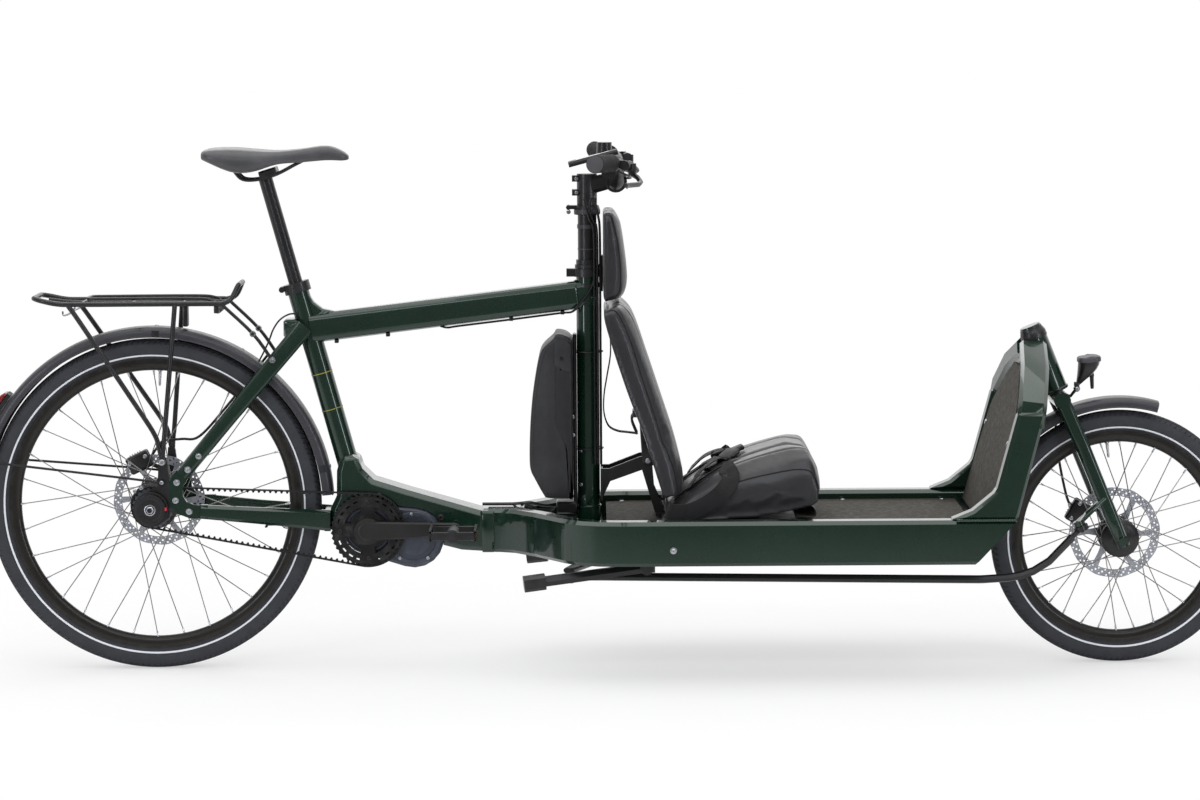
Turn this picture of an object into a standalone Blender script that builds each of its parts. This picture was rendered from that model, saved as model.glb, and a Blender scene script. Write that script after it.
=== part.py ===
"""Front-loader cargo bike: a load bed between the rider and a small front wheel.

+X points forward, +Y to the rider's left and +Z up. The origin lies on the ground under the rear
axle, at the middle of the flat on which the rear tyre stands. All sizes are metres and radians.
"""

import math

import bmesh
import bpy
from mathutils import Matrix, Vector

# Fits
GAP = 0.0003
WELD = 0.00001
SMOOTH_ANGLE = math.radians(35)

# Wheels
WHEELBASE = 1.887
WHEEL_STEPS = 36
REAR_TYRE_RADIUS = 0.3265
FRONT_TYRE_RADIUS = 0.250
TYRE_DEPTH = 0.0403
TYRE_WIDTH = 0.047
TREAD_WIDTH = 0.018
RIM_DEPTH = 0.0235
RIM_WIDTH = 0.0235
SPOKES = 32
SPOKE_RADIUS = 0.0011
AXLE_RADIUS = 0.005
ROTOR_RADIUS = 0.090
ROTOR_THICKNESS = 0.002
REAR_ROTOR_Y = 0.052
FRONT_ROTOR_Y = 0.040
REAR_DROPOUT_Y = 0.0675

# Drive
CRANK_X = 0.4185
CRANK_Z = 0.278
CRANK_LENGTH = 0.170
CRANK_ANGLE = math.radians(1.7)
CRANK_AXLE_RADIUS = 0.0095
CRANK_INNER_Y = 0.062
CRANK_OUTER_Y = 0.075
PEDAL_WIDTH = 0.085
PEDAL_LENGTH = 0.091
PEDAL_HEIGHT = 0.028
RING_TEETH = 42
SPROCKET_TEETH = 24
BELT_PITCH = 0.011
BELT_WIDTH = 0.011
BELT_THICKNESS = 0.0025
BELT_Y = 0.052
MOTOR_X = 0.507
MOTOR_Z = 0.260
MOTOR_RADIUS = 0.059
MOTOR_HALF_WIDTH = 0.0445

# Main frame
SEAT_TUBE_TOP_X = 0.283
SEAT_TUBE_TOP_Z = 0.750
SEAT_TUBE_LEAN = math.radians(15.3)
SEAT_TUBE_RADIUS = 0.021
SEATPOST_RADIUS = 0.0136
TOP_TUBE_HEIGHT = 0.056
TOP_TUBE_WIDTH = 0.048
BEAM_HALF_WIDTH = 0.042
STEER_X = 0.849
STEER_TUBE_RADIUS = 0.022
STEER_TUBE_TOP = 0.790
COLUMN_RADIUS = 0.0165
COLUMN_BORE = 0.0185

# Load bed
BED_BOTTOM = 0.230
BED_TOP = 0.3155
BED_HALF_WIDTH = 0.230
RAIL_WIDTH = 0.040
FLOOR_BOTTOM = 0.290
FLOOR_THICKNESS = 0.008
BOARD_THICKNESS = 0.010

# Fork and steering
HEAD_LEAN = math.radians(22)
HEAD_BOTTOM_BACK = 0.125        # head tube's lower end, back from the front axle
HEAD_BOTTOM_Z = 0.538
HEAD_LENGTH = 0.116
HEAD_RADIUS = 0.025
STEERER_RADIUS = 0.0145
STEER_ARM_SIDE = 0.093
STEER_ARM_BACK = 0.035
FORK_ARM_SIDE = 0.100
FORK_ARM_BACK = 0.0605
FORK_ARM_DROP = 0.2538
ROD_RADIUS = 0.008
ROD_Z = 0.190

# Cockpit and seat
BAR_RADIUS = 0.0111
GRIP_RADIUS = 0.017
GRIP_LENGTH = 0.125

REAR_AXLE_Z = REAR_TYRE_RADIUS * math.cos(math.pi / WHEEL_STEPS)
FRONT_AXLE_Z = FRONT_TYRE_RADIUS * math.cos(math.pi / WHEEL_STEPS)
REAR_AXLE = Vector((0, 0, REAR_AXLE_Z))
FRONT_AXLE = Vector((WHEELBASE, 0, FRONT_AXLE_Z))
CRANK_AXLE = Vector((CRANK_X, 0, CRANK_Z))
HEAD_BOTTOM = Vector((WHEELBASE - HEAD_BOTTOM_BACK, 0, HEAD_BOTTOM_Z))
HEAD_AXIS = Vector((-math.sin(HEAD_LEAN), 0, math.cos(HEAD_LEAN)))
HEAD_FRONT = Vector((math.cos(HEAD_LEAN), 0, math.sin(HEAD_LEAN)))
SEAT_AXIS = Vector((-math.sin(SEAT_TUBE_LEAN), 0, math.cos(SEAT_TUBE_LEAN)))
SEAT_TUBE_TOP = Vector((SEAT_TUBE_TOP_X, 0, SEAT_TUBE_TOP_Z))
FLOOR_TOP = FLOOR_BOTTOM + FLOOR_THICKNESS
LEFT = Vector((0, 1, 0))
UP = Vector((0, 0, 1))

# Colours with roughness and metal
GREEN = ((0.016, 0.042, 0.030), 0.22, 0.3)
BLACK = ((0.018, 0.018, 0.019), 0.45, 0.0)
BLACK_METAL = ((0.030, 0.030, 0.032), 0.38, 0.6)
STEEL = ((0.55, 0.56, 0.58), 0.28, 1.0)
RUBBER = ((0.030, 0.031, 0.033), 0.80, 0.0)
LEATHER = ((0.028, 0.029, 0.032), 0.50, 0.0)
BOARD = ((0.045, 0.043, 0.040), 0.75, 0.0)


def emptied_scene():
    for old in list(bpy.data.objects):
        bpy.data.objects.remove(old, do_unlink=True)
    return bpy.context.scene


def new_group(name):
    group = bpy.data.collections.new(name)
    emptied.collection.children.link(group)
    return group


emptied = emptied_scene()
PARTS = new_group("cargo_bike")
TOOLS = new_group("cutters")


# Building blocks: each makes a plain solid that part() later turns into a sub-part
def tool(name, mesh):
    made = bpy.data.objects.new(name, mesh)
    TOOLS.objects.link(made)
    made.hide_render = True
    made.display_type = "WIRE"
    return made


def tool_from(name, bm):
    bmesh.ops.recalc_face_normals(bm, faces=bm.faces)
    mesh = bpy.data.meshes.new(name)
    bm.to_mesh(mesh)
    bm.free()
    mesh.shade_smooth()
    mesh.set_sharp_from_angle(angle=SMOOTH_ANGLE)
    return tool(name, mesh)


def baked(rough):
    """The evaluated shape of an object, welded, as a plain solid in the same place."""
    bpy.context.view_layer.update()
    graph = bpy.context.evaluated_depsgraph_get()
    mesh = bpy.data.meshes.new_from_object(rough.evaluated_get(graph))
    mesh.transform(rough.matrix_world)
    name = rough.name
    bpy.data.objects.remove(rough, do_unlink=True)
    bm = bmesh.new()
    bm.from_mesh(mesh)
    bpy.data.meshes.remove(mesh)
    bmesh.ops.remove_doubles(bm, verts=bm.verts, dist=WELD)
    return tool_from(name, bm)


def box(name, low, high, edge=0.0):
    bm = bmesh.new()
    bmesh.ops.create_cube(bm, size=1.0)
    low = Vector(low)
    high = Vector(high)
    shape = Matrix.Translation((low + high) / 2) @ Matrix.Diagonal((*(high - low), 1.0))
    bmesh.ops.transform(bm, matrix=shape, verts=bm.verts)
    if edge:
        bmesh.ops.bevel(bm, geom=bm.edges[:], offset=edge, segments=1, affect="EDGES")
    return tool_from(name, bm)


def cylinder(name, start, end, radius, sides=16, tip=None):
    """A round bar between two points, or a cone where tip gives its radius at the end."""
    start = Vector(start)
    end = Vector(end)
    way = end - start
    place = Matrix.Translation((start + end) / 2) @ way.to_track_quat("Z", "Y").to_matrix().to_4x4()
    bm = bmesh.new()
    bmesh.ops.create_cone(
        bm,
        cap_ends=True,
        segments=sides,
        radius1=radius,
        radius2=radius if tip is None else tip,
        depth=way.length,
        matrix=place,
    )
    return tool_from(name, bm)


def across(name, x, z, low, high, radius, sides=16):
    """A round bar along Y at a place in the side view."""
    return cylinder(name, (x, low, z), (x, high, z), radius, sides)


def tube(name, points, radius, sides=8):
    """A bent tube, rod or wire along the points."""
    curve = bpy.data.curves.new(name, "CURVE")
    curve.dimensions = "3D"
    curve.bevel_depth = radius
    curve.bevel_resolution = (sides - 4) // 2
    curve.use_fill_caps = True
    spline = curve.splines.new("POLY")
    spline.points.add(len(points) - 1)
    for spot, point in zip(spline.points, points):
        spot.co = (*point, 1.0)
    rough = bpy.data.objects.new(name, curve)
    TOOLS.objects.link(rough)
    return baked(rough)


def bent(points, radius, steps=3):
    """A route whose corners are turned in arcs of about the radius."""
    route = [Vector(points[0])]
    for before, corner, after in zip(points, points[1:], points[2:]):
        corner = Vector(corner)
        back = Vector(before) - corner
        ahead = Vector(after) - corner
        turn = math.pi - back.angle(ahead)
        reach = min(radius * math.tan(turn / 2), back.length * 0.45, ahead.length * 0.45)
        start = corner + back.normalized() * reach
        end = corner + ahead.normalized() * reach
        for step in range(steps + 1):
            share = step / steps
            inner = start.lerp(corner, share)
            outer = corner.lerp(end, share)
            route.append(inner.lerp(outer, share))
    route.append(Vector(points[-1]))
    return route


FACING = {
    "side": Matrix(((1, 0, 0, 0), (0, 0, -1, 0), (0, 1, 0, 0), (0, 0, 0, 1))),
    "top": Matrix.Identity(4),
    "front": Matrix(((0, 0, 1, 0), (1, 0, 0, 0), (0, 1, 0, 0), (0, 0, 0, 1))),
}


def plate(name, outlines, low, high, view="side"):
    """Flat outlines, the later ones holes, as thick as from low to high across the view."""
    curve = bpy.data.curves.new(name, "CURVE")
    curve.dimensions = "2D"
    curve.fill_mode = "BOTH"
    curve.extrude = (high - low) / 2
    for outline in outlines:
        spline = curve.splines.new("POLY")
        spline.points.add(len(outline) - 1)
        for spot, (x, y) in zip(spline.points, outline):
            spot.co = (x, y, 0.0, 1.0)
        spline.use_cyclic_u = True
    rough = bpy.data.objects.new(name, curve)
    TOOLS.objects.link(rough)
    middle = {"side": (0, (low + high) / 2, 0), "top": (0, 0, (low + high) / 2)}
    shift = Vector(middle.get(view, ((low + high) / 2, 0, 0)))
    rough.matrix_world = Matrix.Translation(shift) @ FACING[view]
    return baked(rough)


def turned(name, profile, centre, axis=LEFT, steps=32, ring=True, sweep=math.tau, start=0.0):
    """A turned ring or solid: (radius, along) points swept round the axis through the centre."""
    bm = bmesh.new()
    turn = Matrix.Rotation(start, 3, "Z")
    verts = [bm.verts.new(turn @ Vector((radius, 0, along))) for radius, along in profile]
    for first, second in zip(verts, verts[1:]):
        bm.edges.new((first, second))
    if ring:
        bm.edges.new((verts[-1], verts[0]))
    mesh = bpy.data.meshes.new(name)
    bm.to_mesh(mesh)
    bm.free()
    rough = tool(name, mesh)
    screw = rough.modifiers.new("turn", "SCREW")
    screw.angle = sweep
    screw.steps = steps
    screw.render_steps = steps
    screw.use_merge_vertices = sweep == math.tau
    screw.merge_threshold = WELD
    quarter = Vector(axis).to_track_quat("Z", "Y").to_matrix().to_4x4()
    rough.matrix_world = Matrix.Translation(Vector(centre)) @ quarter
    return baked(rough)


def loft(name, rings):
    """A closed solid through rings of equal count, capped at both ends."""
    bm = bmesh.new()
    rows = [[bm.verts.new(point) for point in ring] for ring in rings]
    for row, following in zip(rows, rows[1:]):
        for index, corner in enumerate(row):
            after = (index + 1) % len(row)
            bm.faces.new((corner, row[after], following[after], following[index]))
    bm.faces.new(rows[0])
    bm.faces.new(rows[-1])
    return tool_from(name, bm)


def rounded(width, height, corner, steps=2):
    """The outline of a rectangle with round corners, about its middle."""
    points = []
    for side, rise, start in ((1, 1, 0), (-1, 1, 90), (-1, -1, 180), (1, -1, 270)):
        for step in range(steps + 1):
            angle = math.radians(start + 90 * step / steps)
            x = side * (width / 2 - corner) + corner * math.cos(angle)
            y = rise * (height / 2 - corner) + corner * math.sin(angle)
            points.append((x, y))
    return points


def beam(name, path, sizes, corner, up=UP, steps=2):
    """A tube of rounded rectangular section along a path, with its width and height at each point."""
    path = [Vector(point) for point in path]
    rings = []
    for index, (point, (width, height)) in enumerate(zip(path, sizes)):
        ahead = path[min(index + 1, len(path) - 1)]
        behind = path[max(index - 1, 0)]
        along = (ahead - behind).normalized()
        side = along.cross(up).normalized()
        top = side.cross(along)
        rings.append([point + side * x + top * y for x, y in rounded(width, height, corner, steps)])
    return loft(name, rings)


def circle_points(x, z, radius, start, end, steps):
    """Points along an arc in a flat outline, from one angle to another."""
    points = []
    for step in range(steps + 1):
        angle = start + (end - start) * step / steps
        points.append((x + radius * math.cos(angle), z + radius * math.sin(angle)))
    return points


def round_pair(first, radius, second, other, steps=14):
    """The outline of a band drawn tight round two circles."""
    across_x = second[0] - first[0]
    across_z = second[1] - first[1]
    heading = math.atan2(across_z, across_x)
    lean = math.acos((radius - other) / math.hypot(across_x, across_z))
    back = circle_points(*first, radius, heading + lean, heading + math.tau - lean, steps)
    front = circle_points(*second, other, heading - lean, heading + lean, steps)
    return back + front


def flipped(thing, name=None):
    """A mirror image of a plain solid on the other side of the bike."""
    bm = bmesh.new()
    bm.from_mesh(thing.data)
    bmesh.ops.transform(bm, matrix=Matrix.Diagonal((1, -1, 1, 1)), verts=bm.verts)
    return tool_from(name or thing.name + "_left", bm)


def finish(name, look):
    colour, roughness, metallic = look
    material = bpy.data.materials.new(name)
    material.use_nodes = True
    shader = material.node_tree.nodes["Principled BSDF"]
    shader.inputs["Base Color"].default_value = (*colour, 1.0)
    shader.inputs["Roughness"].default_value = roughness
    shader.inputs["Metallic"].default_value = metallic
    return material


def boolean(base, other, kind):
    step = base.modifiers.new(other.name, "BOOLEAN")
    step.operation = kind
    step.object = other
    step.solver = "EXACT"


def part(name, base, look, joins=(), cuts=(), pivot=(0, 0, 0), holder=None):
    """A named sub-part: its base joined to some solids and cut by others, with its origin at the pivot."""
    TOOLS.objects.unlink(base)
    PARTS.objects.link(base)
    base.name = name
    base.data.name = name
    base.hide_render = False
    base.display_type = "TEXTURED"
    for other in joins:
        boolean(base, other, "UNION")
    for other in cuts:
        boolean(base, other, "DIFFERENCE")
    pivot = Vector(pivot)
    base.data.transform(Matrix.Translation(-pivot))
    base.location = pivot
    base.data.materials.append(finish(name, look))
    if holder:
        base.parent = holder
        base.matrix_parent_inverse = Matrix.Translation(-holder.location)
    return base


def soften(thing, width, segments=2):
    """Round the sharp edges of a plain solid."""
    bevel = thing.modifiers.new("soft edges", "BEVEL")
    bevel.width = width
    bevel.segments = segments
    bevel.limit_method = "ANGLE"
    bevel.angle_limit = SMOOTH_ANGLE
    return thing


def beyond(name, point, way, size=0.16):
    """A block that fills the space past a plane through the point, looking along the way."""
    bm = bmesh.new()
    bmesh.ops.create_cube(bm, size=size)
    way = Vector(way).normalized()
    turn = way.to_track_quat("Z", "Y").to_matrix().to_4x4()
    place = Matrix.Translation(Vector(point) + way * size / 2) @ turn
    bmesh.ops.transform(bm, matrix=place, verts=bm.verts)
    return tool_from(name, bm)


def one_sheet(thing):
    """Merge the coplanar faces of a flat plate, so that its edges can be rounded."""
    bm = bmesh.new()
    bm.from_mesh(thing.data)
    bmesh.ops.dissolve_limit(bm, angle_limit=0.001, verts=bm.verts, edges=bm.edges)
    bm.to_mesh(thing.data)
    bm.free()
    return thing


def joint_empty(name, place):
    """An empty on a joint's axis, which carries the pieces that move together."""
    made = bpy.data.objects.new(name, None)
    made.location = place
    made.empty_display_size = 0.05
    PARTS.objects.link(made)
    return made


# Wheels
TYRE_SECTION = ((1.0, 0.49), (0.62, 1.0), (0.24, 0.86))
ROTOR_SEAT_RADIUS = 0.016
ROTOR_WINDOWS = 6
REAR_HUB_RADIUS = 0.045
REAR_HUB_RIGHT = -0.043
FRONT_HUB_RADIUS = 0.0365
FRONT_HUB_RIGHT = -0.0455
HUB_BOSS_LENGTH = 0.0065
HUB_BORE = AXLE_RADIUS + GAP * 1.5
AXLE_SHOULDER = 0.010
FLAT_DOWN = math.pi / WHEEL_STEPS


def tyre(name, radius, centre, holder):
    """A ring of D section with a flat tread; one of its facets lies on the ground."""
    side = [(radius - TYRE_DEPTH * depth, TYRE_WIDTH / 2 * share) for depth, share in TYRE_SECTION]
    side.append((radius, TREAD_WIDTH / 2))
    other = [(reach, -width) for reach, width in reversed(side)]
    ring = turned(name, side + other, centre, steps=WHEEL_STEPS, start=FLAT_DOWN)
    return part(name, ring, RUBBER, pivot=centre, holder=holder)


def spoke_set(name, centre, hub_radius, rim_radius, right, left):
    """Tangential spokes, each crossing three others of its side."""
    bm = bmesh.new()
    per_side = SPOKES // 2
    lead = math.tau * 3 / per_side
    for side, flange in ((0, right), (1, left)):
        for index in range(per_side):
            lean = 1 if index % 2 else -1
            hub_angle = math.tau * (index + side / 2) / per_side
            rim_angle = hub_angle + lean * lead
            head = flange + lean * SPOKE_RADIUS * 1.5
            nipple = math.copysign(RIM_WIDTH / 10, flange)
            start = Vector((math.cos(hub_angle) * hub_radius, head, math.sin(hub_angle) * hub_radius))
            end = Vector((math.cos(rim_angle) * rim_radius, nipple, math.sin(rim_angle) * rim_radius))
            way = end - start
            turn = way.to_track_quat("Z", "Y").to_matrix().to_4x4()
            bmesh.ops.create_cone(
                bm,
                cap_ends=True,
                segments=3,
                radius1=SPOKE_RADIUS,
                radius2=SPOKE_RADIUS,
                depth=way.length,
                matrix=Matrix.Translation(centre + (start + end) / 2) @ turn,
            )
    return tool_from(name, bm)


def wheel(name, tyre_radius, centre, hub_radius, right_end, rotor_y, holder):
    """Rim, spokes and hub shell with the seat for the rotor."""
    outer = tyre_radius - TYRE_DEPTH - GAP
    inner = outer - RIM_DEPTH
    half = RIM_WIDTH / 2
    section = [(outer, half), (outer, -half), (inner, -half / 2), (inner, half / 2)]
    rim = turned(name, section, centre, steps=WHEEL_STEPS, start=FLAT_DOWN)
    left_end = rotor_y - ROTOR_THICKNESS / 2 - GAP
    right_flange = right_end + 0.012
    left_flange = left_end - 0.020
    hub = turned(
        name + "_hub",
        [
            (HUB_BORE, right_end),
            (hub_radius * 0.6, right_end),
            (hub_radius, right_flange - 0.004),
            (hub_radius, left_flange + 0.004),
            (hub_radius * 0.55, left_end),
            (ROTOR_SEAT_RADIUS, left_end),
            (ROTOR_SEAT_RADIUS, left_end + HUB_BOSS_LENGTH),
            (HUB_BORE, left_end + HUB_BOSS_LENGTH),
        ],
        centre,
        steps=12,
    )
    reach = inner + RIM_DEPTH * 0.3
    spokes = spoke_set(name + "_spokes", centre, hub_radius - 0.003, reach, right_flange, left_flange)
    return part(name, rim, STEEL, joins=(spokes, hub), pivot=centre, holder=holder)


def rotor(name, centre, rotor_y, holder):
    """A brake disc with windows between its arms."""
    x, z = centre.x, centre.z
    outlines = [circle_points(x, z, ROTOR_RADIUS, 0, math.tau, 30)[:-1]]
    outlines.append(circle_points(x, z, ROTOR_SEAT_RADIUS + GAP * 4, 0, math.tau, 12)[:-1])
    pitch = math.tau / ROTOR_WINDOWS
    for index in range(ROTOR_WINDOWS):
        start = pitch * index
        rim = circle_points(x, z, ROTOR_RADIUS * 0.83, start + 0.12, start + pitch - 0.12, 2)
        root = circle_points(x, z, ROTOR_RADIUS * 0.38, start + pitch - 0.25, start + 0.25, 1)
        outlines.append(rim + root)
    low = rotor_y - ROTOR_THICKNESS / 2
    disc = plate(name, outlines, low, low + ROTOR_THICKNESS)
    return part(name, disc, STEEL, pivot=centre, holder=holder)


# Drive
BELT_TIP_DROP = 0.0009
RING_TIP = RING_TEETH * BELT_PITCH / math.tau - BELT_TIP_DROP
SPROCKET_TIP = SPROCKET_TEETH * BELT_PITCH / math.tau - BELT_TIP_DROP
TOOTH_HEIGHT = 0.0035
RING_SEAT_RADIUS = 0.021
BELT_STEPS = 13
MOTOR_CHAMFER = 0.006
CRANK_SHELL_RADIUS = 0.050
ARM_FLARE = 0.013
PEDAL_STANDOFF = 0.0045
SHIFTER_RADIUS = 0.030
AXLE_PLATE = 0.007
DROPOUT_THICKNESS = 0.010


def toothed(x, z, teeth, tip):
    """The outline of a belt wheel: a tip and a root for each tooth."""
    points = []
    for tooth in range(teeth):
        for share, radius in ((0.0, tip - TOOTH_HEIGHT), (0.5, tip)):
            angle = math.tau * (tooth + share) / teeth
            points.append((x + radius * math.cos(angle), z + radius * math.sin(angle)))
    return points


def hugging(radius):
    """The radius at which a facetted wrap of half a turn stays outside a circle."""
    return radius / math.cos(math.pi * 1.1 / BELT_STEPS / 2)


def motor_outline(grown=0.0):
    return round_pair(
        (CRANK_X, CRANK_Z),
        CRANK_SHELL_RADIUS + grown,
        (MOTOR_X, MOTOR_Z),
        MOTOR_RADIUS + grown,
        10,
    )


def motor_housing():
    """The motor's shell, chamfered round both faces, with the bore for the crank axle."""
    flank = MOTOR_HALF_WIDTH - MOTOR_CHAMFER
    rings = []
    for y, grown in (
        (-MOTOR_HALF_WIDTH, -MOTOR_CHAMFER),
        (-flank, 0.0),
        (flank, 0.0),
        (MOTOR_HALF_WIDTH, -MOTOR_CHAMFER),
    ):
        rings.append([(x, y, z) for x, z in motor_outline(grown)])
    shell = loft("motor_shell", rings)
    bore = across("motor_bore", CRANK_X, CRANK_Z, -0.1, 0.1, CRANK_AXLE_RADIUS + GAP)
    cover = across("motor_cover", MOTOR_X, MOTOR_Z, -MOTOR_HALF_WIDTH - 0.0012, -flank, 0.034, 16)
    return part("motor_housing", shell, BLACK_METAL, joins=(cover,), cuts=(bore,))


def belt_ring(holder):
    """The toothed front ring with four windows between its arms, bored for the right crank's seat."""
    low = -BELT_Y - BELT_WIDTH / 2
    x, z = CRANK_X, CRANK_Z
    outlines = [toothed(x, z, RING_TEETH, RING_TIP)]
    outlines.append(circle_points(x, z, RING_SEAT_RADIUS + GAP * 2.5, 0, math.tau, 16)[:-1])
    window = RING_TIP - TOOTH_HEIGHT * 2.6
    for index in range(4):
        start = math.tau * index / 4
        rim_side = circle_points(x, z, window, start + 0.28, start + 1.29, 4)
        hub_side = circle_points(x, z, 0.037, start + 1.20, start + 0.37, 2)
        outlines.append(rim_side + hub_side)
    ring = plate("belt_ring", outlines, low, low + BELT_WIDTH)
    return part("belt_ring", ring, BLACK_METAL, pivot=CRANK_AXLE, holder=holder)


def belt():
    """The flat band of the belt, drawn tight round both belt wheels."""
    inner = hugging(RING_TIP + GAP)
    small = hugging(SPROCKET_TIP + GAP)
    rear = (0.0, REAR_AXLE_Z)
    front = (CRANK_X, CRANK_Z)
    outside = round_pair(rear, small + BELT_THICKNESS, front, inner + BELT_THICKNESS, BELT_STEPS)
    inside = round_pair(rear, small, front, inner, BELT_STEPS)
    band = plate("belt", [outside, inside], -BELT_Y - BELT_WIDTH / 2, -BELT_Y + BELT_WIDTH / 2)
    return part("belt", band, RUBBER)


def rear_sprocket(holder):
    """The rear belt wheel with its boss, which runs on the axle between the hub and the dropout."""
    low = -BELT_Y - BELT_WIDTH / 2
    wheel_plate = plate("sprocket_teeth", [toothed(0, REAR_AXLE_Z, SPROCKET_TEETH, SPROCKET_TIP)],
                        low, low + BELT_WIDTH)
    boss = across("sprocket_boss", 0, REAR_AXLE_Z, low - 0.006, REAR_HUB_RIGHT - GAP, 0.018, 12)
    bore = across("sprocket_bore", 0, REAR_AXLE_Z, -0.1, 0, HUB_BORE, 12)
    return part("rear_sprocket", wheel_plate, BLACK_METAL, joins=(boss,), cuts=(bore,),
                pivot=REAR_AXLE, holder=holder)


def rear_axle():
    """The axle with both black end plates, which bolt to the dropouts, the shift unit and the left nut."""
    x, z = 0.0, REAR_AXLE_Z
    outer = REAR_DROPOUT_Y + AXLE_PLATE
    low = -BELT_Y - BELT_WIDTH / 2 - 0.006
    boss_end = REAR_ROTOR_Y - ROTOR_THICKNESS / 2 - GAP + HUB_BOSS_LENGTH
    outline = [(-0.022, z - 0.022), (0.012, z - 0.034), (PLATE_FRONT_X, z - 0.016)]
    outline += [(PLATE_FRONT_X, z + 0.058), (0.031, z + 0.100), (0.017, z + 0.102)]
    outline += [(0.013, z + 0.045), (-0.012, z + 0.030), (-0.026, z + 0.008)]
    right_plate = plate("axle_plate", [outline], -outer, -REAR_DROPOUT_Y)
    pieces = [
        plate("left_plate", [outline], REAR_DROPOUT_Y, outer),
        across("hub_axle", x, z, -outer - 0.026, outer + 0.014, AXLE_RADIUS, 12),
        across("right_cone", x, z, -REAR_DROPOUT_Y - 0.001, low - GAP, AXLE_SHOULDER, 12),
        across("left_cone", x, z, boss_end + GAP, REAR_DROPOUT_Y + 0.001, AXLE_SHOULDER, 12),
        across("left_nut", x, z, outer - 0.001, outer + 0.009, AXLE_SHOULDER, 6),
        across("shift_unit", x, z, -outer - 0.019, -outer + 0.001, SHIFTER_RADIUS, 16),
    ]
    return part("rear_axle_shifter", right_plate, BLACK, joins=pieces, pivot=REAR_AXLE)


def crank_arm(name, side):
    """A crank arm as a tool: side is -1 on the right, where it points forward, and 1 on the left."""
    angle = CRANK_ANGLE if side < 0 else CRANK_ANGLE + math.pi
    end_x = CRANK_X + CRANK_LENGTH * math.cos(angle)
    end_z = CRANK_Z + CRANK_LENGTH * math.sin(angle)
    outline = round_pair((CRANK_X, CRANK_Z), 0.019, (end_x, end_z), 0.012, 6)
    bar = one_sheet(plate(name, [outline], *sorted((side * CRANK_INNER_Y, side * CRANK_OUTER_Y))))
    for vertex in bar.data.vertices:
        reach = math.hypot(vertex.co.x - CRANK_X, vertex.co.z - CRANK_Z) / CRANK_LENGTH
        vertex.co.y += side * ARM_FLARE * reach
    return soften(bar, 0.003, 1), Vector((end_x, side * (CRANK_OUTER_Y + ARM_FLARE), end_z))


def cranks(holder):
    """Both arms; the right one carries the axle through the motor and the seat of the belt ring."""
    face = MOTOR_HALF_WIDTH + 0.0012 + GAP
    right, right_end = crank_arm("crank_right", -1)
    seat = across("ring_seat", CRANK_X, CRANK_Z, -CRANK_INNER_Y - 0.002, -face, RING_SEAT_RADIUS, 16)
    eye = across("right_boss", CRANK_X, CRANK_Z, -CRANK_OUTER_Y - 0.0015, -CRANK_INNER_Y + 0.002, 0.026, 20)
    axle = across("crank_axle", CRANK_X, CRANK_Z, -CRANK_INNER_Y, MOTOR_HALF_WIDTH, CRANK_AXLE_RADIUS)
    part("crank_right", right, BLACK_METAL, joins=(eye, seat, axle), pivot=CRANK_AXLE, holder=holder)
    left, left_end = crank_arm("crank_left", 1)
    boss = across("left_boss", CRANK_X, CRANK_Z, MOTOR_HALF_WIDTH + GAP, CRANK_OUTER_Y + 0.0015, 0.020, 16)
    part("crank_left", left, BLACK_METAL, joins=(boss,), pivot=CRANK_AXLE, holder=holder)
    return right_end, left_end


def pedal(name, place, side):
    """A cage pedal: its frame, the bar over its spindle and the spindle's end at the crank."""
    x, start, z = place
    inner = start + side * PEDAL_STANDOFF
    outer = inner + side * PEDAL_WIDTH
    half_length = PEDAL_LENGTH / 2
    half_height = PEDAL_HEIGHT / 2
    low, high = sorted((inner, outer))
    cage = box(name, (x - half_length, low, z - half_height), (x + half_length, high, z + half_height),
               0.005)
    holes = []
    for way in (-1, 1):
        near, far = sorted((x + way * 0.013, x + way * (half_length - 0.009)))
        holes.append(box(name + "_hole", (near, low + 0.011, z - 0.05), (far, high - 0.011, z + 0.05)))
        waist_near, waist_far = sorted((x + way * 0.018, x + way * (half_length + 0.01)))
        holes.append(box(name + "_slot", (waist_near, low + 0.013, z - 0.006),
                         (waist_far, high - 0.013, z + 0.006)))
    spindle = across(name + "_spindle", x, z, *sorted((start + side * 0.0014, outer - side * 0.004)),
                     0.009, 8)
    holder = joint_empty(name + "_axis", place)
    return part(name, cage, BLACK, joins=(spindle,), cuts=holes, pivot=place, holder=holder)


# Main frame
SEAT_TUBE_LENGTH = 0.400
SEAT_TUBE_END_DROP = 0.012
SEATPOST_BORE_DEPTH = 0.300
CLAMP_RADIUS = 0.026
BEAM_REAR_X = 0.345
BEAM_FRONT_X = 0.652
TOP_TUBE_REAR_Z = 0.668
TOP_TUBE_FRONT_Z = 0.733
CROSS_TOP = 0.2757
STAY_WIDTH = 0.018
STAY_LIMIT = 0.0035
STAY_SPLIT = Vector((0.062, 0.0, 0.392))
STAY_FALL = (STAY_SPLIT - Vector((0.150, 0, 0.497))).normalized()
PLATE_FRONT_X = 0.0367


def on_seat_axis(distance):
    """A point on the seat tube's axis, measured along it from its top."""
    return SEAT_TUBE_TOP + SEAT_AXIS * distance


def seat_tube_room(name):
    """The space that the seat tube fills with its clearance, cut out of what meets it."""
    return cylinder(name, on_seat_axis(-SEAT_TUBE_LENGTH - GAP), on_seat_axis(0.03),
                    SEAT_TUBE_RADIUS + GAP, 20)


def seat_tube():
    outer = cylinder("seat_tube", on_seat_axis(-SEAT_TUBE_LENGTH), on_seat_axis(-SEAT_TUBE_END_DROP),
                     SEAT_TUBE_RADIUS, 20)
    bore = cylinder("post_bore", on_seat_axis(-SEATPOST_BORE_DEPTH), on_seat_axis(0.05),
                    SEATPOST_RADIUS + GAP, 16)
    return part("seat_tube", outer, GREEN, cuts=(bore,))


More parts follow.
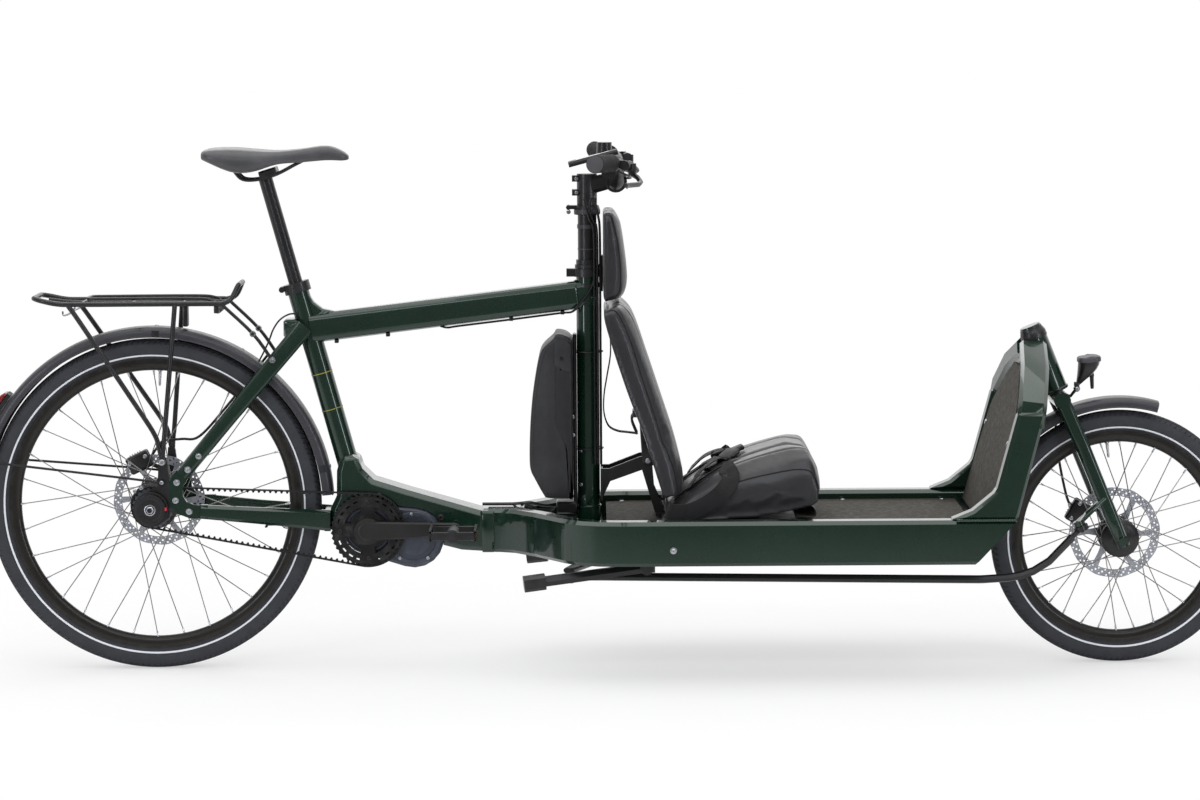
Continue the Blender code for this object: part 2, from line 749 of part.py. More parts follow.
def seat_clamp():
    """The collar on the tube's end, with its bolt lugs behind."""
    low = on_seat_axis(-SEAT_TUBE_END_DROP + GAP)
    high = on_seat_axis(0.008)
    collar = cylinder("seat_clamp", low, high, CLAMP_RADIUS, 16)
    bore = cylinder("clamp_bore", on_seat_axis(-0.05), on_seat_axis(0.05), SEATPOST_RADIUS + GAP, 16)
    middle = (low + high) / 2
    back = Vector((-CLAMP_RADIUS - 0.003, 0, -0.004))
    lug = cylinder("clamp_bolt", middle + back - LEFT * 0.011, middle + back + LEFT * 0.011, 0.006, 12)
    return part("seat_clamp", collar, BLACK_METAL, joins=(lug,), cuts=(bore,))


def top_tube():
    """The top tube with the gusset at the seat tube, coped round both upright tubes."""
    rear_x = SEAT_TUBE_TOP_X + (SEAT_TUBE_TOP_Z - TOP_TUBE_REAR_Z) * math.tan(SEAT_TUBE_LEAN)
    path = [(rear_x + 0.004, 0, TOP_TUBE_REAR_Z), (STEER_X, 0, TOP_TUBE_FRONT_Z)]
    sizes = [(TOP_TUBE_WIDTH, TOP_TUBE_HEIGHT), (STEER_TUBE_RADIUS * 2, TOP_TUBE_HEIGHT)]
    main_tube = beam("top_tube", path, sizes, 0.014)
    top = TOP_TUBE_REAR_Z + TOP_TUBE_HEIGHT / 2
    outline = [(rear_x - 0.006, top - 0.05), (rear_x - 0.014, top + 0.037), (rear_x, top + 0.041)]
    outline += [(rear_x + 0.011, top + 0.024), (rear_x + 0.028, top + 0.011), (rear_x + 0.060, top + 0.004)]
    outline.append((rear_x + 0.060, top - 0.04))
    gusset = soften(one_sheet(plate("gusset", [outline], -0.014, 0.014)), 0.004, 1)
    steer = cylinder("steer_room", (STEER_X, 0, 0.5), (STEER_X, 0, 0.9), STEER_TUBE_RADIUS + GAP, 20)
    front = Vector((SEAT_AXIS.z, 0, -SEAT_AXIS.x))
    limit = beyond("top_limit", on_seat_axis(-0.06) + front * (STAY_LIMIT + GAP), -front)
    cuts = (seat_tube_room("seat_room_top"), steer, limit)
    return part("top_tube", main_tube, GREEN, joins=(gusset,), cuts=cuts)


def steering_tube():
    """The upright tube that stands on the bed's cross member and holds the column's bearings."""
    outer = cylinder("steering_tube", (STEER_X, 0, CROSS_TOP + GAP), (STEER_X, 0, STEER_TUBE_TOP),
                     STEER_TUBE_RADIUS, 20)
    bore = cylinder("column_bore", (STEER_X, 0, 0.1), (STEER_X, 0, 0.9), COLUMN_BORE, 20)
    return part("steering_tube", outer, GREEN, cuts=(bore,))


def motor_beam():
    """The cradle over the motor, which runs forward to the bed and carries the seat tube."""
    outline = [
        (BEAM_REAR_X, 0.268),
        (BEAM_REAR_X, 0.318),
        (0.357, 0.343),
        (0.358, 0.392),
        (0.366, 0.420),
        (0.398, 0.424),
        (0.408, 0.396),
        (0.430, 0.374),
        (0.500, 0.352),
        (0.637, 0.3125),
        (BEAM_FRONT_X, 0.3115),
        (BEAM_FRONT_X, BED_BOTTOM + 0.001),
        (0.600, 0.2345),
        (0.560, 0.245),
        (0.507, 0.262),
        (0.420, 0.262),
    ]
    body = soften(one_sheet(plate("motor_beam", [outline], -BEAM_HALF_WIDTH, BEAM_HALF_WIDTH)), 0.009, 1)
    room = plate("motor_room", [motor_outline(GAP)], -0.1, 0.1)
    return part("motor_beam", body, GREEN, cuts=(room, seat_tube_room("seat_room_beam")))


def stay_path(side):
    return [
        STAY_SPLIT + STAY_FALL * 0.003 + LEFT * side * (REAR_DROPOUT_Y + DROPOUT_THICKNESS / 2),
        Vector((0.150, side * 0.056, 0.497)),
        Vector((0.235, side * 0.043, 0.597)),
        Vector((0.300, side * 0.024, 0.674)),
    ]


def seatstays():
    """Both upper stays, joined by the bridge behind the seat tube."""
    lean = Vector((0, 1, 0))
    sizes = [(0.027, STAY_WIDTH), (0.029, STAY_WIDTH), (0.033, STAY_WIDTH), (0.036, STAY_WIDTH)]
    right = beam("seatstays", stay_path(-1), sizes, 0.006, up=lean, steps=1)
    left = beam("left_seatstay", stay_path(1), sizes, 0.006, up=lean, steps=1)
    bridge = box("stay_bridge", (0.258, -0.030, 0.652), (0.286, 0.030, 0.688), 0.004)
    front = Vector((SEAT_AXIS.z, 0, -SEAT_AXIS.x))
    limit = beyond("stay_limit", on_seat_axis(-0.06) + front * STAY_LIMIT, front)
    foot = beyond("stay_foot", STAY_SPLIT, STAY_FALL)
    cuts = (seat_tube_room("seat_room_stays"), limit, foot)
    return part("seatstays", right, GREEN, joins=(left, bridge), cuts=cuts)


def chainstays():
    """Both lower stays with their yoke at the beam and the dropouts that end at the belt's split."""
    end = BEAM_REAR_X - GAP
    sizes = [(STAY_WIDTH, 0.042), (STAY_WIDTH, 0.038), (STAY_WIDTH, 0.032), (STAY_WIDTH, 0.027)]
    across_stay = Vector((STAY_FALL.z, 0, -STAY_FALL.x)) * 0.0135
    seat = STAY_SPLIT + STAY_FALL * GAP
    outline = [
        (PLATE_FRONT_X + GAP, 0.330),
        (PLATE_FRONT_X + GAP, 0.378),
        (0.041, 0.389),
        (seat.x + across_stay.x, seat.z + across_stay.z),
        (seat.x - across_stay.x, seat.z - across_stay.z),
        (0.0625, 0.368),
        (0.0625, 0.350),
        (0.070, 0.338),
        (0.086, 0.3325),
        (0.110, 0.3325),
        (0.110, 0.306),
        (0.076, 0.306),
        (0.050, 0.316),
    ]
    pieces = []
    for side in (-1, 1):
        path = [(end + 0.002, side * 0.033, 0.294), (0.300, side * 0.041, 0.299),
                (0.200, side * 0.052, 0.308),
                (0.095, side * (REAR_DROPOUT_Y + DROPOUT_THICKNESS / 2), 0.319)]
        pieces.append(beam("chainstay", path, sizes, 0.006, steps=1))
        inner, outer = sorted((side * REAR_DROPOUT_Y, side * (REAR_DROPOUT_Y + DROPOUT_THICKNESS)))
        pieces.append(plate("dropout", [outline], inner, outer))
    yoke = box("stay_yoke", (end - 0.012, -0.040, 0.274), (end, 0.040, 0.313))
    limit = beyond("yoke_limit", (end, 0, 0.29), (1, 0, 0))
    return part("chainstays", pieces[0], GREEN, joins=(*pieces[1:], yoke), cuts=(limit,))


def front_x(back):
    """A place in the front of the bike, given by its distance behind the front axle."""
    return WHEELBASE - back


ARM_FLARE_PATH = ((0.0, 0.021), (0.050, 0.024), (0.108, 0.090), (0.165, 0.172), (0.205, 0.205))
RAIL_END_BACK = 0.224
RAIL_BEVEL_BACK = 0.304
STAND_X = 0.960
STAND_Z = 0.2165
STAND_TUBE_RADIUS = 0.0105
STAND_LUG_Y = 0.118


def bed_frame():
    """Both side rails with the arms that draw them together behind the steering tube, and cross members."""
    middle = (BED_BOTTOM + BED_TOP) / 2
    height = BED_TOP - BED_BOTTOM
    rail_y = BED_HALF_WIDTH - RAIL_WIDTH / 2
    start = BEAM_FRONT_X + GAP
    pieces = []
    for side in (-1, 1):
        corners = [(start - 0.002 + along, side * out, middle) for along, out in ARM_FLARE_PATH]
        corners += [(0.915, side * rail_y, middle), (front_x(RAIL_END_BACK), side * rail_y, middle)]
        path = bent(corners, 0.05, 1)
        sizes = [(RAIL_WIDTH, height)] * len(path)
        pieces.append(beam("bed_side", path, sizes, 0.007, steps=1))
    pieces.append(box("nose", (start, -0.030, BED_BOTTOM), (start + 0.07, 0.030, BED_TOP)))
    inside = BED_HALF_WIDTH - RAIL_WIDTH + 0.008
    pieces.append(box("steer_member", (STEER_X - 0.034, -inside, BED_BOTTOM + 0.003),
                      (STEER_X + 0.026, inside, CROSS_TOP)))
    for x in (0.900, STAND_X, 1.250, front_x(0.337)):
        pieces.append(box("floor_member", (x - 0.015, -inside, 0.252),
                          (x + 0.015, inside, FLOOR_BOTTOM - GAP)))
    for side in (-1, 1):
        low, high = sorted((side * STAND_LUG_Y, side * (STAND_LUG_Y + 0.012)))
        pieces.append(box("stand_lug", (STAND_X - 0.016, low, STAND_Z - 0.0135),
                          (STAND_X + 0.016, high, 0.262)))
    column = cylinder("column_room", (STEER_X, 0, 0.1), (STEER_X, 0, 0.5), COLUMN_BORE, 20)
    pin = across("stand_room", STAND_X, STAND_Z, -0.2, 0.2, STAND_TUBE_RADIUS + GAP, 16)
    low_x = front_x(RAIL_BEVEL_BACK)
    high_x = front_x(RAIL_END_BACK)
    run = high_x - low_x
    slant = [
        (low_x - run * 0.2, BED_BOTTOM - height * 0.2),
        (high_x + run * 0.2, BED_TOP + height * 0.2),
        (high_x + run * 2, BED_TOP + height * 0.2),
        (high_x + run * 2, BED_BOTTOM - height * 0.2),
    ]
    bevel = plate("rail_bevel", [slant], -0.3, 0.3)
    limit = beyond("nose_limit", (start, 0, middle), (-1, 0, 0))
    return part("bed_frame", pieces[0], GREEN, joins=pieces[1:], cuts=(column, pin, bevel, limit))


ARCH_KINK_Z = 0.520
ARCH_INNER_Y = BED_HALF_WIDTH - RAIL_WIDTH


def front_arch():
    """Two legs that stand on the rails, lean together above and carry the head tube."""
    foot = BED_TOP + GAP
    outline = [
        (front_x(0.354), foot),
        (front_x(0.310), foot + 0.018),
        (front_x(0.265), foot + 0.055),
        (front_x(0.225), ARCH_KINK_Z),
        (front_x(0.172), ARCH_KINK_Z),
        (front_x(RAIL_END_BACK), foot),
    ]
    pieces = []
    for side in (-1, 1):
        low, high = sorted((side * ARCH_INNER_Y, side * BED_HALF_WIDTH))
        pieces.append(soften(one_sheet(plate("arch_leg", [outline], low, high)), 0.006, 1))
        path = [
            (front_x(0.202), side * (BED_HALF_WIDTH - 0.020), ARCH_KINK_Z - 0.030),
            (front_x(0.196), side * (BED_HALF_WIDTH - 0.026), ARCH_KINK_Z + 0.006),
            (front_x(0.182), side * 0.125, 0.585),
            (front_x(0.172), side * 0.020, 0.621),
        ]
        sizes = [(0.040, 0.054), (0.040, 0.054), (0.038, 0.054), (0.036, 0.052)]
        pieces.append(beam("arch_top", path, sizes, 0.007, up=Vector((1, 0, 0.001)), steps=1))
    head = cylinder("head_tube", HEAD_BOTTOM, HEAD_BOTTOM + HEAD_AXIS * HEAD_LENGTH, HEAD_RADIUS, 20)
    bore = cylinder("head_bore", HEAD_BOTTOM - HEAD_AXIS * 0.05, HEAD_BOTTOM + HEAD_AXIS * 0.2,
                    STEERER_RADIUS + GAP * 3, 16)
    return part("front_arch", head, GREEN, joins=pieces, cuts=(bore,))


def floor_board():
    """The floor of the bed, on the cross members and between the rails."""
    half = ARCH_INNER_Y - GAP
    rear = STEER_X + STEER_TUBE_RADIUS + 0.012
    front = front_x(0.300)
    outline = [(rear, 0.014 - half), (rear + 0.050, -half), (front, -half)]
    outline += [(front, half), (rear + 0.050, half), (rear, half - 0.014)]
    return part("floor_board", plate("floor_board", [outline], FLOOR_BOTTOM, FLOOR_TOP, "top"), BOARD)


PANEL_FOOT_BACK = 0.285
PANEL_TOP_BACK = 0.200


def front_panel():
    """The sloping board in the arch, narrowed above where the legs lean together."""
    half = ARCH_INNER_Y - GAP
    foot = Vector((front_x(PANEL_FOOT_BACK), 0, FLOOR_TOP + GAP))
    head = Vector((front_x(PANEL_TOP_BACK), 0, 0.590))
    rise = (head - foot).normalized()
    normal = Vector((rise.z, 0, -rise.x)) * BOARD_THICKNESS
    rows = []
    for share, width in ((0.0, half), (0.62, half), (0.70, half - 0.012), (0.82, 0.135), (1.0, 0.045)):
        rows.append((foot.lerp(head, share), width))
    front = [point + LEFT * width for point, width in rows]
    front += [point - LEFT * width for point, width in reversed(rows)]
    panel = loft("front_panel", [front, [point + normal for point in front]])
    return part("front_panel", panel, BOARD)


# Fork and steering
FORK_PIVOT = (
    HEAD_BOTTOM
    - HEAD_AXIS * FORK_ARM_DROP
    - HEAD_FRONT * FORK_ARM_BACK
    - LEFT * FORK_ARM_SIDE
)
COLUMN_PIVOT = Vector((STEER_X - STEER_ARM_BACK, -STEER_ARM_SIDE, ROD_Z))
STUD_RADIUS = 0.0035
EYE_RADIUS = 0.0145
EYE_PLAY = 0.0045
EYE_HALF_THICKNESS = 0.005
ARM_LIFT = 0.0006
COLUMN_BOTTOM = 0.1985
TELESCOPE_TOP = 0.905
TELESCOPE_RADIUS = 0.0182
INNER_TUBE_RADIUS = 0.0140
BAR_X = 0.905
BAR_Z = 0.952
BAR_CENTRE_RADIUS = 0.0159
CALIPER_HALF_SLOT = 0.0016


def fork():
    """Crown, steerer with its top cap, legs, front axle and the steering arm on the right leg."""
    crown_middle = HEAD_BOTTOM - HEAD_AXIS * 0.0145
    crown_path = [crown_middle - LEFT * 0.064, crown_middle, crown_middle + LEFT * 0.064]
    crown = beam("fork", crown_path, [(0.032, 0.028)] * 3, 0.008, up=HEAD_AXIS, steps=1)
    steerer = cylinder("steerer", crown_middle, HEAD_BOTTOM + HEAD_AXIS * (HEAD_LENGTH + 0.004),
                       STEERER_RADIUS, 16)
    cap_low = HEAD_BOTTOM + HEAD_AXIS * (HEAD_LENGTH + GAP)
    cap = cylinder("top_cap", cap_low, cap_low + HEAD_AXIS * 0.020, HEAD_RADIUS, 16, tip=HEAD_RADIUS * 0.8)
    pieces = [steerer, cap]
    for side in (-1, 1):
        path = [
            crown_middle + LEFT * side * 0.053,
            Vector((front_x(0.077), side * 0.056, 0.430)),
            Vector((front_x(0.019), side * 0.0612, 0.289)),
            FRONT_AXLE + Vector((0.004, side * 0.0612, -0.012)),
        ]
        sizes = [(0.030, 0.021), (0.028, 0.021), (0.027, 0.021), (0.024, 0.020)]
        pieces.append(beam("fork_leg", path, sizes, 0.006, up=LEFT, steps=1))
        pieces.append(across("axle_nut", FRONT_AXLE.x, FRONT_AXLE.z,
                             *sorted((side * 0.060, side * 0.078)), 0.009, 6))
    axle = across("front_axle", FRONT_AXLE.x, FRONT_AXLE.z, -0.074, 0.074, AXLE_RADIUS, 8)
    hub_left = FRONT_ROTOR_Y - ROTOR_THICKNESS / 2 - GAP + HUB_BOSS_LENGTH
    right_cone = across("front_cone", FRONT_AXLE.x, FRONT_AXLE.z, -0.056, FRONT_HUB_RIGHT - GAP,
                        AXLE_SHOULDER, 8)
    left_cone = across("front_cone", FRONT_AXLE.x, FRONT_AXLE.z, hub_left + GAP, 0.056, AXLE_SHOULDER, 8)
    boss_low = FORK_PIVOT + HEAD_AXIS * (EYE_HALF_THICKNESS + ARM_LIFT)
    boss = cylinder("arm_boss", boss_low, boss_low + HEAD_AXIS * 0.010, 0.011, 12)
    stud = cylinder("arm_stud", FORK_PIVOT - HEAD_AXIS * 0.009, boss_low + HEAD_AXIS * 0.005,
                    STUD_RADIUS, 8)
    leg_side = FRONT_AXLE + Vector((-0.036, -0.0612, 0.084))
    arm_path = [boss_low + HEAD_AXIS * 0.0062, boss_low + Vector((0.014, 0.016, 0.017)), leg_side]
    arm = beam("steering_arm", arm_path, [(0.018, 0.008)] * 3, 0.002, up=HEAD_AXIS, steps=1)
    pieces += [axle, right_cone, left_cone, boss, stud, arm, *headlight_bracket()]
    pin_room = across("lamp_pin_room", HEADLIGHT_HINGE.x, HEADLIGHT_HINGE.z, -0.1, 0.1,
                      HEADLIGHT_PIN + GAP, 8)
    return part("fork", crown, GREEN, joins=pieces, cuts=(pin_room,), pivot=HEAD_BOTTOM)


def steering_column():
    """The column with its bearing bands, the outer tube of the telescope and the arm under the bed."""
    band = COLUMN_BORE - GAP
    flange = STEER_TUBE_TOP + GAP
    profile = [
        (0, COLUMN_BOTTOM),
        (COLUMN_RADIUS, COLUMN_BOTTOM),
        (COLUMN_RADIUS, CROSS_TOP + 0.006),
        (band, CROSS_TOP + 0.006),
        (band, CROSS_TOP + 0.020),
        (COLUMN_RADIUS, CROSS_TOP + 0.020),
        (COLUMN_RADIUS, STEER_TUBE_TOP - 0.020),
        (band, STEER_TUBE_TOP - 0.020),
        (band, flange),
        (STEER_TUBE_RADIUS, flange),
        (STEER_TUBE_RADIUS, flange + 0.009),
        (TELESCOPE_RADIUS, flange + 0.009),
        (TELESCOPE_RADIUS, 0.886),
        (0.025, 0.887),
        (0.025, 0.898),
        (0.0225, TELESCOPE_TOP),
        (0, TELESCOPE_TOP),
    ]
    axis_foot = (STEER_X, 0, 0)
    shaft = turned("steering_column", profile, axis_foot, axis=UP, steps=16, ring=False)
    bore = cylinder("telescope_bore", (STEER_X, 0, 0.690), (STEER_X, 0, 1.0), INNER_TUBE_RADIUS + GAP, 16)
    lever = cylinder("clamp_ear", (STEER_X - 0.036, -0.011, 0.901), (STEER_X - 0.036, 0.011, 0.901),
                     0.005, 8)
    ear = box("clamp_lug", (STEER_X - 0.038, -0.008, 0.8975), (STEER_X - 0.020, 0.008, TELESCOPE_TOP))
    arm_low = ROD_Z + 0.0085 + GAP
    tip = COLUMN_PIVOT + UP * (arm_low + 0.005 - ROD_Z)
    root = Vector((STEER_X, 0, arm_low + 0.005))
    arm = beam("column_arm", [root, tip + (tip - root).normalized() * 0.013],
               [(0.036, 0.010), (0.022, 0.010)],
               0.003, steps=1)
    stud = cylinder("column_stud", COLUMN_PIVOT - UP * 0.0125, tip, STUD_RADIUS + 0.001, 10)
    return part("steering_column", shaft, BLACK_METAL, joins=(lever, ear, arm, stud), cuts=(bore,),
                pivot=(STEER_X, 0, 0.5))


ROD_FORK_X = 0.012
ROD_PIN_RADIUS = 0.004


def rod_end():
    """The joint at the column arm: a socket on the stud with the cross pin that the rod tilts on."""
    low = COLUMN_PIVOT - UP * 0.0085
    high = COLUMN_PIVOT + UP * 0.0085
    socket = cylinder("rod_end", low, high, 0.012, 16)
    tongue = box("rod_tongue", COLUMN_PIVOT + Vector((0.004, -0.0032, -0.0065)),
                 COLUMN_PIVOT + Vector((0.034, 0.0032, 0.0065)))
    bore = cylinder("stud_room", low - UP * 0.01, high + UP * 0.01, STUD_RADIUS + 0.001 + GAP, 12)
    pin = cylinder("pin_room", COLUMN_PIVOT + Vector((0.026, -0.02, 0)),
                   COLUMN_PIVOT + Vector((0.026, 0.02, 0)),
                   ROD_PIN_RADIUS + GAP, 8)
    return part("rod_end", socket, STEEL, joins=(tongue,), cuts=(bore, pin), pivot=COLUMN_PIVOT)


def tie_rod():
    """The rod along the bed's right side, out past the wheel and up to the eye under the fork's arm."""
    hinge = COLUMN_PIVOT + Vector((0.026, 0, 0))
    eye = FORK_PIVOT
    bend_z = ROD_Z + 0.002
    corners = [
        hinge + Vector((0.018, 0, 0)),
        (front_x(0.287), -0.166, bend_z),
        (front_x(0.222), -0.168, bend_z + 0.004),
        (front_x(0.167), -0.156, bend_z + 0.020),
    ]
    back = (Vector(corners[-1]) - eye).normalized()
    corners.append(eye + back * 0.030)
    shaft = tube("tie_rod", bent(corners, 0.08, 1), ROD_RADIUS, 8)
    neck = tube("rod_neck", [eye + back * 0.011, eye + back * 0.036], 0.0046, 6)
    cheeks = []
    for side in (-1, 1):
        low, high = sorted((side * (0.0032 + GAP), side * 0.0085))
        cheeks.append(box("rod_cheek", hinge + Vector((-0.007, low, -0.0065)),
                          hinge + Vector((0.022, high, 0.0065))))
    bridge = box("rod_bridge", hinge + Vector((0.0095, -0.0085, -0.0065)),
                 hinge + Vector((0.026, 0.0085, 0.0065)))
    pin = cylinder("rod_pin", hinge - LEFT * 0.0095, hinge + LEFT * 0.0095, ROD_PIN_RADIUS, 8)
    ring = turned(
        "rod_eye",
        [
            (STUD_RADIUS + EYE_PLAY, -EYE_HALF_THICKNESS),
            (EYE_RADIUS, -EYE_HALF_THICKNESS),
            (EYE_RADIUS, EYE_HALF_THICKNESS),
            (STUD_RADIUS + EYE_PLAY, EYE_HALF_THICKNESS),
        ],
        eye,
        axis=HEAD_AXIS,
        steps=12,
    )
    room = cylinder("eye_room", eye - HEAD_AXIS * 0.02, eye + HEAD_AXIS * 0.02, STUD_RADIUS + EYE_PLAY, 12)
    return part("tie_rod", shaft, BLACK_METAL, joins=(*cheeks, bridge, pin, neck, ring), cuts=(room,),
                pivot=hinge)


# Cockpit
GRIP_END_X = 0.864
GRIP_END_Y = 0.335
GRIP_END_Z = 0.999
GRIP_DROP = 0.006               # the bar's rise out to the grip's end, from its outer bend
SHOULDER_DROP = 0.014


def bar_bend(side):
    """The bar's outer bend, inside a grip."""
    return Vector((0.905, side * 0.170, GRIP_END_Z - GRIP_DROP))


def bar_shoulder(side):
    """The bend where the bar's slope from the stem ends."""
    return Vector((0.910, side * 0.110, GRIP_END_Z - SHOULDER_DROP))


def stem():
    """The inner tube of the telescope with the stem that clamps the handlebar."""
    foot = TELESCOPE_TOP + GAP
    inner = cylinder("stem", (STEER_X, 0, 0.715), (STEER_X, 0, foot + 0.02), INNER_TUBE_RADIUS, 16)
    body = cylinder("stem_body", (STEER_X, 0, foot), (STEER_X, 0, 0.966), 0.0195, 20)
    arm = beam("stem_arm", [(STEER_X + 0.008, 0, 0.944), (BAR_X - 0.012, 0, BAR_Z)],
               [(0.034, 0.034), (0.036, 0.030)],
               0.007, steps=1)
    clamp = across("bar_clamp", BAR_X, BAR_Z, -0.0255, 0.0255, BAR_CENTRE_RADIUS + 0.006, 20)
    room = across("bar_room", BAR_X, BAR_Z, -0.05, 0.05, BAR_CENTRE_RADIUS + GAP, 24)
    pieces = [body, arm, clamp]
    for z in (0.957, 0.930):
        pieces.append(box("stem_lug", (STEER_X - 0.029, -0.010, z - 0.006),
                          (STEER_X - 0.010, 0.010, z + 0.006)))
    return part("stem", inner, BLACK_METAL, joins=pieces, cuts=(room,), pivot=(STEER_X, 0, TELESCOPE_TOP))


def bar_route():
    """The handlebar's centre line from the right end to the left end."""
    half = [
        Vector((GRIP_END_X, GRIP_END_Y, GRIP_END_Z)),
        bar_bend(1),
        bar_shoulder(1),
        Vector((BAR_X, 0.040, BAR_Z)),
    ]
    right = [Vector((point.x, -point.y, point.z)) for point in half]
    return bent(right + half[::-1], 0.06, 1)


def handlebar():
    """The bent bar, thicker in the stem's clamp, with its two grips."""
    bar = tube("handlebar", bar_route(), BAR_RADIUS, 8)
    centre = across("bar_centre", BAR_X, BAR_Z, -0.036, 0.036, BAR_CENTRE_RADIUS, 16)
    grips = []
    for side in (-1, 1):
        end = Vector((GRIP_END_X, side * GRIP_END_Y, GRIP_END_Z))
        inward = (bar_bend(side) - end).normalized()
        grips.append(cylinder("grip", end - inward * 0.004, end + inward * GRIP_LENGTH, GRIP_RADIUS, 12))
    return part("handlebar", bar, BLACK, joins=(centre, *grips))


def on_bar(share, side):
    """A place and direction on the straight run of the bar inside a grip, measured inward from its end."""
    end = Vector((GRIP_END_X, side * GRIP_END_Y, GRIP_END_Z))
    way = (bar_bend(side) - end).normalized()
    return end + way * share, way


LEVER_DROP = 0.0148
BUTTON_HALF = 0.0055


def brake_body(side, word):
    """The lever's clamp and cylinder with the switch pod under the bar."""
    middle, way = on_bar(GRIP_LENGTH + 0.014, side)
    ring = cylinder("brake_body_" + word, middle - way * 0.006, middle + way * 0.006, BAR_RADIUS + 0.004,
                    12)
    room = cylinder("body_room", middle - way * 0.1, middle + way * 0.1, BAR_RADIUS + GAP * 2, 12)
    front = middle + Vector((0.027, 0, -0.004))
    drum = cylinder("master", front - way * 0.020, front + way * 0.026, 0.0095, 10)
    neck = box("body_neck", middle + Vector((0.012, -0.006, -0.009)),
               middle + Vector((0.030, 0.006, 0.006)))
    ear = cylinder("lever_ear", front + Vector((0.010, -side * 0.004, -LEVER_DROP + 0.0045)),
                   front + Vector((0.010, -side * 0.004, 0.004)), 0.008, 10)
    pod_middle = middle + way * 0.011 + Vector((-0.010, 0, -0.018))
    pod = box("switch_pod", pod_middle + Vector((-0.010, -0.012, -0.008)),
              pod_middle + Vector((0.012, 0.012, 0.009)))
    pocket = box("button_room", pod_middle + Vector((-0.02, -BUTTON_HALF - GAP, -BUTTON_HALF - GAP)),
                 pod_middle + Vector((-0.001, BUTTON_HALF + GAP, BUTTON_HALF + GAP)))
    made = part("brake_body_" + word, ring, BLACK, joins=(drum, neck, ear, pod), cuts=(room, pocket))
    return made, front + Vector((0.010, -side * 0.004, -LEVER_DROP)), pod_middle


def brake_lever(side, word, pivot):
    """The lever blade from its eye under the body, out in front of the grip."""
    eye = cylinder("brake_lever_" + word, pivot - UP * 0.004, pivot + UP * (0.0045 - GAP), 0.0075, 10)
    corners = [
        pivot - UP * 0.0014,
        pivot + Vector((0.018, side * 0.022, -0.012)),
        pivot + Vector((0.012, side * 0.055, -0.018)),
        pivot + Vector((-0.014, side * 0.135, -0.016)),
    ]
    blade = tube("blade_" + word, bent(corners, 0.03, 1), 0.0048, 6)
    return part("brake_lever_" + word, eye, BLACK_METAL, joins=(blade,), pivot=pivot)


def switch_button(name, middle):
    """A push button in the pod's pocket, proud of it towards the rider."""
    place = middle + Vector((-0.0095, 0, 0))
    button = box(name, place + Vector((-0.004, -BUTTON_HALF, -BUTTON_HALF)),
                 place + Vector((0.005, BUTTON_HALF, BUTTON_HALF)),
                 0.0012)
    return part(name, button, BLACK, pivot=place)


def display():
    """The screen's housing on its arm from the bar's thick middle."""
    rear = Vector((0.814, 0, 0.984))
    front = Vector((0.909, 0, 1.009))
    slab = beam("display", [rear, rear.lerp(front, 0.5), front], [(0.060, 0.010)] * 3, 0.0035, steps=1)
    ring_y = -0.0318
    ring = across("display_ring", BAR_X, BAR_Z, ring_y - 0.0035, ring_y + 0.0035,
                  BAR_CENTRE_RADIUS + 0.004, 12)
    room = across("display_room", BAR_X, BAR_Z, -0.1, 0.1, BAR_CENTRE_RADIUS + GAP, 16)
    arm = beam("display_arm", [(BAR_X - 0.006, ring_y, BAR_Z + 0.014), (0.880, ring_y, 1.000)],
               [(0.007, 0.007)] * 2,
               0.001, up=LEFT, steps=1)
    return part("display", slab, BLACK, joins=(ring, arm), cuts=(room,))


BELL_RADIUS = 0.0155


def bell():
    """The drum bell on its stalk from the left side of the bar."""
    inner = Vector((BAR_X, 0.040, BAR_Z))
    outer = bar_shoulder(1)
    foot = inner.lerp(outer, 0.5)
    way = (outer - inner).normalized()
    ring = cylinder("bell", foot - way * 0.004, foot + way * 0.004, BAR_RADIUS + 0.004, 12)
    room = cylinder("bell_room", foot - way * 0.05, foot + way * 0.05, BAR_RADIUS + GAP * 2, 12)
    top = foot + Vector((-0.0240, -0.0030, 0.0345))
    stalk = cylinder("bell_stalk", foot + Vector((-0.006, 0, 0.011)), top + UP * 0.003, 0.004, 8)
    drum = cylinder("bell_drum", top, top + UP * 0.021, BELL_RADIUS, 12, tip=BELL_RADIUS * 0.94)
    return part("bell", ring, BLACK_METAL, joins=(stalk, drum), cuts=(room,), pivot=top)


# Saddle and luggage
RAIL_START = Vector((0.180, 0, 0.958))
RAIL_END = Vector((0.307, 0, 0.997))
SADDLE_RAIL_Y = 0.022
SADDLE_RAIL_RADIUS = 0.0035
SADDLE_STATIONS = (
    (0.105, 0.052, 1.000, 1.014),
    (0.120, 0.067, 0.993, 1.020),
    (0.165, 0.0725, 0.974, 1.021),
    (0.205, 0.064, 0.974, 1.018),
    (0.250, 0.045, 0.988, 1.015),
    (0.295, 0.031, 0.991, 1.018),
    (0.345, 0.025, 0.995, 1.024),
    (0.375, 0.019, 0.994, 1.014),
    (0.388, 0.011, 0.996, 1.004),
)


def seatpost():
    """The post down inside the seat tube, with the block that holds both saddle rails."""
    post = cylinder("seatpost", on_seat_axis(-0.160), on_seat_axis(0.222), SEATPOST_RADIUS, 16)
    way = (RAIL_END - RAIL_START).normalized()
    middle = RAIL_START + way * 0.054 - Vector((-way.z, 0, way.x)) * 0.003
    head = beam("post_head", [middle - way * 0.017, middle + way * 0.017], [(0.060, 0.016)] * 2, 0.003,
                steps=1)
    rooms = []
    for side in (-1, 1):
        shift = LEFT * side * SADDLE_RAIL_Y
        rooms.append(cylinder("rail_room", RAIL_START - way * 0.03 + shift, RAIL_END + shift,
                              SADDLE_RAIL_RADIUS + GAP, 8))
    return part("seatpost", post, BLACK_METAL, joins=(head,), cuts=rooms, pivot=SEAT_TUBE_TOP)


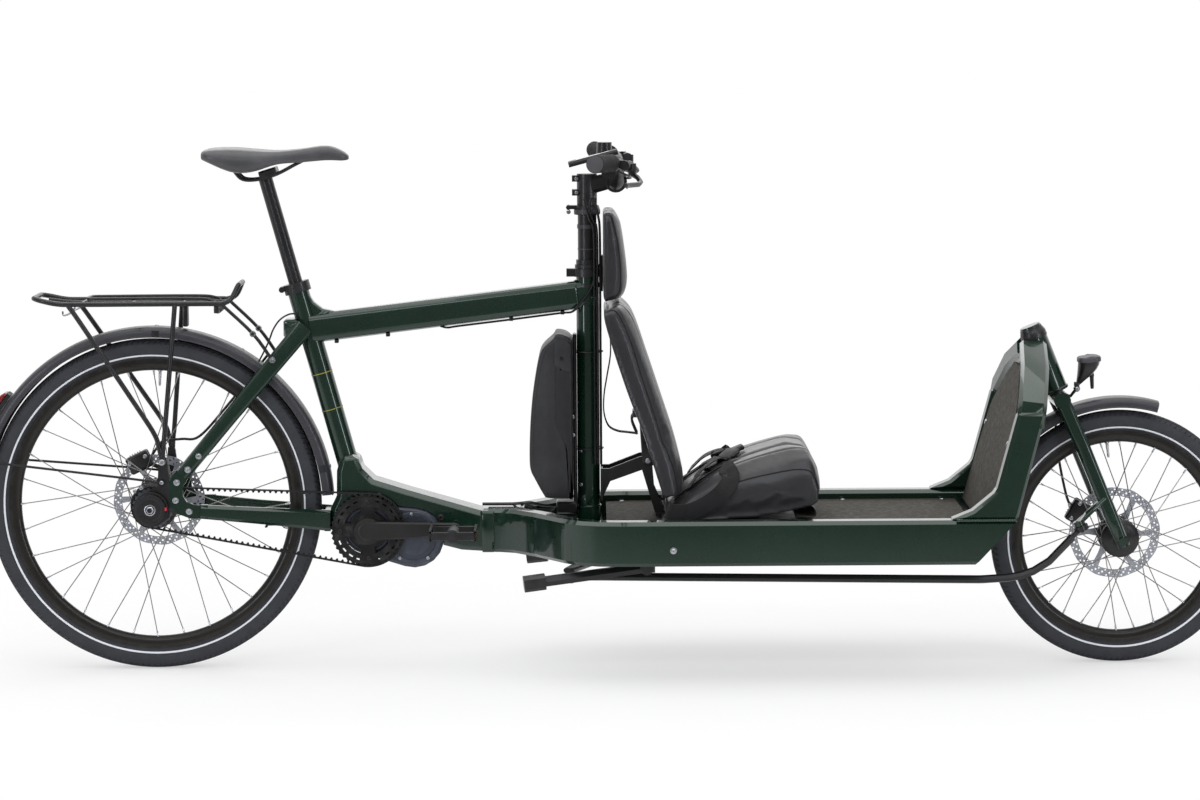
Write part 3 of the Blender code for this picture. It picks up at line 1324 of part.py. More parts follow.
def saddle():
    """The padded shell, crowned, waisted and with a shallow channel, on its two rails."""
    rings = []
    for x, half, low, high in SADDLE_STATIONS:
        height = high - low
        channel = 0.004 if 0.15 < x < 0.33 else 0.001
        right = [
            (0.55, low),
            (0.92, low + height * 0.22),
            (1.0, low + height * 0.50),
            (0.88, low + height * 0.83),
            (0.52, high - height * 0.03),
            (0.20, high),
        ]
        left = [(-share, z) for share, z in reversed(right)]
        spots = right + [(0.0, high - channel)] + left
        rings.append([(x, share * half, z) for share, z in spots])
    shell = loft("saddle", rings)
    rails = []
    for side in (-1, 1):
        shift = LEFT * side * SADDLE_RAIL_Y
        route = [
            (0.160, side * 0.024, 0.992),
            RAIL_START + shift - (RAIL_END - RAIL_START) * 0.04,
            RAIL_END + shift,
            (0.325, side * 0.010, 1.002),
        ]
        rails.append(tube("saddle_rail", route, SADDLE_RAIL_RADIUS, 8))
    return part("saddle", shell, LEATHER, joins=rails, pivot=(0.234, 0, 0.965))


RACK_Z = 0.722
RACK_HALF = 0.060
RACK_TUBE = 0.0050
RACK_WIRE = 0.0032
CLAMP_HINGE = Vector((0.132, 0.0, 0.7085))


def rack():
    """Top loop with cross bars, both pairs of legs, the bridge to the mudguard and the rods to the stays."""
    loop = []
    for side in (-1, 1):
        half = [
            Vector((0.174, side * 0.040, 0.757)),
            Vector((0.160, side * 0.052, 0.731)),
            Vector((0.143, side * RACK_HALF, RACK_Z)),
            Vector((-0.167, side * RACK_HALF, RACK_Z + 0.001)),
            Vector((-0.222, side * RACK_HALF * 0.8, RACK_Z + 0.011)),
        ]
        loop += half if side < 0 else half[::-1]
    pieces = []
    for x in (-0.130, 0.000):
        pieces.append(tube("rack_bar", [(x, -RACK_HALF, RACK_Z), (x, RACK_HALF, RACK_Z)], RACK_WIRE, 4))
    foot_y = REAR_DROPOUT_Y + AXLE_PLATE + GAP
    for side in (-1, 1):
        foot = Vector((0.024, side * (foot_y + 0.0058), REAR_AXLE_Z + 0.092))
        pieces.append(tube("rear_leg", [(-0.155, side * RACK_HALF, RACK_Z), (0.010, side * 0.0806,
                0.472), foot],
                           RACK_TUBE, 4))
        pieces.append(tube("front_leg", [(0.052, side * RACK_HALF, RACK_Z), (0.027, side * 0.0806,
                0.450), foot],
                           RACK_TUBE, 4))
        pieces.append(across("rack_foot", foot.x, foot.z,
                             *sorted((side * foot_y, side * (foot_y + 0.0105))), 0.007, 8))
        pieces.append(tube("stay_rod", [(0.142, side * RACK_HALF, RACK_Z), (0.203, side * 0.058, 0.662),
                                        (0.238, side * 0.0560, 0.612)], RACK_WIRE, 4))
        pieces.append(across("rod_eye", 0.238, 0.612, *sorted((side * 0.0528, side * 0.0585)), 0.0055, 8))
        low, high = sorted((side * 0.0455, side * RACK_HALF))
        pieces.append(box("clamp_lug", (CLAMP_HINGE.x - 0.006, low, CLAMP_HINGE.z - 0.005),
                          (CLAMP_HINGE.x + 0.006, high, RACK_Z + 0.001)))
    pieces.append(tube("bridge_bar", [(0.066, -RACK_HALF, RACK_Z), (0.066, RACK_HALF, RACK_Z)],
                       RACK_WIRE, 4))
    crown = REAR_AXLE_Z + REAR_GUARD_RADIUS + GUARD_THICKNESS + GUARD_CROWN
    pieces.append(box("guard_bridge", (0.061, -0.012, crown - GUARD_BRIDGE_DROP), (0.071, 0.012, RACK_Z)))
    base = tube("rack", loop, RACK_TUBE, 6)
    pin_room = across("clamp_room", CLAMP_HINGE.x, CLAMP_HINGE.z, -0.2, 0.2, 0.0025 + GAP, 8)
    return part("rack", base, BLACK_METAL, joins=pieces, cuts=(pin_room,))


def rack_clamp():
    """The spring clamp: a coil on its pin and the wire loop that presses down on the load."""
    coil = across("rack_clamp", CLAMP_HINGE.x, CLAMP_HINGE.z, -0.0450, 0.0450, 0.0065, 12)
    pin = across("clamp_pin", CLAMP_HINGE.x, CLAMP_HINGE.z, -0.058, 0.058, 0.0025, 8)
    top = RACK_Z + RACK_TUBE + RACK_WIRE + GAP * 4
    route = [
        CLAMP_HINGE + Vector((0.0012, -0.0352, -0.0015)),
        Vector((0.118, -0.035, top)),
        Vector((-0.116, -0.030, top)),
        Vector((-0.122, 0.0, top)),
        Vector((-0.116, 0.030, top)),
        Vector((0.118, 0.035, top)),
        CLAMP_HINGE + Vector((0.0012, 0.0352, -0.0015)),
    ]
    return part("rack_clamp", coil, BLACK_METAL, joins=(pin, tube("clamp_wire", route, RACK_WIRE, 6)),
                pivot=CLAMP_HINGE)


# Mudguards, lights and brakes
GUARD_CROWN = 0.0058
GUARD_SECTION = ((0.0, 0.0275), (GUARD_CROWN, 0.014), (GUARD_CROWN, -0.014), (0.0, -0.0275))
GUARD_THICKNESS = 0.0022
REAR_GUARD_CLEARANCE = 0.0170
FRONT_GUARD_CLEARANCE = 0.0205
REAR_GUARD_RADIUS = REAR_TYRE_RADIUS + REAR_GUARD_CLEARANCE
FRONT_GUARD_RADIUS = FRONT_TYRE_RADIUS + FRONT_GUARD_CLEARANCE
GUARD_STAY_ANGLE = math.radians(165.1)
GUARD_STAY_BEND = 0.0312
GUARD_BRIDGE_DROP = 0.0033


def arc_shell(name, centre, section, start, end, steps):
    """A section of (radius, width) points carried round part of a circle in the side view."""
    rings = []
    for step in range(steps + 1):
        angle = math.radians(start + (end - start) * step / steps)
        out = Vector((math.cos(angle), 0, math.sin(angle)))
        rings.append([centre + out * reach + LEFT * side for reach, side in section])
    return loft(name, rings)


def guard_section(radius):
    outer = [(radius + GUARD_THICKNESS + rise, side) for rise, side in GUARD_SECTION]
    inner = [(radius + rise, side * 0.97) for rise, side in reversed(GUARD_SECTION)]
    return outer + inner


def rear_mudguard():
    """The curved guard with its wire stays, which end in eyes on the axle plates."""
    shell = arc_shell("rear_mudguard", REAR_AXLE, guard_section(REAR_GUARD_RADIUS), 3, 188, 15)
    eye_y = REAR_DROPOUT_Y + AXLE_PLATE + GAP
    out = Vector((math.cos(GUARD_STAY_ANGLE), 0, math.sin(GUARD_STAY_ANGLE)))
    edge = REAR_AXLE + out * REAR_GUARD_RADIUS
    turn = REAR_AXLE + out * (REAR_GUARD_RADIUS - GUARD_STAY_BEND) + UP * 0.006
    pieces = []
    for side in (-1, 1):
        eye = Vector((0.022, side * (eye_y + 0.003), REAR_AXLE_Z + 0.052))
        route = [edge + LEFT * side * 0.0262, turn + LEFT * side * 0.036,
                 Vector((-0.040, side * 0.077, 0.385)), eye]
        pieces.append(tube("guard_stay", route, 0.0024, 4))
        pieces.append(across("stay_eye", eye.x, eye.z, *sorted((side * eye_y, side * (eye_y + 0.006))),
                             0.006, 8))
    return part("rear_mudguard", shell, BLACK, joins=pieces)


def rear_light():
    """The lamp on the back of the rear mudguard."""
    low = REAR_GUARD_RADIUS + GUARD_THICKNESS + GUARD_CROWN + GAP
    section = [(low, 0.014), (low + 0.006, 0.019), (low + 0.014, 0.017), (low + 0.019, 0.008)]
    section += [(reach, -side) for reach, side in reversed(section)]
    return part("rear_light", arc_shell("rear_light", REAR_AXLE, section, 142, 151, 3), BLACK)


def front_mudguard():
    """The guard that turns with the fork, with its bolt up to the crown."""
    shell = arc_shell("front_mudguard", FRONT_AXLE, guard_section(FRONT_GUARD_RADIUS), 74, 129, 6)
    top = HEAD_BOTTOM - HEAD_AXIS * (0.0285 + GAP)
    bolt = cylinder("guard_bolt", top, top - HEAD_AXIS * 0.012, 0.008, 8)
    return part("front_mudguard", shell, BLACK, joins=(bolt,))


HEADLIGHT_HINGE = Vector((front_x(0.083), 0.0, 0.5405))
HEADLIGHT_PIN = 0.0025


def headlight_bracket():
    """The bracket from the crown to the lamp's hinge, which the fork carries."""
    start = HEAD_BOTTOM - HEAD_AXIS * 0.016 + HEAD_FRONT * 0.012
    route = [start, start + Vector((0.013, 0, -0.002)), HEADLIGHT_HINGE]
    eye = across("lamp_eye", HEADLIGHT_HINGE.x, HEADLIGHT_HINGE.z, -0.004, 0.004, 0.0065, 8)
    return tube("lamp_bracket", route, 0.0032, 4), eye


def headlight():
    """The lamp, whose tail forks round the bracket's eye."""
    x, z = HEADLIGHT_HINGE.x, HEADLIGHT_HINGE.z
    rings = []
    for along, half, low, high in ((0.000, 0.014, 0.022, 0.046), (0.008, 0.021, 0.018, 0.058),
                                   (0.030, 0.025, 0.014, 0.0635), (0.043, 0.0265, 0.013, 0.0640),
                                   (0.046, 0.024, 0.016, 0.061)):
        middle = Vector((x + along, 0, z + (low + high) / 2))
        outline = rounded(half * 2, high - low, min(half, (high - low) / 2) * 0.55, 1)
        rings.append([middle + Vector((0, side, rise)) for side, rise in outline])
    pieces = [across("lamp_pin", x, z, -0.008, 0.008, HEADLIGHT_PIN, 8)]
    for side in (-1, 1):
        low, high = sorted((side * (0.004 + GAP), side * 0.0085))
        outline = [(x - 0.0055, z), (x, z - 0.006), (x + 0.0055, z), (x + 0.018, z + 0.026),
                   (x + 0.004, z + 0.026)]
        pieces.append(plate("lamp_ear", [outline], low, high))
    return part("headlight", loft("headlight", rings), BLACK, joins=pieces, pivot=HEADLIGHT_HINGE)


def caliper(name, axle, y, angle, bounds):
    """A brake caliper round the rotor's edge, with the slot that the rotor runs in."""
    low, high = bounds
    middle = axle + Vector((math.cos(angle), 0,
                            math.sin(angle))) * (ROTOR_RADIUS - 0.006) + LEFT * ((low + high) / 2)
    body = box(name, Vector((-0.024, low, -0.018)) - LEFT * ((low + high) / 2),
               Vector((0.024, high, 0.018)) - LEFT * ((low + high) / 2), 0.004)
    body.data.transform(Matrix.Translation(middle) @ Matrix.Rotation(math.pi / 2 - angle, 4, "Y"))
    slot = across("rotor_slot", axle.x, axle.z, y - CALIPER_HALF_SLOT, y + CALIPER_HALF_SLOT,
                  ROTOR_RADIUS + 0.002, 32)
    return body, slot


def rear_caliper():
    """The rear caliper on the left axle plate, with its hose along the left stay."""
    body, slot = caliper("rear_caliper", REAR_AXLE, REAR_ROTOR_Y, math.radians(116), (0.037, 0.0655))
    tab_outline = [(-0.045, 0.380), (-0.012, 0.390), (0.012, 0.366), (0.010, 0.346), (-0.012, 0.341),
                   (-0.028, 0.352)]
    tab = plate("caliper_tab", [tab_outline], 0.0590, REAR_DROPOUT_Y - GAP)
    hose = tube("rear_hose", bent([(-0.020, 0.058, 0.404), (0.012, 0.0595, 0.442), (0.045, 0.0660, 0.444),
                                   (0.080, 0.0690, 0.449), (0.136, 0.0560, 0.5095), (0.219, 0.0440,
                                           0.611)], 0.02, 1),
                0.0026, 4)
    return part("rear_caliper", body, BLACK_METAL, joins=(tab, hose), cuts=(slot,))


def front_caliper():
    """The front caliper inside the fork's left leg, with its hose up the leg."""
    body, slot = caliper("front_caliper", FRONT_AXLE, FRONT_ROTOR_Y, math.radians(150), (0.0315, 0.0500))
    hose = tube("front_hose", bent([(front_x(0.086), 0.044, 0.300), (front_x(0.097), 0.040, 0.330),
                                    (front_x(0.112), 0.040, 0.405), (front_x(0.120), 0.040,
                                            0.492)], 0.03, 1),
                0.0026, 4)
    return part("front_caliper", body, BLACK_METAL, joins=(hose,), cuts=(slot,))


# Battery and stand
BATTERY_HALF = 0.0625
RAIL_BACK_X = STEER_X - STEER_TUBE_RADIUS - GAP
RAIL_FACE_X = RAIL_BACK_X - 0.0075


def battery():
    """The battery case, chamfered, its back sloping down to the widest place."""
    face = RAIL_FACE_X - GAP
    outline = [(face - 0.032, 0.650), (face, 0.642), (face, 0.335), (face - 0.018, 0.3285),
               (face - 0.060, 0.340)]
    outline += [(face - 0.084, 0.452), (face - 0.080, 0.480)]
    case = soften(one_sheet(plate("battery", [outline], -BATTERY_HALF, BATTERY_HALF)), 0.009, 1)
    return part("battery", case, BLACK, pivot=(face, 0, 0.49))


def battery_mount():
    """The rail on the steering tube, the shoe under the battery and the lead's plug."""
    rail = box("battery_mount", (RAIL_FACE_X, -0.020, 0.318), (RAIL_BACK_X, 0.020, 0.655), 0.002)
    shoe = box("battery_shoe", (RAIL_FACE_X - 0.034, -0.028, 0.3035), (RAIL_BACK_X, 0.028, 0.3265), 0.003)
    pieces = [shoe]
    for z in (0.494, 0.458):
        pieces.append(box("rail_pad", (RAIL_BACK_X - 0.004, -0.024, z - 0.008),
                          (RAIL_BACK_X, 0.024, z + 0.008)))
    lead = tube("battery_lead", bent([(RAIL_FACE_X - 0.030, 0.0, 0.3150), (RAIL_FACE_X - 0.060, 0.0,
            0.3160),
                                      (RAIL_FACE_X - 0.085, 0.0, 0.3225), (0.700, 0.0, BED_TOP + 0.0045),
                                      (0.640, 0.0, BED_TOP + 0.0045)], 0.02, 1), 0.0032, 4)
    return part("battery_mount", rail, BLACK_METAL, joins=(*pieces, lead))


STAND_LEG = 0.011


def kickstand():
    """The two-legged stand: its tube in the bed's lugs, both legs and their rubber feet."""
    pivot_tube = across("kickstand", STAND_X, STAND_Z, -0.150, 0.150, STAND_TUBE_RADIUS, 12)
    pieces = []
    for side in (-1, 1):
        hip = Vector((STAND_X, side * 0.147, STAND_Z))
        foot = Vector((0.745, side * 0.170, 0.1915))
        pieces.append(tube("stand_leg", [hip, foot], STAND_LEG, 6))
        way = (foot - hip).normalized()
        pieces.append(beam("stand_foot", [foot - way * 0.020, foot + way * 0.022], [(0.028, 0.030)] * 2,
                           0.006, steps=1))
        pieces.append(across("stand_hip", STAND_X, STAND_Z, *sorted((side * 0.1345, side * 0.160)),
                             0.0135, 12))
    return part("kickstand", pivot_tube, BLACK_METAL, joins=pieces, pivot=(STAND_X, 0, STAND_Z))


# Child seat, placed from the steering tube and the floor
PAD_SHARES = (-1.0, -0.93, -0.72, -0.40, -0.345, -0.29, 0.29, 0.345, 0.40, 0.72, 0.93, 1.0)
PAD_FULLNESS = (0.52, 0.82, 0.97, 0.99, 0.86, 1.0, 1.0, 0.86, 0.99, 0.97, 0.82, 0.52)


def seat_at(x, z):
    """A place given forward of the steering tube's axis and above the floor."""
    return Vector((STEER_X + x, 0, FLOOR_TOP + z))


def pad(name, pairs, half):
    """A crowned cushion: (under, over) points along it, thinner to its sides and in two sewn channels."""
    rings = []
    for share, fullness in zip(PAD_SHARES, PAD_FULLNESS):
        under = []
        over = []
        for low, high in pairs:
            under.append(low + LEFT * half * share)
            over.append(low.lerp(high, fullness) + LEFT * half * share)
        rings.append(under + over[::-1])
    return loft(name, rings)


SEAT_BASE_THICKNESS = 0.008
SEAT_HALF = 0.160
STRAP_Y = 0.080
STRAP_WIDTH = 0.025
STRAP_THICKNESS = 0.0032
BACK_HINGE = seat_at(0.116, 0.110)
BACK_PIN = 0.0045
SEAT_PAIRS = (
    ((0.149, 0.012), (0.150, 0.034)),
    ((0.165, 0.0085), (0.172, 0.042)),
    ((0.205, 0.0085), (0.211, 0.068)),
    ((0.262, 0.010), (0.252, 0.096)),
    ((0.320, 0.014), (0.310, 0.119)),
    ((0.372, 0.022), (0.372, 0.138)),
    ((0.405, 0.030), (0.402, 0.146)),
    ((0.430, 0.036), (0.424, 0.140)),
    ((0.438, 0.044), (0.446, 0.076)),
)


def seat_frame():
    """The base plate on the floor, both links up to the back's hinge, their plate at the steering tube."""
    low = GAP
    base = plate("seat_frame", [[(seat_at(0.141, 0).x, -0.130), (seat_at(0.401, 0).x, -0.130),
                                 (seat_at(0.401, 0).x, 0.130), (seat_at(0.141, 0).x, 0.130)]],
                 FLOOR_TOP + low, FLOOR_TOP + SEAT_BASE_THICKNESS, "top")
    pieces = []
    for side in (-1, 1):
        inner, outer = sorted((side * 0.0280, side * 0.0340))
        outline = [seat_at(0.0235, 0.030), seat_at(0.0235, 0.095), seat_at(0.040, 0.095),
                   seat_at(0.100, 0.118),
                   seat_at(0.114, 0.119), seat_at(0.1235, 0.110), seat_at(0.128, 0.055), seat_at(0.150,
                           0.006),
                   seat_at(0.130, 0.004),
                   seat_at(0.104, 0.092), seat_at(0.042, 0.070)]
        pieces.append(plate("seat_link", [[(spot.x, spot.z) for spot in outline]], inner, outer))
        flange = sorted((side * 0.0270, side * 0.0500))
        pieces.append(box("link_flange", (seat_at(0.130, 0).x, flange[0], FLOOR_TOP + 0.003),
                          (seat_at(0.165, 0).x, flange[1], FLOOR_TOP + SEAT_BASE_THICKNESS)))
    pieces.append(box("link_plate", (seat_at(0.0230, 0).x, -0.036, FLOOR_TOP + 0.033),
                      (seat_at(0.0275, 0).x, 0.036, FLOOR_TOP + 0.092)))
    room = across("hinge_room", BACK_HINGE.x, BACK_HINGE.z, -0.1, 0.1, BACK_PIN + GAP, 12)
    return part("seat_frame", base, BLACK_METAL, joins=pieces, cuts=(room,))


def seat_cushion():
    pairs = [(seat_at(*low), seat_at(*high)) for low, high in SEAT_PAIRS]
    return part("seat_cushion", pad("seat_cushion", pairs, SEAT_HALF), LEATHER)


BACK_PAIRS = (
    ((0.034, 0.401), (0.042, 0.4135)),
    ((0.036, 0.386), (0.068, 0.4280)),
    ((0.052, 0.330), (0.090, 0.392)),
    ((0.078, 0.250), (0.112, 0.326)),
    ((0.105, 0.178), (0.138, 0.246)),
    ((0.126, 0.110), (0.163, 0.168)),
    ((0.138, 0.070), (0.180, 0.100)),
    ((0.143, 0.055), (0.186, 0.062)),
)


def backrest():
    """The back pad with the ears and pin of its hinge and the release handle behind."""
    pairs = [(seat_at(*low), seat_at(*high)) for low, high in BACK_PAIRS]
    cushion = pad("backrest", pairs, 0.145)
    pieces = [across("back_pin", BACK_HINGE.x, BACK_HINGE.z, -0.040, 0.040, BACK_PIN, 8)]
    for side in (-1, 1):
        inner, outer = sorted((side * 0.0345, side * 0.0405))
        spots = [seat_at(0.106, 0.104), seat_at(0.104, 0.120), seat_at(0.098, 0.212), seat_at(0.120, 0.212),
                 seat_at(0.145, 0.120), seat_at(0.140, 0.104), seat_at(0.116, 0.100)]
        pieces.append(plate("back_ear", [[(spot.x, spot.z) for spot in spots]], inner, outer))
    pieces.append(box("handle", seat_at(0.081, 0.192) + Vector((0, -0.020, 0)),
                      seat_at(0.110, 0.208) + Vector((0, 0.020, 0)), 0.002))
    return part("backrest", cushion, LEATHER, joins=pieces, pivot=BACK_HINGE)


HEAD_PAIRS = (
    ((0.031, 0.428), (0.036, 0.426)),
    ((0.030, 0.470), (0.0745, 0.434)),
    ((0.0305, 0.520), (0.0770, 0.480)),
    ((0.0305, 0.570), (0.0690, 0.545)),
    ((0.030, 0.596), (0.0600, 0.598)),
)
BRACKET_RAIL_X = 0.8790


def headrest_bracket():
    """The collar on the steering tube with the upright rail for the head pad."""
    collar = cylinder("headrest_bracket", (STEER_X, 0, 0.7665), (STEER_X, 0, 0.7820),
                      STEER_TUBE_RADIUS + 0.0065, 24)
    room = cylinder("collar_room", (STEER_X, 0, 0.7), (STEER_X, 0, 0.9), STEER_TUBE_RADIUS + GAP, 20)
    lug = box("collar_lug", (STEER_X - 0.041, -0.009, 0.7665), (STEER_X - 0.020, 0.009, 0.7820))
    neck = box("collar_neck", (STEER_X + 0.020, -0.014, 0.7665), (BRACKET_RAIL_X - 0.002, 0.014, 0.7820))
    rail = box("head_rail", (BRACKET_RAIL_X - 0.0050, -0.012, 0.7380), (BRACKET_RAIL_X, 0.012, 0.8080))
    return part("headrest_bracket", collar, BLACK_METAL, joins=(neck, rail, lug), cuts=(room,))


def headrest():
    """The head pad, with the groove behind it that slides on the bracket's rail."""
    pairs = [(seat_at(*low), seat_at(*high)) for low, high in HEAD_PAIRS]
    cushion = pad("headrest", pairs, 0.105)
    groove = box("head_groove", (BRACKET_RAIL_X - 0.02, -0.012 - GAP, 0.60),
                 (BRACKET_RAIL_X + GAP, 0.012 + GAP, 0.93))
    return part("headrest", cushion, LEATHER, cuts=(groove,), pivot=(BRACKET_RAIL_X, 0, 0.80))


def fullness_at(share):
    """How much of its thickness a pad has at a share of its half width."""
    for near, far, start, end in zip(PAD_SHARES, PAD_SHARES[1:], PAD_FULLNESS, PAD_FULLNESS[1:]):
        if near <= share <= far:
            return start + (end - start) * (share - near) / (far - near)
    return 0.0


def harness():
    """Two straps on the seat pad, joined across by the buckle."""
    pairs = [(seat_at(*low), seat_at(*high)) for low, high in SEAT_PAIRS]
    pieces = []
    for side in (-1, 1):
        rings = []
        for index in range(1, 6):
            low, high = pairs[index]
            along = (pairs[index + 1][1] - pairs[index - 1][1]).normalized()
            out = Vector((-along.z, 0, along.x))
            edges = []
            for y in (STRAP_Y - STRAP_WIDTH / 2, STRAP_Y + STRAP_WIDTH / 2):
                on_pad = low.lerp(high, fullness_at(y / SEAT_HALF)) + LEFT * side * y
                edges.append(on_pad + out * GAP * 1.5)
            rings.append([edges[0], edges[1], edges[1] + out * STRAP_THICKNESS,
                          edges[0] + out * STRAP_THICKNESS])
        pieces.append(loft("strap", rings))
    spot = pairs[4][1]
    along = (pairs[5][1] - pairs[3][1]).normalized()
    lift = Vector((-along.z, 0, along.x)) * 0.0040
    buckle = beam("buckle", [spot - along * 0.016 + lift, spot + along * 0.016 + lift],
                  [(0.180, 0.007)] * 2, 0.002,
                  steps=1)
    return part("harness", pieces[0], BLACK, joins=(pieces[1], buckle))


def bar_cables():
    """The bundle of hose and cables from the bar down the front of the steering tube."""
    route = [(0.918, -0.120, 0.9500), (0.895, -0.085, 0.945), (0.858, -0.034, 0.915),
             (0.8680, -0.0268, 0.850)]
    route += [(0.8680, -0.0268, 0.750), (0.8680, -0.0268, 0.400)]
    return part("bar_cables", tube("bar_cables", bent(route, 0.03, 1), 0.0040, 6), RUBBER)


# Assembly
rear_spin = joint_empty("rear_wheel_axis", REAR_AXLE)
front_spin = joint_empty("front_wheel_axis", FRONT_AXLE)
crank_spin = joint_empty("crank_axis", CRANK_AXLE)

tyre("rear_tyre", REAR_TYRE_RADIUS, REAR_AXLE, rear_spin)
wheel("rear_wheel", REAR_TYRE_RADIUS, REAR_AXLE, REAR_HUB_RADIUS, REAR_HUB_RIGHT, REAR_ROTOR_Y, rear_spin)
rotor("rear_rotor", REAR_AXLE, REAR_ROTOR_Y, rear_spin)
tyre("front_tyre", FRONT_TYRE_RADIUS, FRONT_AXLE, front_spin)
wheel("front_wheel", FRONT_TYRE_RADIUS, FRONT_AXLE, FRONT_HUB_RADIUS, FRONT_HUB_RIGHT, FRONT_ROTOR_Y,
      front_spin)
rotor("front_rotor", FRONT_AXLE, FRONT_ROTOR_Y, front_spin)

motor_housing()
belt_ring(crank_spin)
belt()
rear_sprocket(rear_spin)
rear_axle()
right_end, left_end = cranks(crank_spin)
pedal("pedal_right", right_end, -1)
pedal("pedal_left", left_end, 1)

seat_tube()
seat_clamp()
top_tube()
steering_tube()
motor_beam()
seatstays()
chainstays()
bed_frame()
front_arch()
floor_board()
front_panel()

fork()
steering_column()
rod_end()
tie_rod()
stem()
handlebar()
for hand, word, button in ((-1, "right", "shift_button"), (1, "left", "assist_button")):
    body, lever_pivot, pod = brake_body(hand, word)
    brake_lever(hand, word, lever_pivot)
    switch_button(button, pod)
display()
bell()

seatpost()
saddle()
rack()
rack_clamp()
rear_mudguard()
rear_light()
front_mudguard()
headlight()
rear_caliper()
front_caliper()
battery()
battery_mount()
kickstand()
seat_frame()
seat_cushion()
backrest()
headrest_bracket()
headrest()
harness()
bar_cables()
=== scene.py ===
from math import asin, atan2, copysign, cos, exp, pi, radians, sin, tan, tanh, tau

import bmesh
import bpy
from mathutils import Matrix, Vector
from mathutils.bvhtree import BVHTree


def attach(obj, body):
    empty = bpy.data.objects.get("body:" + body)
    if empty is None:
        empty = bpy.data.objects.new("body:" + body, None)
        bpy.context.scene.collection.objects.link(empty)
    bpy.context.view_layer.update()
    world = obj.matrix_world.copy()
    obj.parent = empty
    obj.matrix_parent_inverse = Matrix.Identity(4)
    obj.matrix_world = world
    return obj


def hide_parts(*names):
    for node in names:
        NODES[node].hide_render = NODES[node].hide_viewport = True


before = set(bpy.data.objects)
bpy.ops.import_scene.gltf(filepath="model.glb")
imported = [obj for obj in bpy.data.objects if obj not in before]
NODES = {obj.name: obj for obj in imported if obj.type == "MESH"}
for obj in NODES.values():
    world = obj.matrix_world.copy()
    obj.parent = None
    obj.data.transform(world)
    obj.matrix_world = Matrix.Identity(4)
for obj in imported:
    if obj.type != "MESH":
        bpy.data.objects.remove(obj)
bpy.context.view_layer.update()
scene = bpy.context.scene

# Places of the solids, in metres: +X forward, +Y to the rider's left, +Z up
REAR = Vector((0, 0, 0.32526))
FRONT = Vector((1.887, 0, 0.24905))
CRANK = Vector((0.4185, 0, 0.278))
STEER_X = 0.849
HEAD_BOTTOM = Vector((1.762, 0, 0.538))
HEAD_AXIS = Vector((-sin(radians(22)), 0, cos(radians(22))))
SEAT_LEAN = radians(15.3)
FLOOR_TOP = 0.298
AHEAD = Vector((1, 0, 0))
LEFT = Vector((0, 1, 0))
UP = Vector((0, 0, 1))


def vec(x, y, z):
    return Vector((x, y, z))


def polar(angle, radius=1.0, y=0.0):
    """A place round an axis that runs across the bike."""
    return Vector((cos(angle) * radius, y, sin(angle) * radius))


def turns(count):
    """Angles evenly round a circle."""
    return [tau * k / count for k in range(count)]


def bulge(value, power):
    """A power that keeps the sign, which squares a circle off."""
    return copysign(abs(value) ** power, value)


def seat_at(x, z, y=0.0):
    """A place on the child seat: forward of the steering tube's axis and above the floor."""
    return Vector((STEER_X + x, y, FLOOR_TOP + z))


# Looks
def linear(*shade):
    """Linear colour from display values of 0 to 255."""
    return [((c / 255 + 0.055) / 1.055) ** 2.4 if c > 10 else c / 255 / 12.92 for c in shade]


class Graph:
    """The nodes of one material, with short calls for the textures that the looks share."""

    def __init__(self, name):
        self.material = bpy.data.materials.new(name)
        self.material.use_nodes = True
        self.nodes = self.material.node_tree.nodes
        self.links = self.material.node_tree.links
        self.shader = self.nodes["Principled BSDF"]
        self.coords = self.nodes.new("ShaderNodeTexCoord").outputs["Object"]

    def node(self, kind, inputs=(), **settings):
        made = self.nodes.new("ShaderNode" + kind)
        for key, value in settings.items():
            setattr(made, key, value)
        for key, value in dict(inputs).items():
            if isinstance(value, bpy.types.NodeSocket):
                self.links.new(value, made.inputs[key])
            else:
                made.inputs[key].default_value = value
        return made

    def noise(self, scale, detail=4.0):
        made = self.node("TexNoise", {"Vector": self.coords, "Scale": scale, "Detail": detail,
                                      "Roughness": 0.55})
        return made.outputs["Fac"]

    def cells(self, scale, feature="F1"):
        made = self.node("TexVoronoi", {"Vector": self.coords, "Scale": scale}, feature=feature)
        return made.outputs["Distance"]

    def wave(self, scale, axis="X", distortion=0.0):
        made = self.node("TexWave", {"Vector": self.coords, "Scale": scale, "Distortion": distortion},
                         bands_direction=axis)
        return made.outputs["Fac"]

    def spread(self, value, low, high, start=0.35, end=0.65):
        made = self.node("MapRange", {"Value": value, "From Min": start, "From Max": end,
                                      "To Min": low, "To Max": high})
        return made.outputs["Result"]

    def math(self, first, second, operation="MULTIPLY"):
        made = self.node("Math", {0: first, 1: second}, operation=operation)
        return made.outputs["Value"]

    def mix(self, factor, first, second):
        made = self.node("Mix", data_type="RGBA")
        for index, value in ((0, factor), (6, first), (7, second)):
            if isinstance(value, bpy.types.NodeSocket):
                self.links.new(value, made.inputs[index])
            else:
                made.inputs[index].default_value = (*value, 1.0) if index else value
        return made.outputs[2]

    def bump(self, height, depth):
        made = self.node("Bump", {"Height": height, "Strength": 1.0, "Distance": depth})
        self.links.new(made.outputs["Normal"], self.shader.inputs["Normal"])

    def set(self, **values):
        for key, value in values.items():
            socket = self.shader.inputs[key.replace("_", " ").title().replace("Ior", "IOR")]
            if isinstance(value, bpy.types.NodeSocket):
                self.links.new(value, socket)
            elif isinstance(value, (list, tuple)):
                socket.default_value = (*value, 1.0)
            else:
                socket.default_value = value


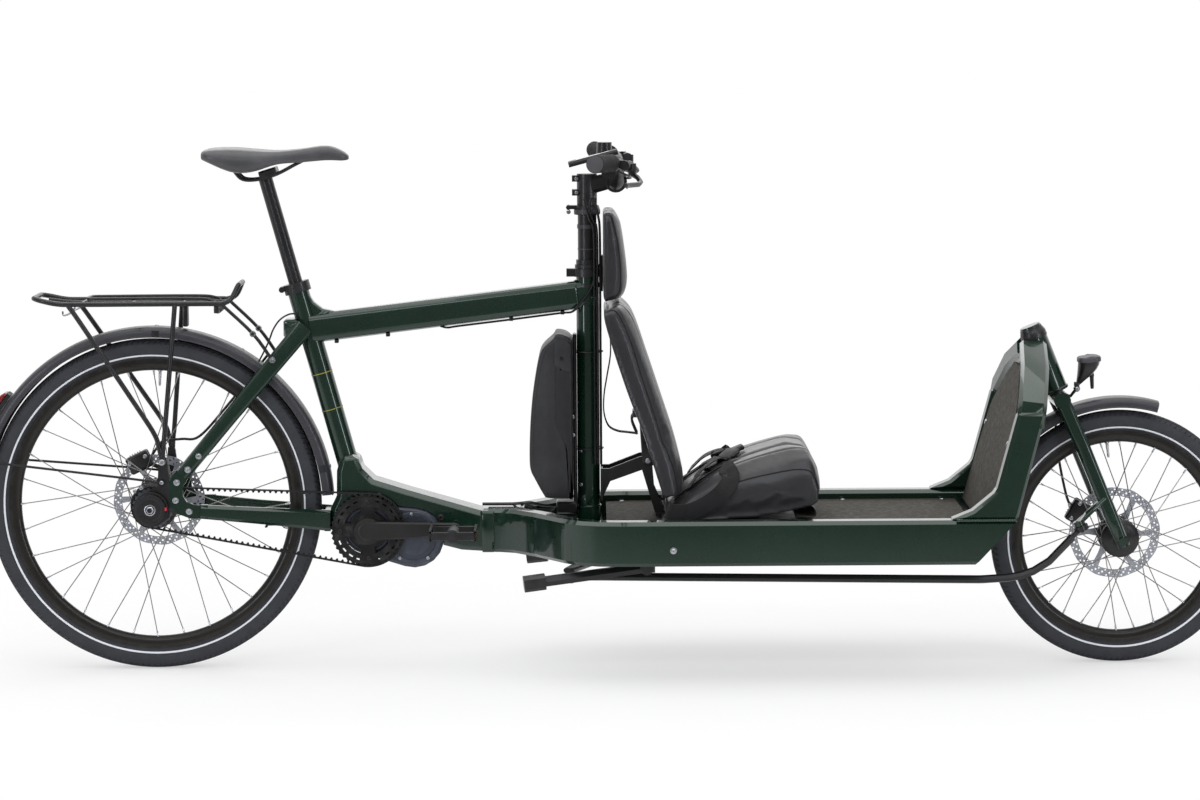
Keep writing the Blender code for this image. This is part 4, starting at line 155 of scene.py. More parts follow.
def look(name, shade, rough, metal=0.0, vary=0.14, patch=9.0, grain=900.0, depth=0.00002,
         kind="noise", wear=0.0, swing=0.07, **more):
    """A finish: colour drift, uneven roughness, a grain in relief and rubbed edges."""
    g = Graph(name)
    base = linear(*shade)
    low = [c * (1 - vary) for c in base]
    high = [c * (1 + vary) for c in base]
    colour = g.mix(g.spread(g.noise(patch), 0, 1), low, high)
    if wear:
        edge = g.node("NewGeometry").outputs["Pointiness"]
        rubbed = g.math(g.spread(edge, 0, wear, 0.52, 0.62), g.spread(g.noise(60), 0, 1, 0.4, 0.7))
        colour = g.mix(rubbed, colour, [min(c * 4 + 0.08, 0.7) for c in base])
    height = {
        "noise": lambda: g.noise(grain, 3),
        "cells": lambda: g.spread(g.cells(grain, "DISTANCE_TO_EDGE"), 0, 1, 0.0, 0.25),
        "weave": lambda: g.math(g.wave(grain, "Y"), g.wave(grain, "DIAGONAL")),
        "brush": lambda: g.wave(grain, "Z", 3.0),
    }[kind]()
    more.setdefault("specular_ior_level", 0.5 if metal > 0.9 else 0.32)
    g.set(base_color=colour, metallic=metal, roughness=g.spread(g.noise(45), rough - swing, rough + swing),
          **more)
    g.bump(height, depth)
    return g.material


def paint_look():
    """Deep green metallic lacquer: fine flakes under a clear coat."""
    g = Graph("green_paint")
    flake = g.node("TexVoronoi", {"Vector": g.coords, "Scale": 1600.0}).outputs["Color"]
    split = g.node("SeparateColor", {"Color": flake}).outputs["Red"]
    body = g.mix(g.spread(g.noise(5), 0, 1), linear(9, 36, 24), linear(14, 43, 30))
    colour = g.mix(g.spread(split, 0, 0.35, 0.7, 1.0), body, linear(38, 74, 58))
    g.set(base_color=colour, metallic=0.3, roughness=g.spread(g.noise(30), 0.26, 0.34),
          coat_weight=1.0, coat_roughness=0.05, specular_ior_level=0.25)
    g.bump(g.noise(140, 1), 0.000003)
    return g.material


def board_look():
    """Coated board: dark brown-grey, speckled and gritty."""
    g = Graph("coated_board")
    body = g.mix(g.spread(g.noise(520, 3), 0, 1, 0.38, 0.66), linear(44, 42, 37), linear(78, 74, 66))
    colour = g.mix(g.spread(g.cells(330), 0.75, 0.0, 0.05, 0.42), body, linear(104, 99, 89))
    colour = g.mix(g.spread(g.noise(3.2), 0, 0.25), colour, linear(40, 38, 33))
    g.set(base_color=colour, roughness=g.spread(g.noise(90), 0.62, 0.82), specular_ior_level=0.2)
    g.bump(g.noise(700, 3), 0.00025)
    return g.material


def leather_look(name, shade, rough=0.4):
    """Charcoal leatherette: pebbled, with broad soft creases and painted shade in the grooves of the grain.
    """
    g = Graph(name)
    base = linear(*shade)
    colour = g.mix(g.spread(g.noise(14), 0, 1), [c * 0.8 for c in base], [c * 1.25 for c in base])
    pebble_and_groove_shade = g.spread(g.cells(620, "DISTANCE_TO_EDGE"), 0, 1, 0.0, 0.22)
    # Painted shade: the grain's grooves are darkened towards half the base colour; the same mask gives the
    # pebbles their relief
    colour = g.mix(g.spread(pebble_and_groove_shade, 0.35, 0.0, 0.0, 0.6), colour, [c * 0.5 for c in base])
    g.set(base_color=colour, roughness=g.spread(g.noise(70), rough - 0.05, rough + 0.08),
          sheen_weight=0.04, sheen_roughness=0.4, coat_weight=0.6, coat_roughness=0.3,
          specular_ior_level=0.3)
    g.bump(g.math(pebble_and_groove_shade, g.spread(g.noise(24), 0.4, 1.6), "ADD"), 0.0001)
    return g.material


def glow_look(name, shade, strength):
    g = Graph(name)
    colour = g.mix(g.spread(g.noise(40), 0, 1), linear(*shade), [c * 0.8 for c in linear(*shade)])
    g.set(base_color=colour, roughness=0.2, emission_color=linear(*shade), emission_strength=strength,
          coat_weight=0.6, coat_roughness=0.05)
    g.bump(g.cells(220, "DISTANCE_TO_EDGE"), 0.0003)
    return g.material


GREEN = paint_look()
BOARD = board_look()
LEATHER = leather_look("charcoal_leatherette", (36, 36, 39))
SADDLE_SKIN = leather_look("saddle_cover", (68, 68, 70), 0.5)
TYRE = look("tyre_rubber", (53, 54, 58), 0.68, vary=0.1, patch=30, grain=420, depth=0.0001)
RIM = look("black_rim", (36, 34, 31), 0.36, metal=0.35, wear=0.25, grain=300, depth=0.00003,
           coat_weight=0.2)
SATIN = look("satin_black", (24, 24, 25), 0.36, wear=0.22, grain=700, depth=0.00003, coat_weight=0.35,
             coat_roughness=0.25)
ANODISED = look("black_anodised", (36, 35, 35), 0.38, metal=0.55, wear=0.3, grain=1500)
CRANK_GREY = look("crank_grey", (46, 45, 44), 0.4, metal=0.45, wear=0.2, grain=1500)
PLASTIC = look("black_plastic", (30, 30, 31), 0.48, grain=1100, depth=0.00005, wear=0.15)
BATTERY_SHELL = look("battery_shell", (46, 46, 47), 0.44, grain=950, depth=0.00006, wear=0.15)
GUARD = look("mudguard_grey", (56, 56, 60), 0.42, vary=0.06, grain=260, depth=0.000008, swing=0.03,
             coat_weight=0.3, coat_roughness=0.2)
RUBBER = look("black_rubber", (27, 27, 28), 0.66, grain=600, depth=0.00008)
CABLE = look("cable_sheath", (20, 20, 21), 0.42, grain=1600, depth=0.00002, coat_weight=0.2)
STEEL = look("bright_steel", (196, 197, 202), 0.24, metal=1.0, vary=0.05, grain=1800, depth=0.00001)
SPOKE = look("spoke_steel", (150, 148, 146), 0.28, metal=1.0, vary=0.08, grain=1800, depth=0.00001)
ROTOR = look("rotor_steel", (178, 180, 188), 0.34, metal=1.0, vary=0.06, grain=1400, depth=0.00002,
             kind="brush")
BOLT = look("bolt_steel", (186, 188, 192), 0.3, metal=1.0, vary=0.1, grain=1600, depth=0.00002)
MOTOR_GREY = look("motor_shell", (59, 63, 73), 0.4, metal=0.25, wear=0.25, grain=900, depth=0.00004,
                  coat_weight=0.2)
TOOTH_STEEL = look("sprocket_steel", (96, 99, 106), 0.42, metal=0.8, wear=0.3, grain=1200)
WEBBING = look("woven_strap", (24, 24, 25), 0.62, grain=420, depth=0.0002, kind="weave", sheen_weight=0.1)
STRIPE = look("reflective_stripe", (226, 228, 232), 0.4, vary=0.04, grain=2500, depth=0.00002)
GOLD = look("gold_line", (168, 152, 78), 0.45, metal=0.3, vary=0.1)
RED_LENS = look("red_lens", (120, 14, 16), 0.16, coat_weight=0.8, grain=260, depth=0.0003, kind="cells")
RED_MARK = look("red_mark", (204, 40, 58), 0.45)
SCREEN = look("display_glass", (12, 13, 15), 0.1, coat_weight=1.0, grain=2500, depth=0.000004)
LENS = glow_look("lamp_lens", (215, 220, 228), 0.05)
STITCH = look("seam_thread", (26, 26, 28), 0.7, grain=900, depth=0.0002, kind="weave")


# Forms
class Form:
    """A mesh under construction; faces take the look that is current when they are made."""

    def __init__(self):
        self.bm = bmesh.new()
        self.look = 0

    def face(self, verts):
        self.bm.faces.new(verts).material_index = self.look

    def skin(self, rings, loop=False, closed=True):
        """Faces between rings of equal count; closed rings join round, a loop joins its ends."""
        rows = [[self.bm.verts.new(p) for p in ring] for ring in rings]
        count = len(rows[0])
        for row, following in zip(rows, rows[1:] + rows[:1] if loop else rows[1:]):
            for i in range(count if closed else count - 1):
                j = (i + 1) % count
                self.face((row[i], row[j], following[j], following[i]))
        if not loop:
            self.face(rows[0])
            self.face(rows[-1])

    def lathe(self, profile, centre, axis=LEFT, steps=48, ring=False):
        """(radius, along) points turned round an axis; a ring's profile joins its own ends."""
        axis = Vector(axis).normalized()
        side = AHEAD if abs(axis.y) > 0.99 else axis.orthogonal().normalized()
        rise = UP if abs(axis.y) > 0.99 else axis.cross(side)
        centre = Vector(centre)
        rings = []
        for angle in turns(steps):
            out = side * cos(angle) + rise * sin(angle)
            rings.append([centre + out * r + axis * a for r, a in profile])
        self.skin(rings, loop=True, closed=ring)

    def tube(self, points, radius, sides=10, smooth=0, radii=None, loop=False):
        """A round tube along a route, with the route's corners drawn as a curve where smooth is set."""
        points = [Vector(p) for p in points]
        if smooth:
            points, radii = curved(points, smooth, radii, loop)
        radii = radii or [radius] * len(points)
        rings = []
        side = None
        last = len(points) - 1
        for i, point in enumerate(points):
            ahead = points[(i + 1) % len(points)] if loop else points[min(i + 1, last)]
            behind = points[i - 1] if loop or i else points[0]
            along = (ahead - behind).normalized()
            if side is None:
                side = along.orthogonal().normalized()
            side = (side - along * side.dot(along)).normalized()
            rise = along.cross(side)
            rings.append([point + (side * cos(a) + rise * sin(a)) * radii[i] for a in turns(sides)])
        self.skin(rings, loop=loop)

    def strip(self, points, width, thick, smooth=0):
        """A flat strap along a route, its width across the bike."""
        points = [Vector(p) for p in points]
        if smooth:
            points, _ = curved(points, smooth)
        rings = []
        last = len(points) - 1
        for i, point in enumerate(points):
            along = (points[min(i + 1, last)] - points[max(i - 1, 0)]).normalized()
            wide = (LEFT - along * along.dot(LEFT)).normalized() * (width / 2)
            out = along.cross(wide).normalized() * (thick / 2)
            rim = wide * 0.94
            rings.append([point - wide, point - rim + out, point + rim + out, point + wide,
                          point + rim - out, point - rim - out])
        self.skin(rings)

    def block(self, low, high, edge=0.0, segments=2, turn=None):
        """A box with rounded edges; turn is a matrix that places it."""
        low, high = Vector(low), Vector(high)
        made = bmesh.new()
        bmesh.ops.create_cube(made, size=1.0)
        shape = Matrix.Translation((low + high) / 2) @ Matrix.Diagonal((*(high - low), 1.0))
        bmesh.ops.transform(made, matrix=shape, verts=made.verts)
        if edge:
            bmesh.ops.bevel(made, geom=made.edges[:], offset=edge, segments=segments, affect="EDGES",
                            profile=0.5)
        self.take(made, turn)

    def take(self, made, turn=None):
        """Adds another mesh to this one."""
        if turn is not None:
            bmesh.ops.transform(made, matrix=turn, verts=made.verts)
        spots = {v: self.bm.verts.new(v.co) for v in made.verts}
        for face in made.faces:
            self.face([spots[v] for v in face.verts])
        made.free()

    def plate(self, outlines, low, high, view="side", edge=0.0):
        """Flat outlines, the later ones holes, between two depths across the view."""
        curve = bpy.data.curves.new("outline", "CURVE")
        curve.dimensions = "2D"
        curve.fill_mode = "BOTH"
        curve.extrude = (high - low) / 2
        for outline in outlines:
            spline = curve.splines.new("POLY")
            spline.points.add(len(outline) - 1)
            for spot, (x, y) in zip(spline.points, outline):
                spot.co = (x, y, 0.0, 1.0)
            spline.use_cyclic_u = True
        rough = bpy.data.objects.new("outline", curve)
        scene.collection.objects.link(rough)
        graph = bpy.context.evaluated_depsgraph_get()
        mesh = bpy.data.meshes.new_from_object(rough.evaluated_get(graph))
        made = bmesh.new()
        made.from_mesh(mesh)
        bpy.data.objects.remove(rough)
        bpy.data.meshes.remove(mesh)
        bmesh.ops.remove_doubles(made, verts=made.verts, dist=1e-6)
        middle = (low + high) / 2
        facing = {
            "side": Matrix(((1, 0, 0, 0), (0, 0, -1, middle), (0, 1, 0, 0), (0, 0, 0, 1))),
            "front": Matrix(((0, 0, 1, middle), (1, 0, 0, 0), (0, 1, 0, 0), (0, 0, 0, 1))),
        }
        if edge:
            bmesh.ops.dissolve_limit(made, angle_limit=0.002, verts=made.verts, edges=made.edges)
            sharp = [e for e in made.edges if len(e.link_faces) == 2 and e.calc_face_angle(0) > 0.9]
            bmesh.ops.bevel(made, geom=sharp, offset=edge, segments=2, affect="EDGES", profile=0.5)
        self.take(made, facing[view])

    def bolt(self, place, axis, radius, height, sides=24, socket=0.5, look=None):
        """A button-headed bolt with a hex socket, standing on the place along the axis."""
        kept = self.look
        if look is not None:
            self.look = look
        axis = Vector(axis).normalized()
        r, h = radius, height
        inner = r * socket
        head = [(r * 0.96, -h * 0.3), (r, 0), (r, h * 0.35), (r * 0.9, h * 0.72), (r * 0.66, h)]
        self.lathe(head + [(inner, h), (inner * 0.95, h * 0.15), (0.00001, h * 0.1)], place, axis, sides)
        self.look = kept

    def done(self, name, looks, body, stands_for=None, angle=38, weld=0.00001, levels=0):
        """Makes the object, which rides on a body and may stand for a CAD node."""
        bm = self.bm
        if weld:
            bmesh.ops.remove_doubles(bm, verts=bm.verts, dist=weld)
        bmesh.ops.recalc_face_normals(bm, faces=bm.faces)
        mesh = bpy.data.meshes.new(name)
        bm.to_mesh(mesh)
        bm.free()
        for each in looks if isinstance(looks, (list, tuple)) else [looks]:
            mesh.materials.append(each)
        mesh.shade_smooth()
        mesh.set_sharp_from_angle(angle=radians(angle))
        made = bpy.data.objects.new(name, mesh)
        scene.collection.objects.link(made)
        if levels:
            step = made.modifiers.new("smooth", "SUBSURF")
            step.levels = step.render_levels = levels
        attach(made, body)
        if stands_for:
            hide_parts(stands_for)
        return made


def curved(points, steps, radii=None, loop=False):
    """A smooth curve through the points, with its radii in step."""
    count = len(points)
    out, sizes = [], []
    spans = count if loop else count - 1
    for i in range(spans):
        if loop:
            a, b, c, d = (points[(i + k) % count] for k in (-1, 0, 1, 2))
        else:
            b, c = points[i], points[i + 1]
            a = points[i - 1] if i else b * 2 - c
            d = points[i + 2] if i + 2 < count else c * 2 - b
        for k in range(steps):
            t = k / steps
            out.append(0.5 * (b * 2 + (c - a) * t + (a * 2 - b * 5 + c * 4 - d) * t * t
                              + (b * 3 - a - c * 3 + d) * t ** 3))
            if radii:
                sizes.append(radii[i] + (radii[(i + 1) % count] - radii[i]) * t)
    if not loop:
        out.append(points[-1])
        if radii:
            sizes.append(radii[-1])
    return out, sizes or None


def arc(x, y, radius, start, end, steps):
    """Points along an arc in a flat outline, in degrees."""
    spots = []
    for k in range(steps + 1):
        angle = radians(start + (end - start) * k / steps)
        spots.append((x + radius * cos(angle), y + radius * sin(angle)))
    return spots


def ring_of(x, y, radius, steps):
    """A circle in a flat outline."""
    return arc(x, y, radius, 0, 360, steps)[:-1]


# CAD nodes that stay: welded, with softened edges and smooth rounds
def node_group(name, build):
    """A geometry step between its input and its output."""
    group = bpy.data.node_groups.new(name, "GeometryNodeTree")
    group.interface.new_socket("Geometry", in_out="INPUT", socket_type="NodeSocketGeometry")
    group.interface.new_socket("Geometry", in_out="OUTPUT", socket_type="NodeSocketGeometry")
    way_in = group.nodes.new("NodeGroupInput").outputs[0]
    way_out = group.nodes.new("NodeGroupOutput").inputs[0]
    group.links.new(build(group, way_in), way_out)
    return group


def bare_steps(group, shape):
    """Drops the imported normals and welds the corners."""
    drop = group.nodes.new("GeometryNodeRemoveAttribute")
    drop.inputs["Name"].default_value = "custom_normal"
    group.links.new(shape, drop.inputs["Geometry"])
    weld = group.nodes.new("GeometryNodeMergeByDistance")
    weld.inputs["Distance"].default_value = 0.00001
    group.links.new(drop.outputs["Geometry"], weld.inputs["Geometry"])
    return weld.outputs["Geometry"]


def smooth_steps(limit):
    """Smooth faces, with edges above the limit left sharp."""
    def build(group, shape):
        faces = group.nodes.new("GeometryNodeSetShadeSmooth")
        faces.domain = "FACE"
        faces.inputs["Shade Smooth"].default_value = True
        group.links.new(shape, faces.inputs["Geometry"])
        angle = group.nodes.new("GeometryNodeInputMeshEdgeAngle")
        test = group.nodes.new("FunctionNodeCompare")
        test.data_type = "FLOAT"
        test.operation = "GREATER_THAN"
        test.inputs["B"].default_value = limit
        group.links.new(angle.outputs["Unsigned Angle"], test.inputs["A"])
        edges = group.nodes.new("GeometryNodeSetShadeSmooth")
        edges.domain = "EDGE"
        edges.inputs["Shade Smooth"].default_value = False
        group.links.new(faces.outputs["Geometry"], edges.inputs["Geometry"])
        group.links.new(test.outputs["Result"], edges.inputs["Selection"])
        return edges.outputs["Geometry"]
    return build


BARE = node_group("welded", bare_steps)
SMOOTH = node_group("smooth_rounds", smooth_steps(radians(42)))
TUBULAR = node_group("tubular_rounds", smooth_steps(radians(66)))


def keep(node, material, edge, segments, rounds):
    """A CAD node that is shown: its own shape, with a finish, softened edges and smooth rounds."""
    obj = NODES[node]
    obj.data.materials.clear()
    obj.data.materials.append(material)
    obj.modifiers.new("weld", "NODES").node_group = BARE
    flat = obj.modifiers.new("flats", "DECIMATE")
    flat.decimate_type = "DISSOLVE"
    flat.angle_limit = radians(0.4)
    if edge:
        soft = obj.modifiers.new("edges", "BEVEL")
        soft.width = edge
        soft.segments = segments
        soft.limit_method = "ANGLE"
        soft.angle_limit = radians(36)
        soft.miter_outer = "MITER_ARC"
    obj.modifiers.new("rounds", "NODES").node_group = rounds
    even = obj.modifiers.new("even", "WEIGHTED_NORMAL")
    even.keep_sharp = True


for nodes, material, edge, segments, rounds in (
        ("seat_tube top_tube steering_tube seatstays fork", GREEN, 0, 2, TUBULAR),
        ("motor_beam bed_frame front_arch", GREEN, 0.006, 3, SMOOTH),
        ("chainstays", GREEN, 0.0035, 3, SMOOTH),
        ("floor_board front_panel", BOARD, 0.0006, 2, SMOOTH),
        ("seat_clamp steering_column stem seatpost headrest_bracket battery_mount kickstand tie_rod "
         "seat_frame bell rear_axle_shifter", SATIN, 0.0008, 2, SMOOTH),
        ("display brake_body_right brake_body_left", PLASTIC, 0.001, 2, SMOOTH),
        ("shift_button assist_button", RUBBER, 0.0008, 2, SMOOTH),
        ("brake_lever_right brake_lever_left", ANODISED, 0.0008, 2, SMOOTH),
        ("belt_ring", ANODISED, 0.0005, 2, SMOOTH),
        ("crank_right crank_left", CRANK_GREY, 0.0012, 2, SMOOTH),
        ("motor_housing", MOTOR_GREY, 0.0015, 2, SMOOTH),
        ("rear_sprocket", TOOTH_STEEL, 0.0004, 2, SMOOTH),
        ("rod_end", STEEL, 0.0006, 2, SMOOTH)):
    for node in nodes.split():
        keep(node, material, edge, segments, rounds)


# Wheels
BEAD = 0.0403
RIM_DEPTH = 0.0235
SPOKES = 32
BLOCK_PITCH = 0.0115
TREAD_DEPTH = 0.0016
TREAD_SLANT = 0.6
# Depth below the tread's top, half width, and zone: 0 wall, 1 block, 2 groove
TYRE_PROFILE = (
    (0.0403, 0.01, 0), (0.0385, 0.0136, 0), (0.034, 0.0184, 0), (0.0285, 0.0216, 0),
    (0.0235, 0.0233, 0), (0.018, 0.0235, 0), (0.013, 0.0226, 0), (0.0102, 0.0215, 0),
    (0.0096, 0.0217, 1), (0.0062, 0.0188, 1), (0.0036, 0.0155, 1), (0.0044, 0.0143, 2),
    (0.004, 0.0125, 2), (0.0014, 0.0112, 1), (0.0004, 0.006, 1), (0.0, 0.0022, 1),
    (0.0014, 0.0012, 2),
)


def tyre(name, centre, stripe, wall, body):
    """Carcass, slanted tread blocks and the reflective line on both walls."""
    radius = centre.z
    half = [(radius - depth, width, zone) for depth, width, zone in TYRE_PROFILE]
    profile = half + [(r, -w, zone) for r, w, zone in reversed(half)]
    blocks = round(tau * radius / BLOCK_PITCH)
    f = Form()
    rings = []
    for block in range(blocks):
        for share, cut in ((0.0, 0), (0.78, 0), (0.82, 1), (0.96, 1)):
            ring = []
            for r, w, zone in profile:
                angle = tau * (block + share) / blocks + abs(w) * TREAD_SLANT / radius
                if cut and zone == 1 and abs(w) > 0.01:
                    r -= TREAD_DEPTH
                    w *= 0.985
                ring.append(centre + polar(angle, r, w))
            rings.append(ring)
    f.skin(rings, loop=True, closed=False)
    f.look = 1
    for side in (-1, 1):
        f.lathe([(stripe + r, side * (wall + w)) for r, w in (
            (-0.0018, -0.002), (-0.0016, 0.0), (0.0016, 0.0019), (0.0018, 0.0002))], centre, steps=160)
    f.done(name, [TYRE, STRIPE], body, name.replace("_dressed", ""), angle=30, weld=0)


def wheel(name, centre, hub_radius, right_end, rotor_y, valve_angle, body):
    """Rim with its hooks and wear line, spokes with nipples, hub shell and valve."""
    outer = centre.z + 0.0012 - BEAD
    inner = outer - RIM_DEPTH
    f = Form()
    half = [(outer + r, w) for r, w in (
        (-0.004, 0.0088), (0.0008, 0.0098), (0.0016, 0.0108), (0.0006, 0.0117), (-0.0062, 0.0117),
        (-0.0066, 0.0113), (-0.0125, 0.0112), (-0.019, 0.0084), (-0.0228, 0.004), (-RIM_DEPTH, 0.0012))]
    f.lathe(half + [(r, -w) for r, w in reversed(half)], centre, steps=144, ring=True)
    left_end = rotor_y - 0.0013
    right_flange = right_end + 0.012
    left_flange = left_end - 0.02
    f.look = 1
    flange_half = ((-0.001, 0.0045), (0.0008, 0.0025), (0.0008, -0.0015), (-0.0045, -0.0035),
                   (-0.006, -0.008))
    f.lathe([(0.006, right_end), (hub_radius * 0.42, right_end), (hub_radius * 0.46, right_end + 0.0015),
             (hub_radius * 0.8, right_end + 0.0035),
             *((hub_radius + r, right_flange - y) for r, y in flange_half),
             *((hub_radius + r, left_flange + y) for r, y in reversed(flange_half)),
             (hub_radius * 0.72, left_end - 0.006),
             (hub_radius * 0.52, left_end - 0.001), (0.0225, left_end), (0.016, left_end),
             (0.016, left_end + 0.006), (0.006, left_end + 0.0065)], centre, steps=48)
    per_side = SPOKES // 2
    lead = tau * 3 / per_side
    reach = inner + RIM_DEPTH * 0.3
    for side, flange in ((0, right_flange), (1, left_flange)):
        for index in range(per_side):
            lean = 1 if index % 2 else -1
            hub_angle = tau * (index + side / 2) / per_side
            rim_angle = hub_angle + lean * lead
            head = flange + lean * 0.00165
            start = centre + polar(hub_angle, hub_radius - 0.003, head)
            end = centre + polar(rim_angle, reach, copysign(0.00235, flange))
            way = (end - start).normalized()
            f.look = 2
            f.tube([start, end - way * 0.01], 0.00105, 8)
            f.look = 3
            seat = end - way * 0.0058
            f.tube([seat - way * 0.011, seat - way * 0.0105, seat], 0.002, 8, radii=[0.0014, 0.0018, 0.002])
            f.look = 2
            outward = copysign(1, head - flange)
            f.lathe([(0.0, 0.0022), (0.0018, 0.0018), (0.0019, 0.0008)],
                    start + LEFT * outward * 0.0008, LEFT * outward, 8)
    f.look = 3
    out = polar(radians(valve_angle))
    foot = centre + out * (inner + 0.001)
    f.lathe([(0.0048, 0.0), (0.0048, 0.0022), (0.0032, 0.0026), (0.003, 0.016), (0.0026, 0.0165),
             (0.0026, 0.026), (0.002, 0.031), (0.00001, 0.0315)], foot, -out, 12)
    f.done(name + "_dressed", [RIM, SATIN, SPOKE, STEEL], body, name)


def rotor(name, centre, y, body):
    """Drilled brake disc with six curved arms and its bolts."""
    x, z = centre.x, centre.z

    def at(radius, degrees):
        return x + radius * cos(radians(degrees)), z + radius * sin(radians(degrees))

    edge = []
    for a in turns(144):
        reach = 0.0898 + 0.0007 * sin(12 * a)
        edge.append((x + reach * cos(a), z + reach * sin(a)))
    outlines = [edge, ring_of(x, z, 0.0172, 32)]
    for start in range(0, 360, 60):
        outlines.append(arc(x, z, 0.0735, start + 5, start + 55, 8) + [at(0.052, start + 52)]
                        + arc(x, z, 0.0345, start + 42, start + 10, 4) + [at(0.052, start + 3)])
        outlines.append(ring_of(*at(0.0268, start - 4), 0.0028, 8))
    for start in range(0, 360, 10):
        for r, shift, size in ((0.0862, 0.0, 0.0019), (0.0812, 3.6, 0.0021), (0.0766, 7.2, 0.0017)):
            outlines.append(ring_of(*at(r, start + shift), size, 8))
    f = Form()
    f.plate(outlines, y - 0.001, y + 0.001)
    f.look = 1
    for start in range(0, 360, 60):
        f.bolt(centre + polar(radians(start - 4), 0.0222, y + 0.001), LEFT, 0.0036, 0.0022, 12)
    f.done(name + "_dressed", [ROTOR, BOLT], body, name)


tyre("rear_tyre_dressed", REAR, 0.2935, 0.0193, "rear_wheel")
tyre("front_tyre_dressed", FRONT, 0.217, 0.0195, "front_wheel")
wheel("rear_wheel", REAR, 0.045, -0.043, 0.052, 87, "rear_wheel")
wheel("front_wheel", FRONT, 0.0365, -0.0455, 0.04, 97, "front_wheel")
rotor("rear_rotor", REAR, 0.052, "rear_wheel")
rotor("front_rotor", FRONT, 0.04, "front_wheel")

# Child seat: pads blown up from their sewn shape, then channelled
PAD_INSET = 0.0035
CHANNEL_WIDTH = 0.003
CHANNEL_DEPTH = 0.0034
PAD_SHARES = (-1, -0.93, -0.72, -0.4, -0.345, -0.29, 0.29, 0.345, 0.4, 0.72, 0.93, 1)
PAD_FULLNESS = (0.52, 0.82, 0.97, 0.99, 0.9, 1.0, 1.0, 0.9, 0.99, 0.97, 0.82, 0.52)
SEAT_PAIRS = (
    ((0.149, 0.012), (0.15, 0.034)), ((0.165, 0.0085), (0.172, 0.042)), ((0.205, 0.0085), (0.211, 0.068)),
    ((0.262, 0.01), (0.252, 0.096)), ((0.32, 0.014), (0.31, 0.119)), ((0.372, 0.022), (0.372, 0.138)),
    ((0.405, 0.03), (0.402, 0.146)), ((0.43, 0.036), (0.424, 0.14)), ((0.438, 0.044), (0.446, 0.076)),
)
BACK_PAIRS = (
    ((0.034, 0.401), (0.042, 0.4135)), ((0.036, 0.386), (0.068, 0.428)), ((0.052, 0.33), (0.09, 0.392)),
    ((0.078, 0.25), (0.112, 0.326)), ((0.105, 0.178), (0.138, 0.246)), ((0.126, 0.11), (0.163, 0.168)),
    ((0.138, 0.07), (0.18, 0.1)), ((0.143, 0.055), (0.186, 0.062)),
)
HEAD_PAIRS = (
    ((0.031, 0.428), (0.036, 0.426)), ((0.03, 0.47), (0.0745, 0.434)), ((0.0305, 0.52), (0.077, 0.48)),
    ((0.0305, 0.57), (0.069, 0.545)), ((0.03, 0.596), (0.06, 0.598)),
)


def pad_sides(pairs):
    """The curves along a pad's lower and upper side."""
    return [curved([seat_at(*pair[k]) for pair in pairs], 4)[0] for k in (0, 1)]


def pad_start(name, pairs, half):
    """The sewn shape of a pad, a little smaller than the pad becomes, on an even net."""
    lows, highs = pad_sides(pairs)
    middle = sum(lows + highs, Vector()) / (len(lows) + len(highs))
    f = Form()
    rings = []
    shares = [-1 + k / 12 for k in range(25)]
    for share in shares:
        for a, b, start, end in zip(PAD_SHARES, PAD_SHARES[1:], PAD_FULLNESS, PAD_FULLNESS[1:]):
            if a <= share <= b + 1e-9:
                full = start + (end - start) * (share - a) / (b - a)
                break
        across = [(low, high, (high - low).normalized()) for low, high in zip(lows, highs)]
        ring = [low + way * 0.001 for low, _, way in across]
        ring += [low.lerp(high, full) - way * PAD_INSET for low, high, way in reversed(across)]
        rings.append([middle + (p - middle) * 0.985 + LEFT * (half - PAD_INSET) * share for p in ring])
    f.skin(rings)
    bmesh.ops.recalc_face_normals(f.bm, faces=f.bm.faces)
    mesh = bpy.data.meshes.new(name)
    f.bm.to_mesh(mesh)
    f.bm.free()
    obj = bpy.data.objects.new(name, mesh)
    scene.collection.objects.link(obj)
    net = obj.modifiers.new("net", "REMESH")
    net.mode = "VOXEL"
    net.voxel_size = 0.005
    settle(obj)
    return obj


def settle(obj):
    """Applies an object's modifiers to its mesh."""
    graph = bpy.context.evaluated_depsgraph_get()
    mesh = bpy.data.meshes.new_from_object(obj.evaluated_get(graph))
    obj.modifiers.clear()
    obj.data = mesh


def blow_up(pads):
    """Swells the pads by cloth under pressure; each comes with its cap and the way that stays flat."""
    starts = [[v.co.copy() for v in obj.data.vertices] for obj, _, _ in pads]
    for obj, _, _ in pads:
        cloth = obj.modifiers.new("cloth", "CLOTH")
        cloth.settings.quality = 6
        cloth.settings.use_pressure = True
        cloth.settings.uniform_pressure_force = 4.0
        cloth.settings.effector_weights.gravity = 0
        cloth.settings.tension_stiffness = 10
        cloth.settings.bending_stiffness = 0.4
        cloth.collision_settings.use_collision = False
    for step in range(1, 21):
        scene.frame_set(step)
    graph = bpy.context.evaluated_depsgraph_get()
    for (obj, cap, flat), places in zip(pads, starts):
        blown = [v.co.copy() for v in obj.evaluated_get(graph).data.vertices]
        normals = [v.normal.copy() for v in obj.data.vertices]
        obj.modifiers.clear()
        for vertex, start, end, normal in zip(obj.data.vertices, places, blown, normals):
            move = end - start
            room = cap * (0.12 if normal.dot(flat) > 0.35 else 1.0)
            if move.length > 1e-9:
                move *= room * tanh(move.length / room) / move.length
            vertex.co = start + move
    scene.frame_set(1)


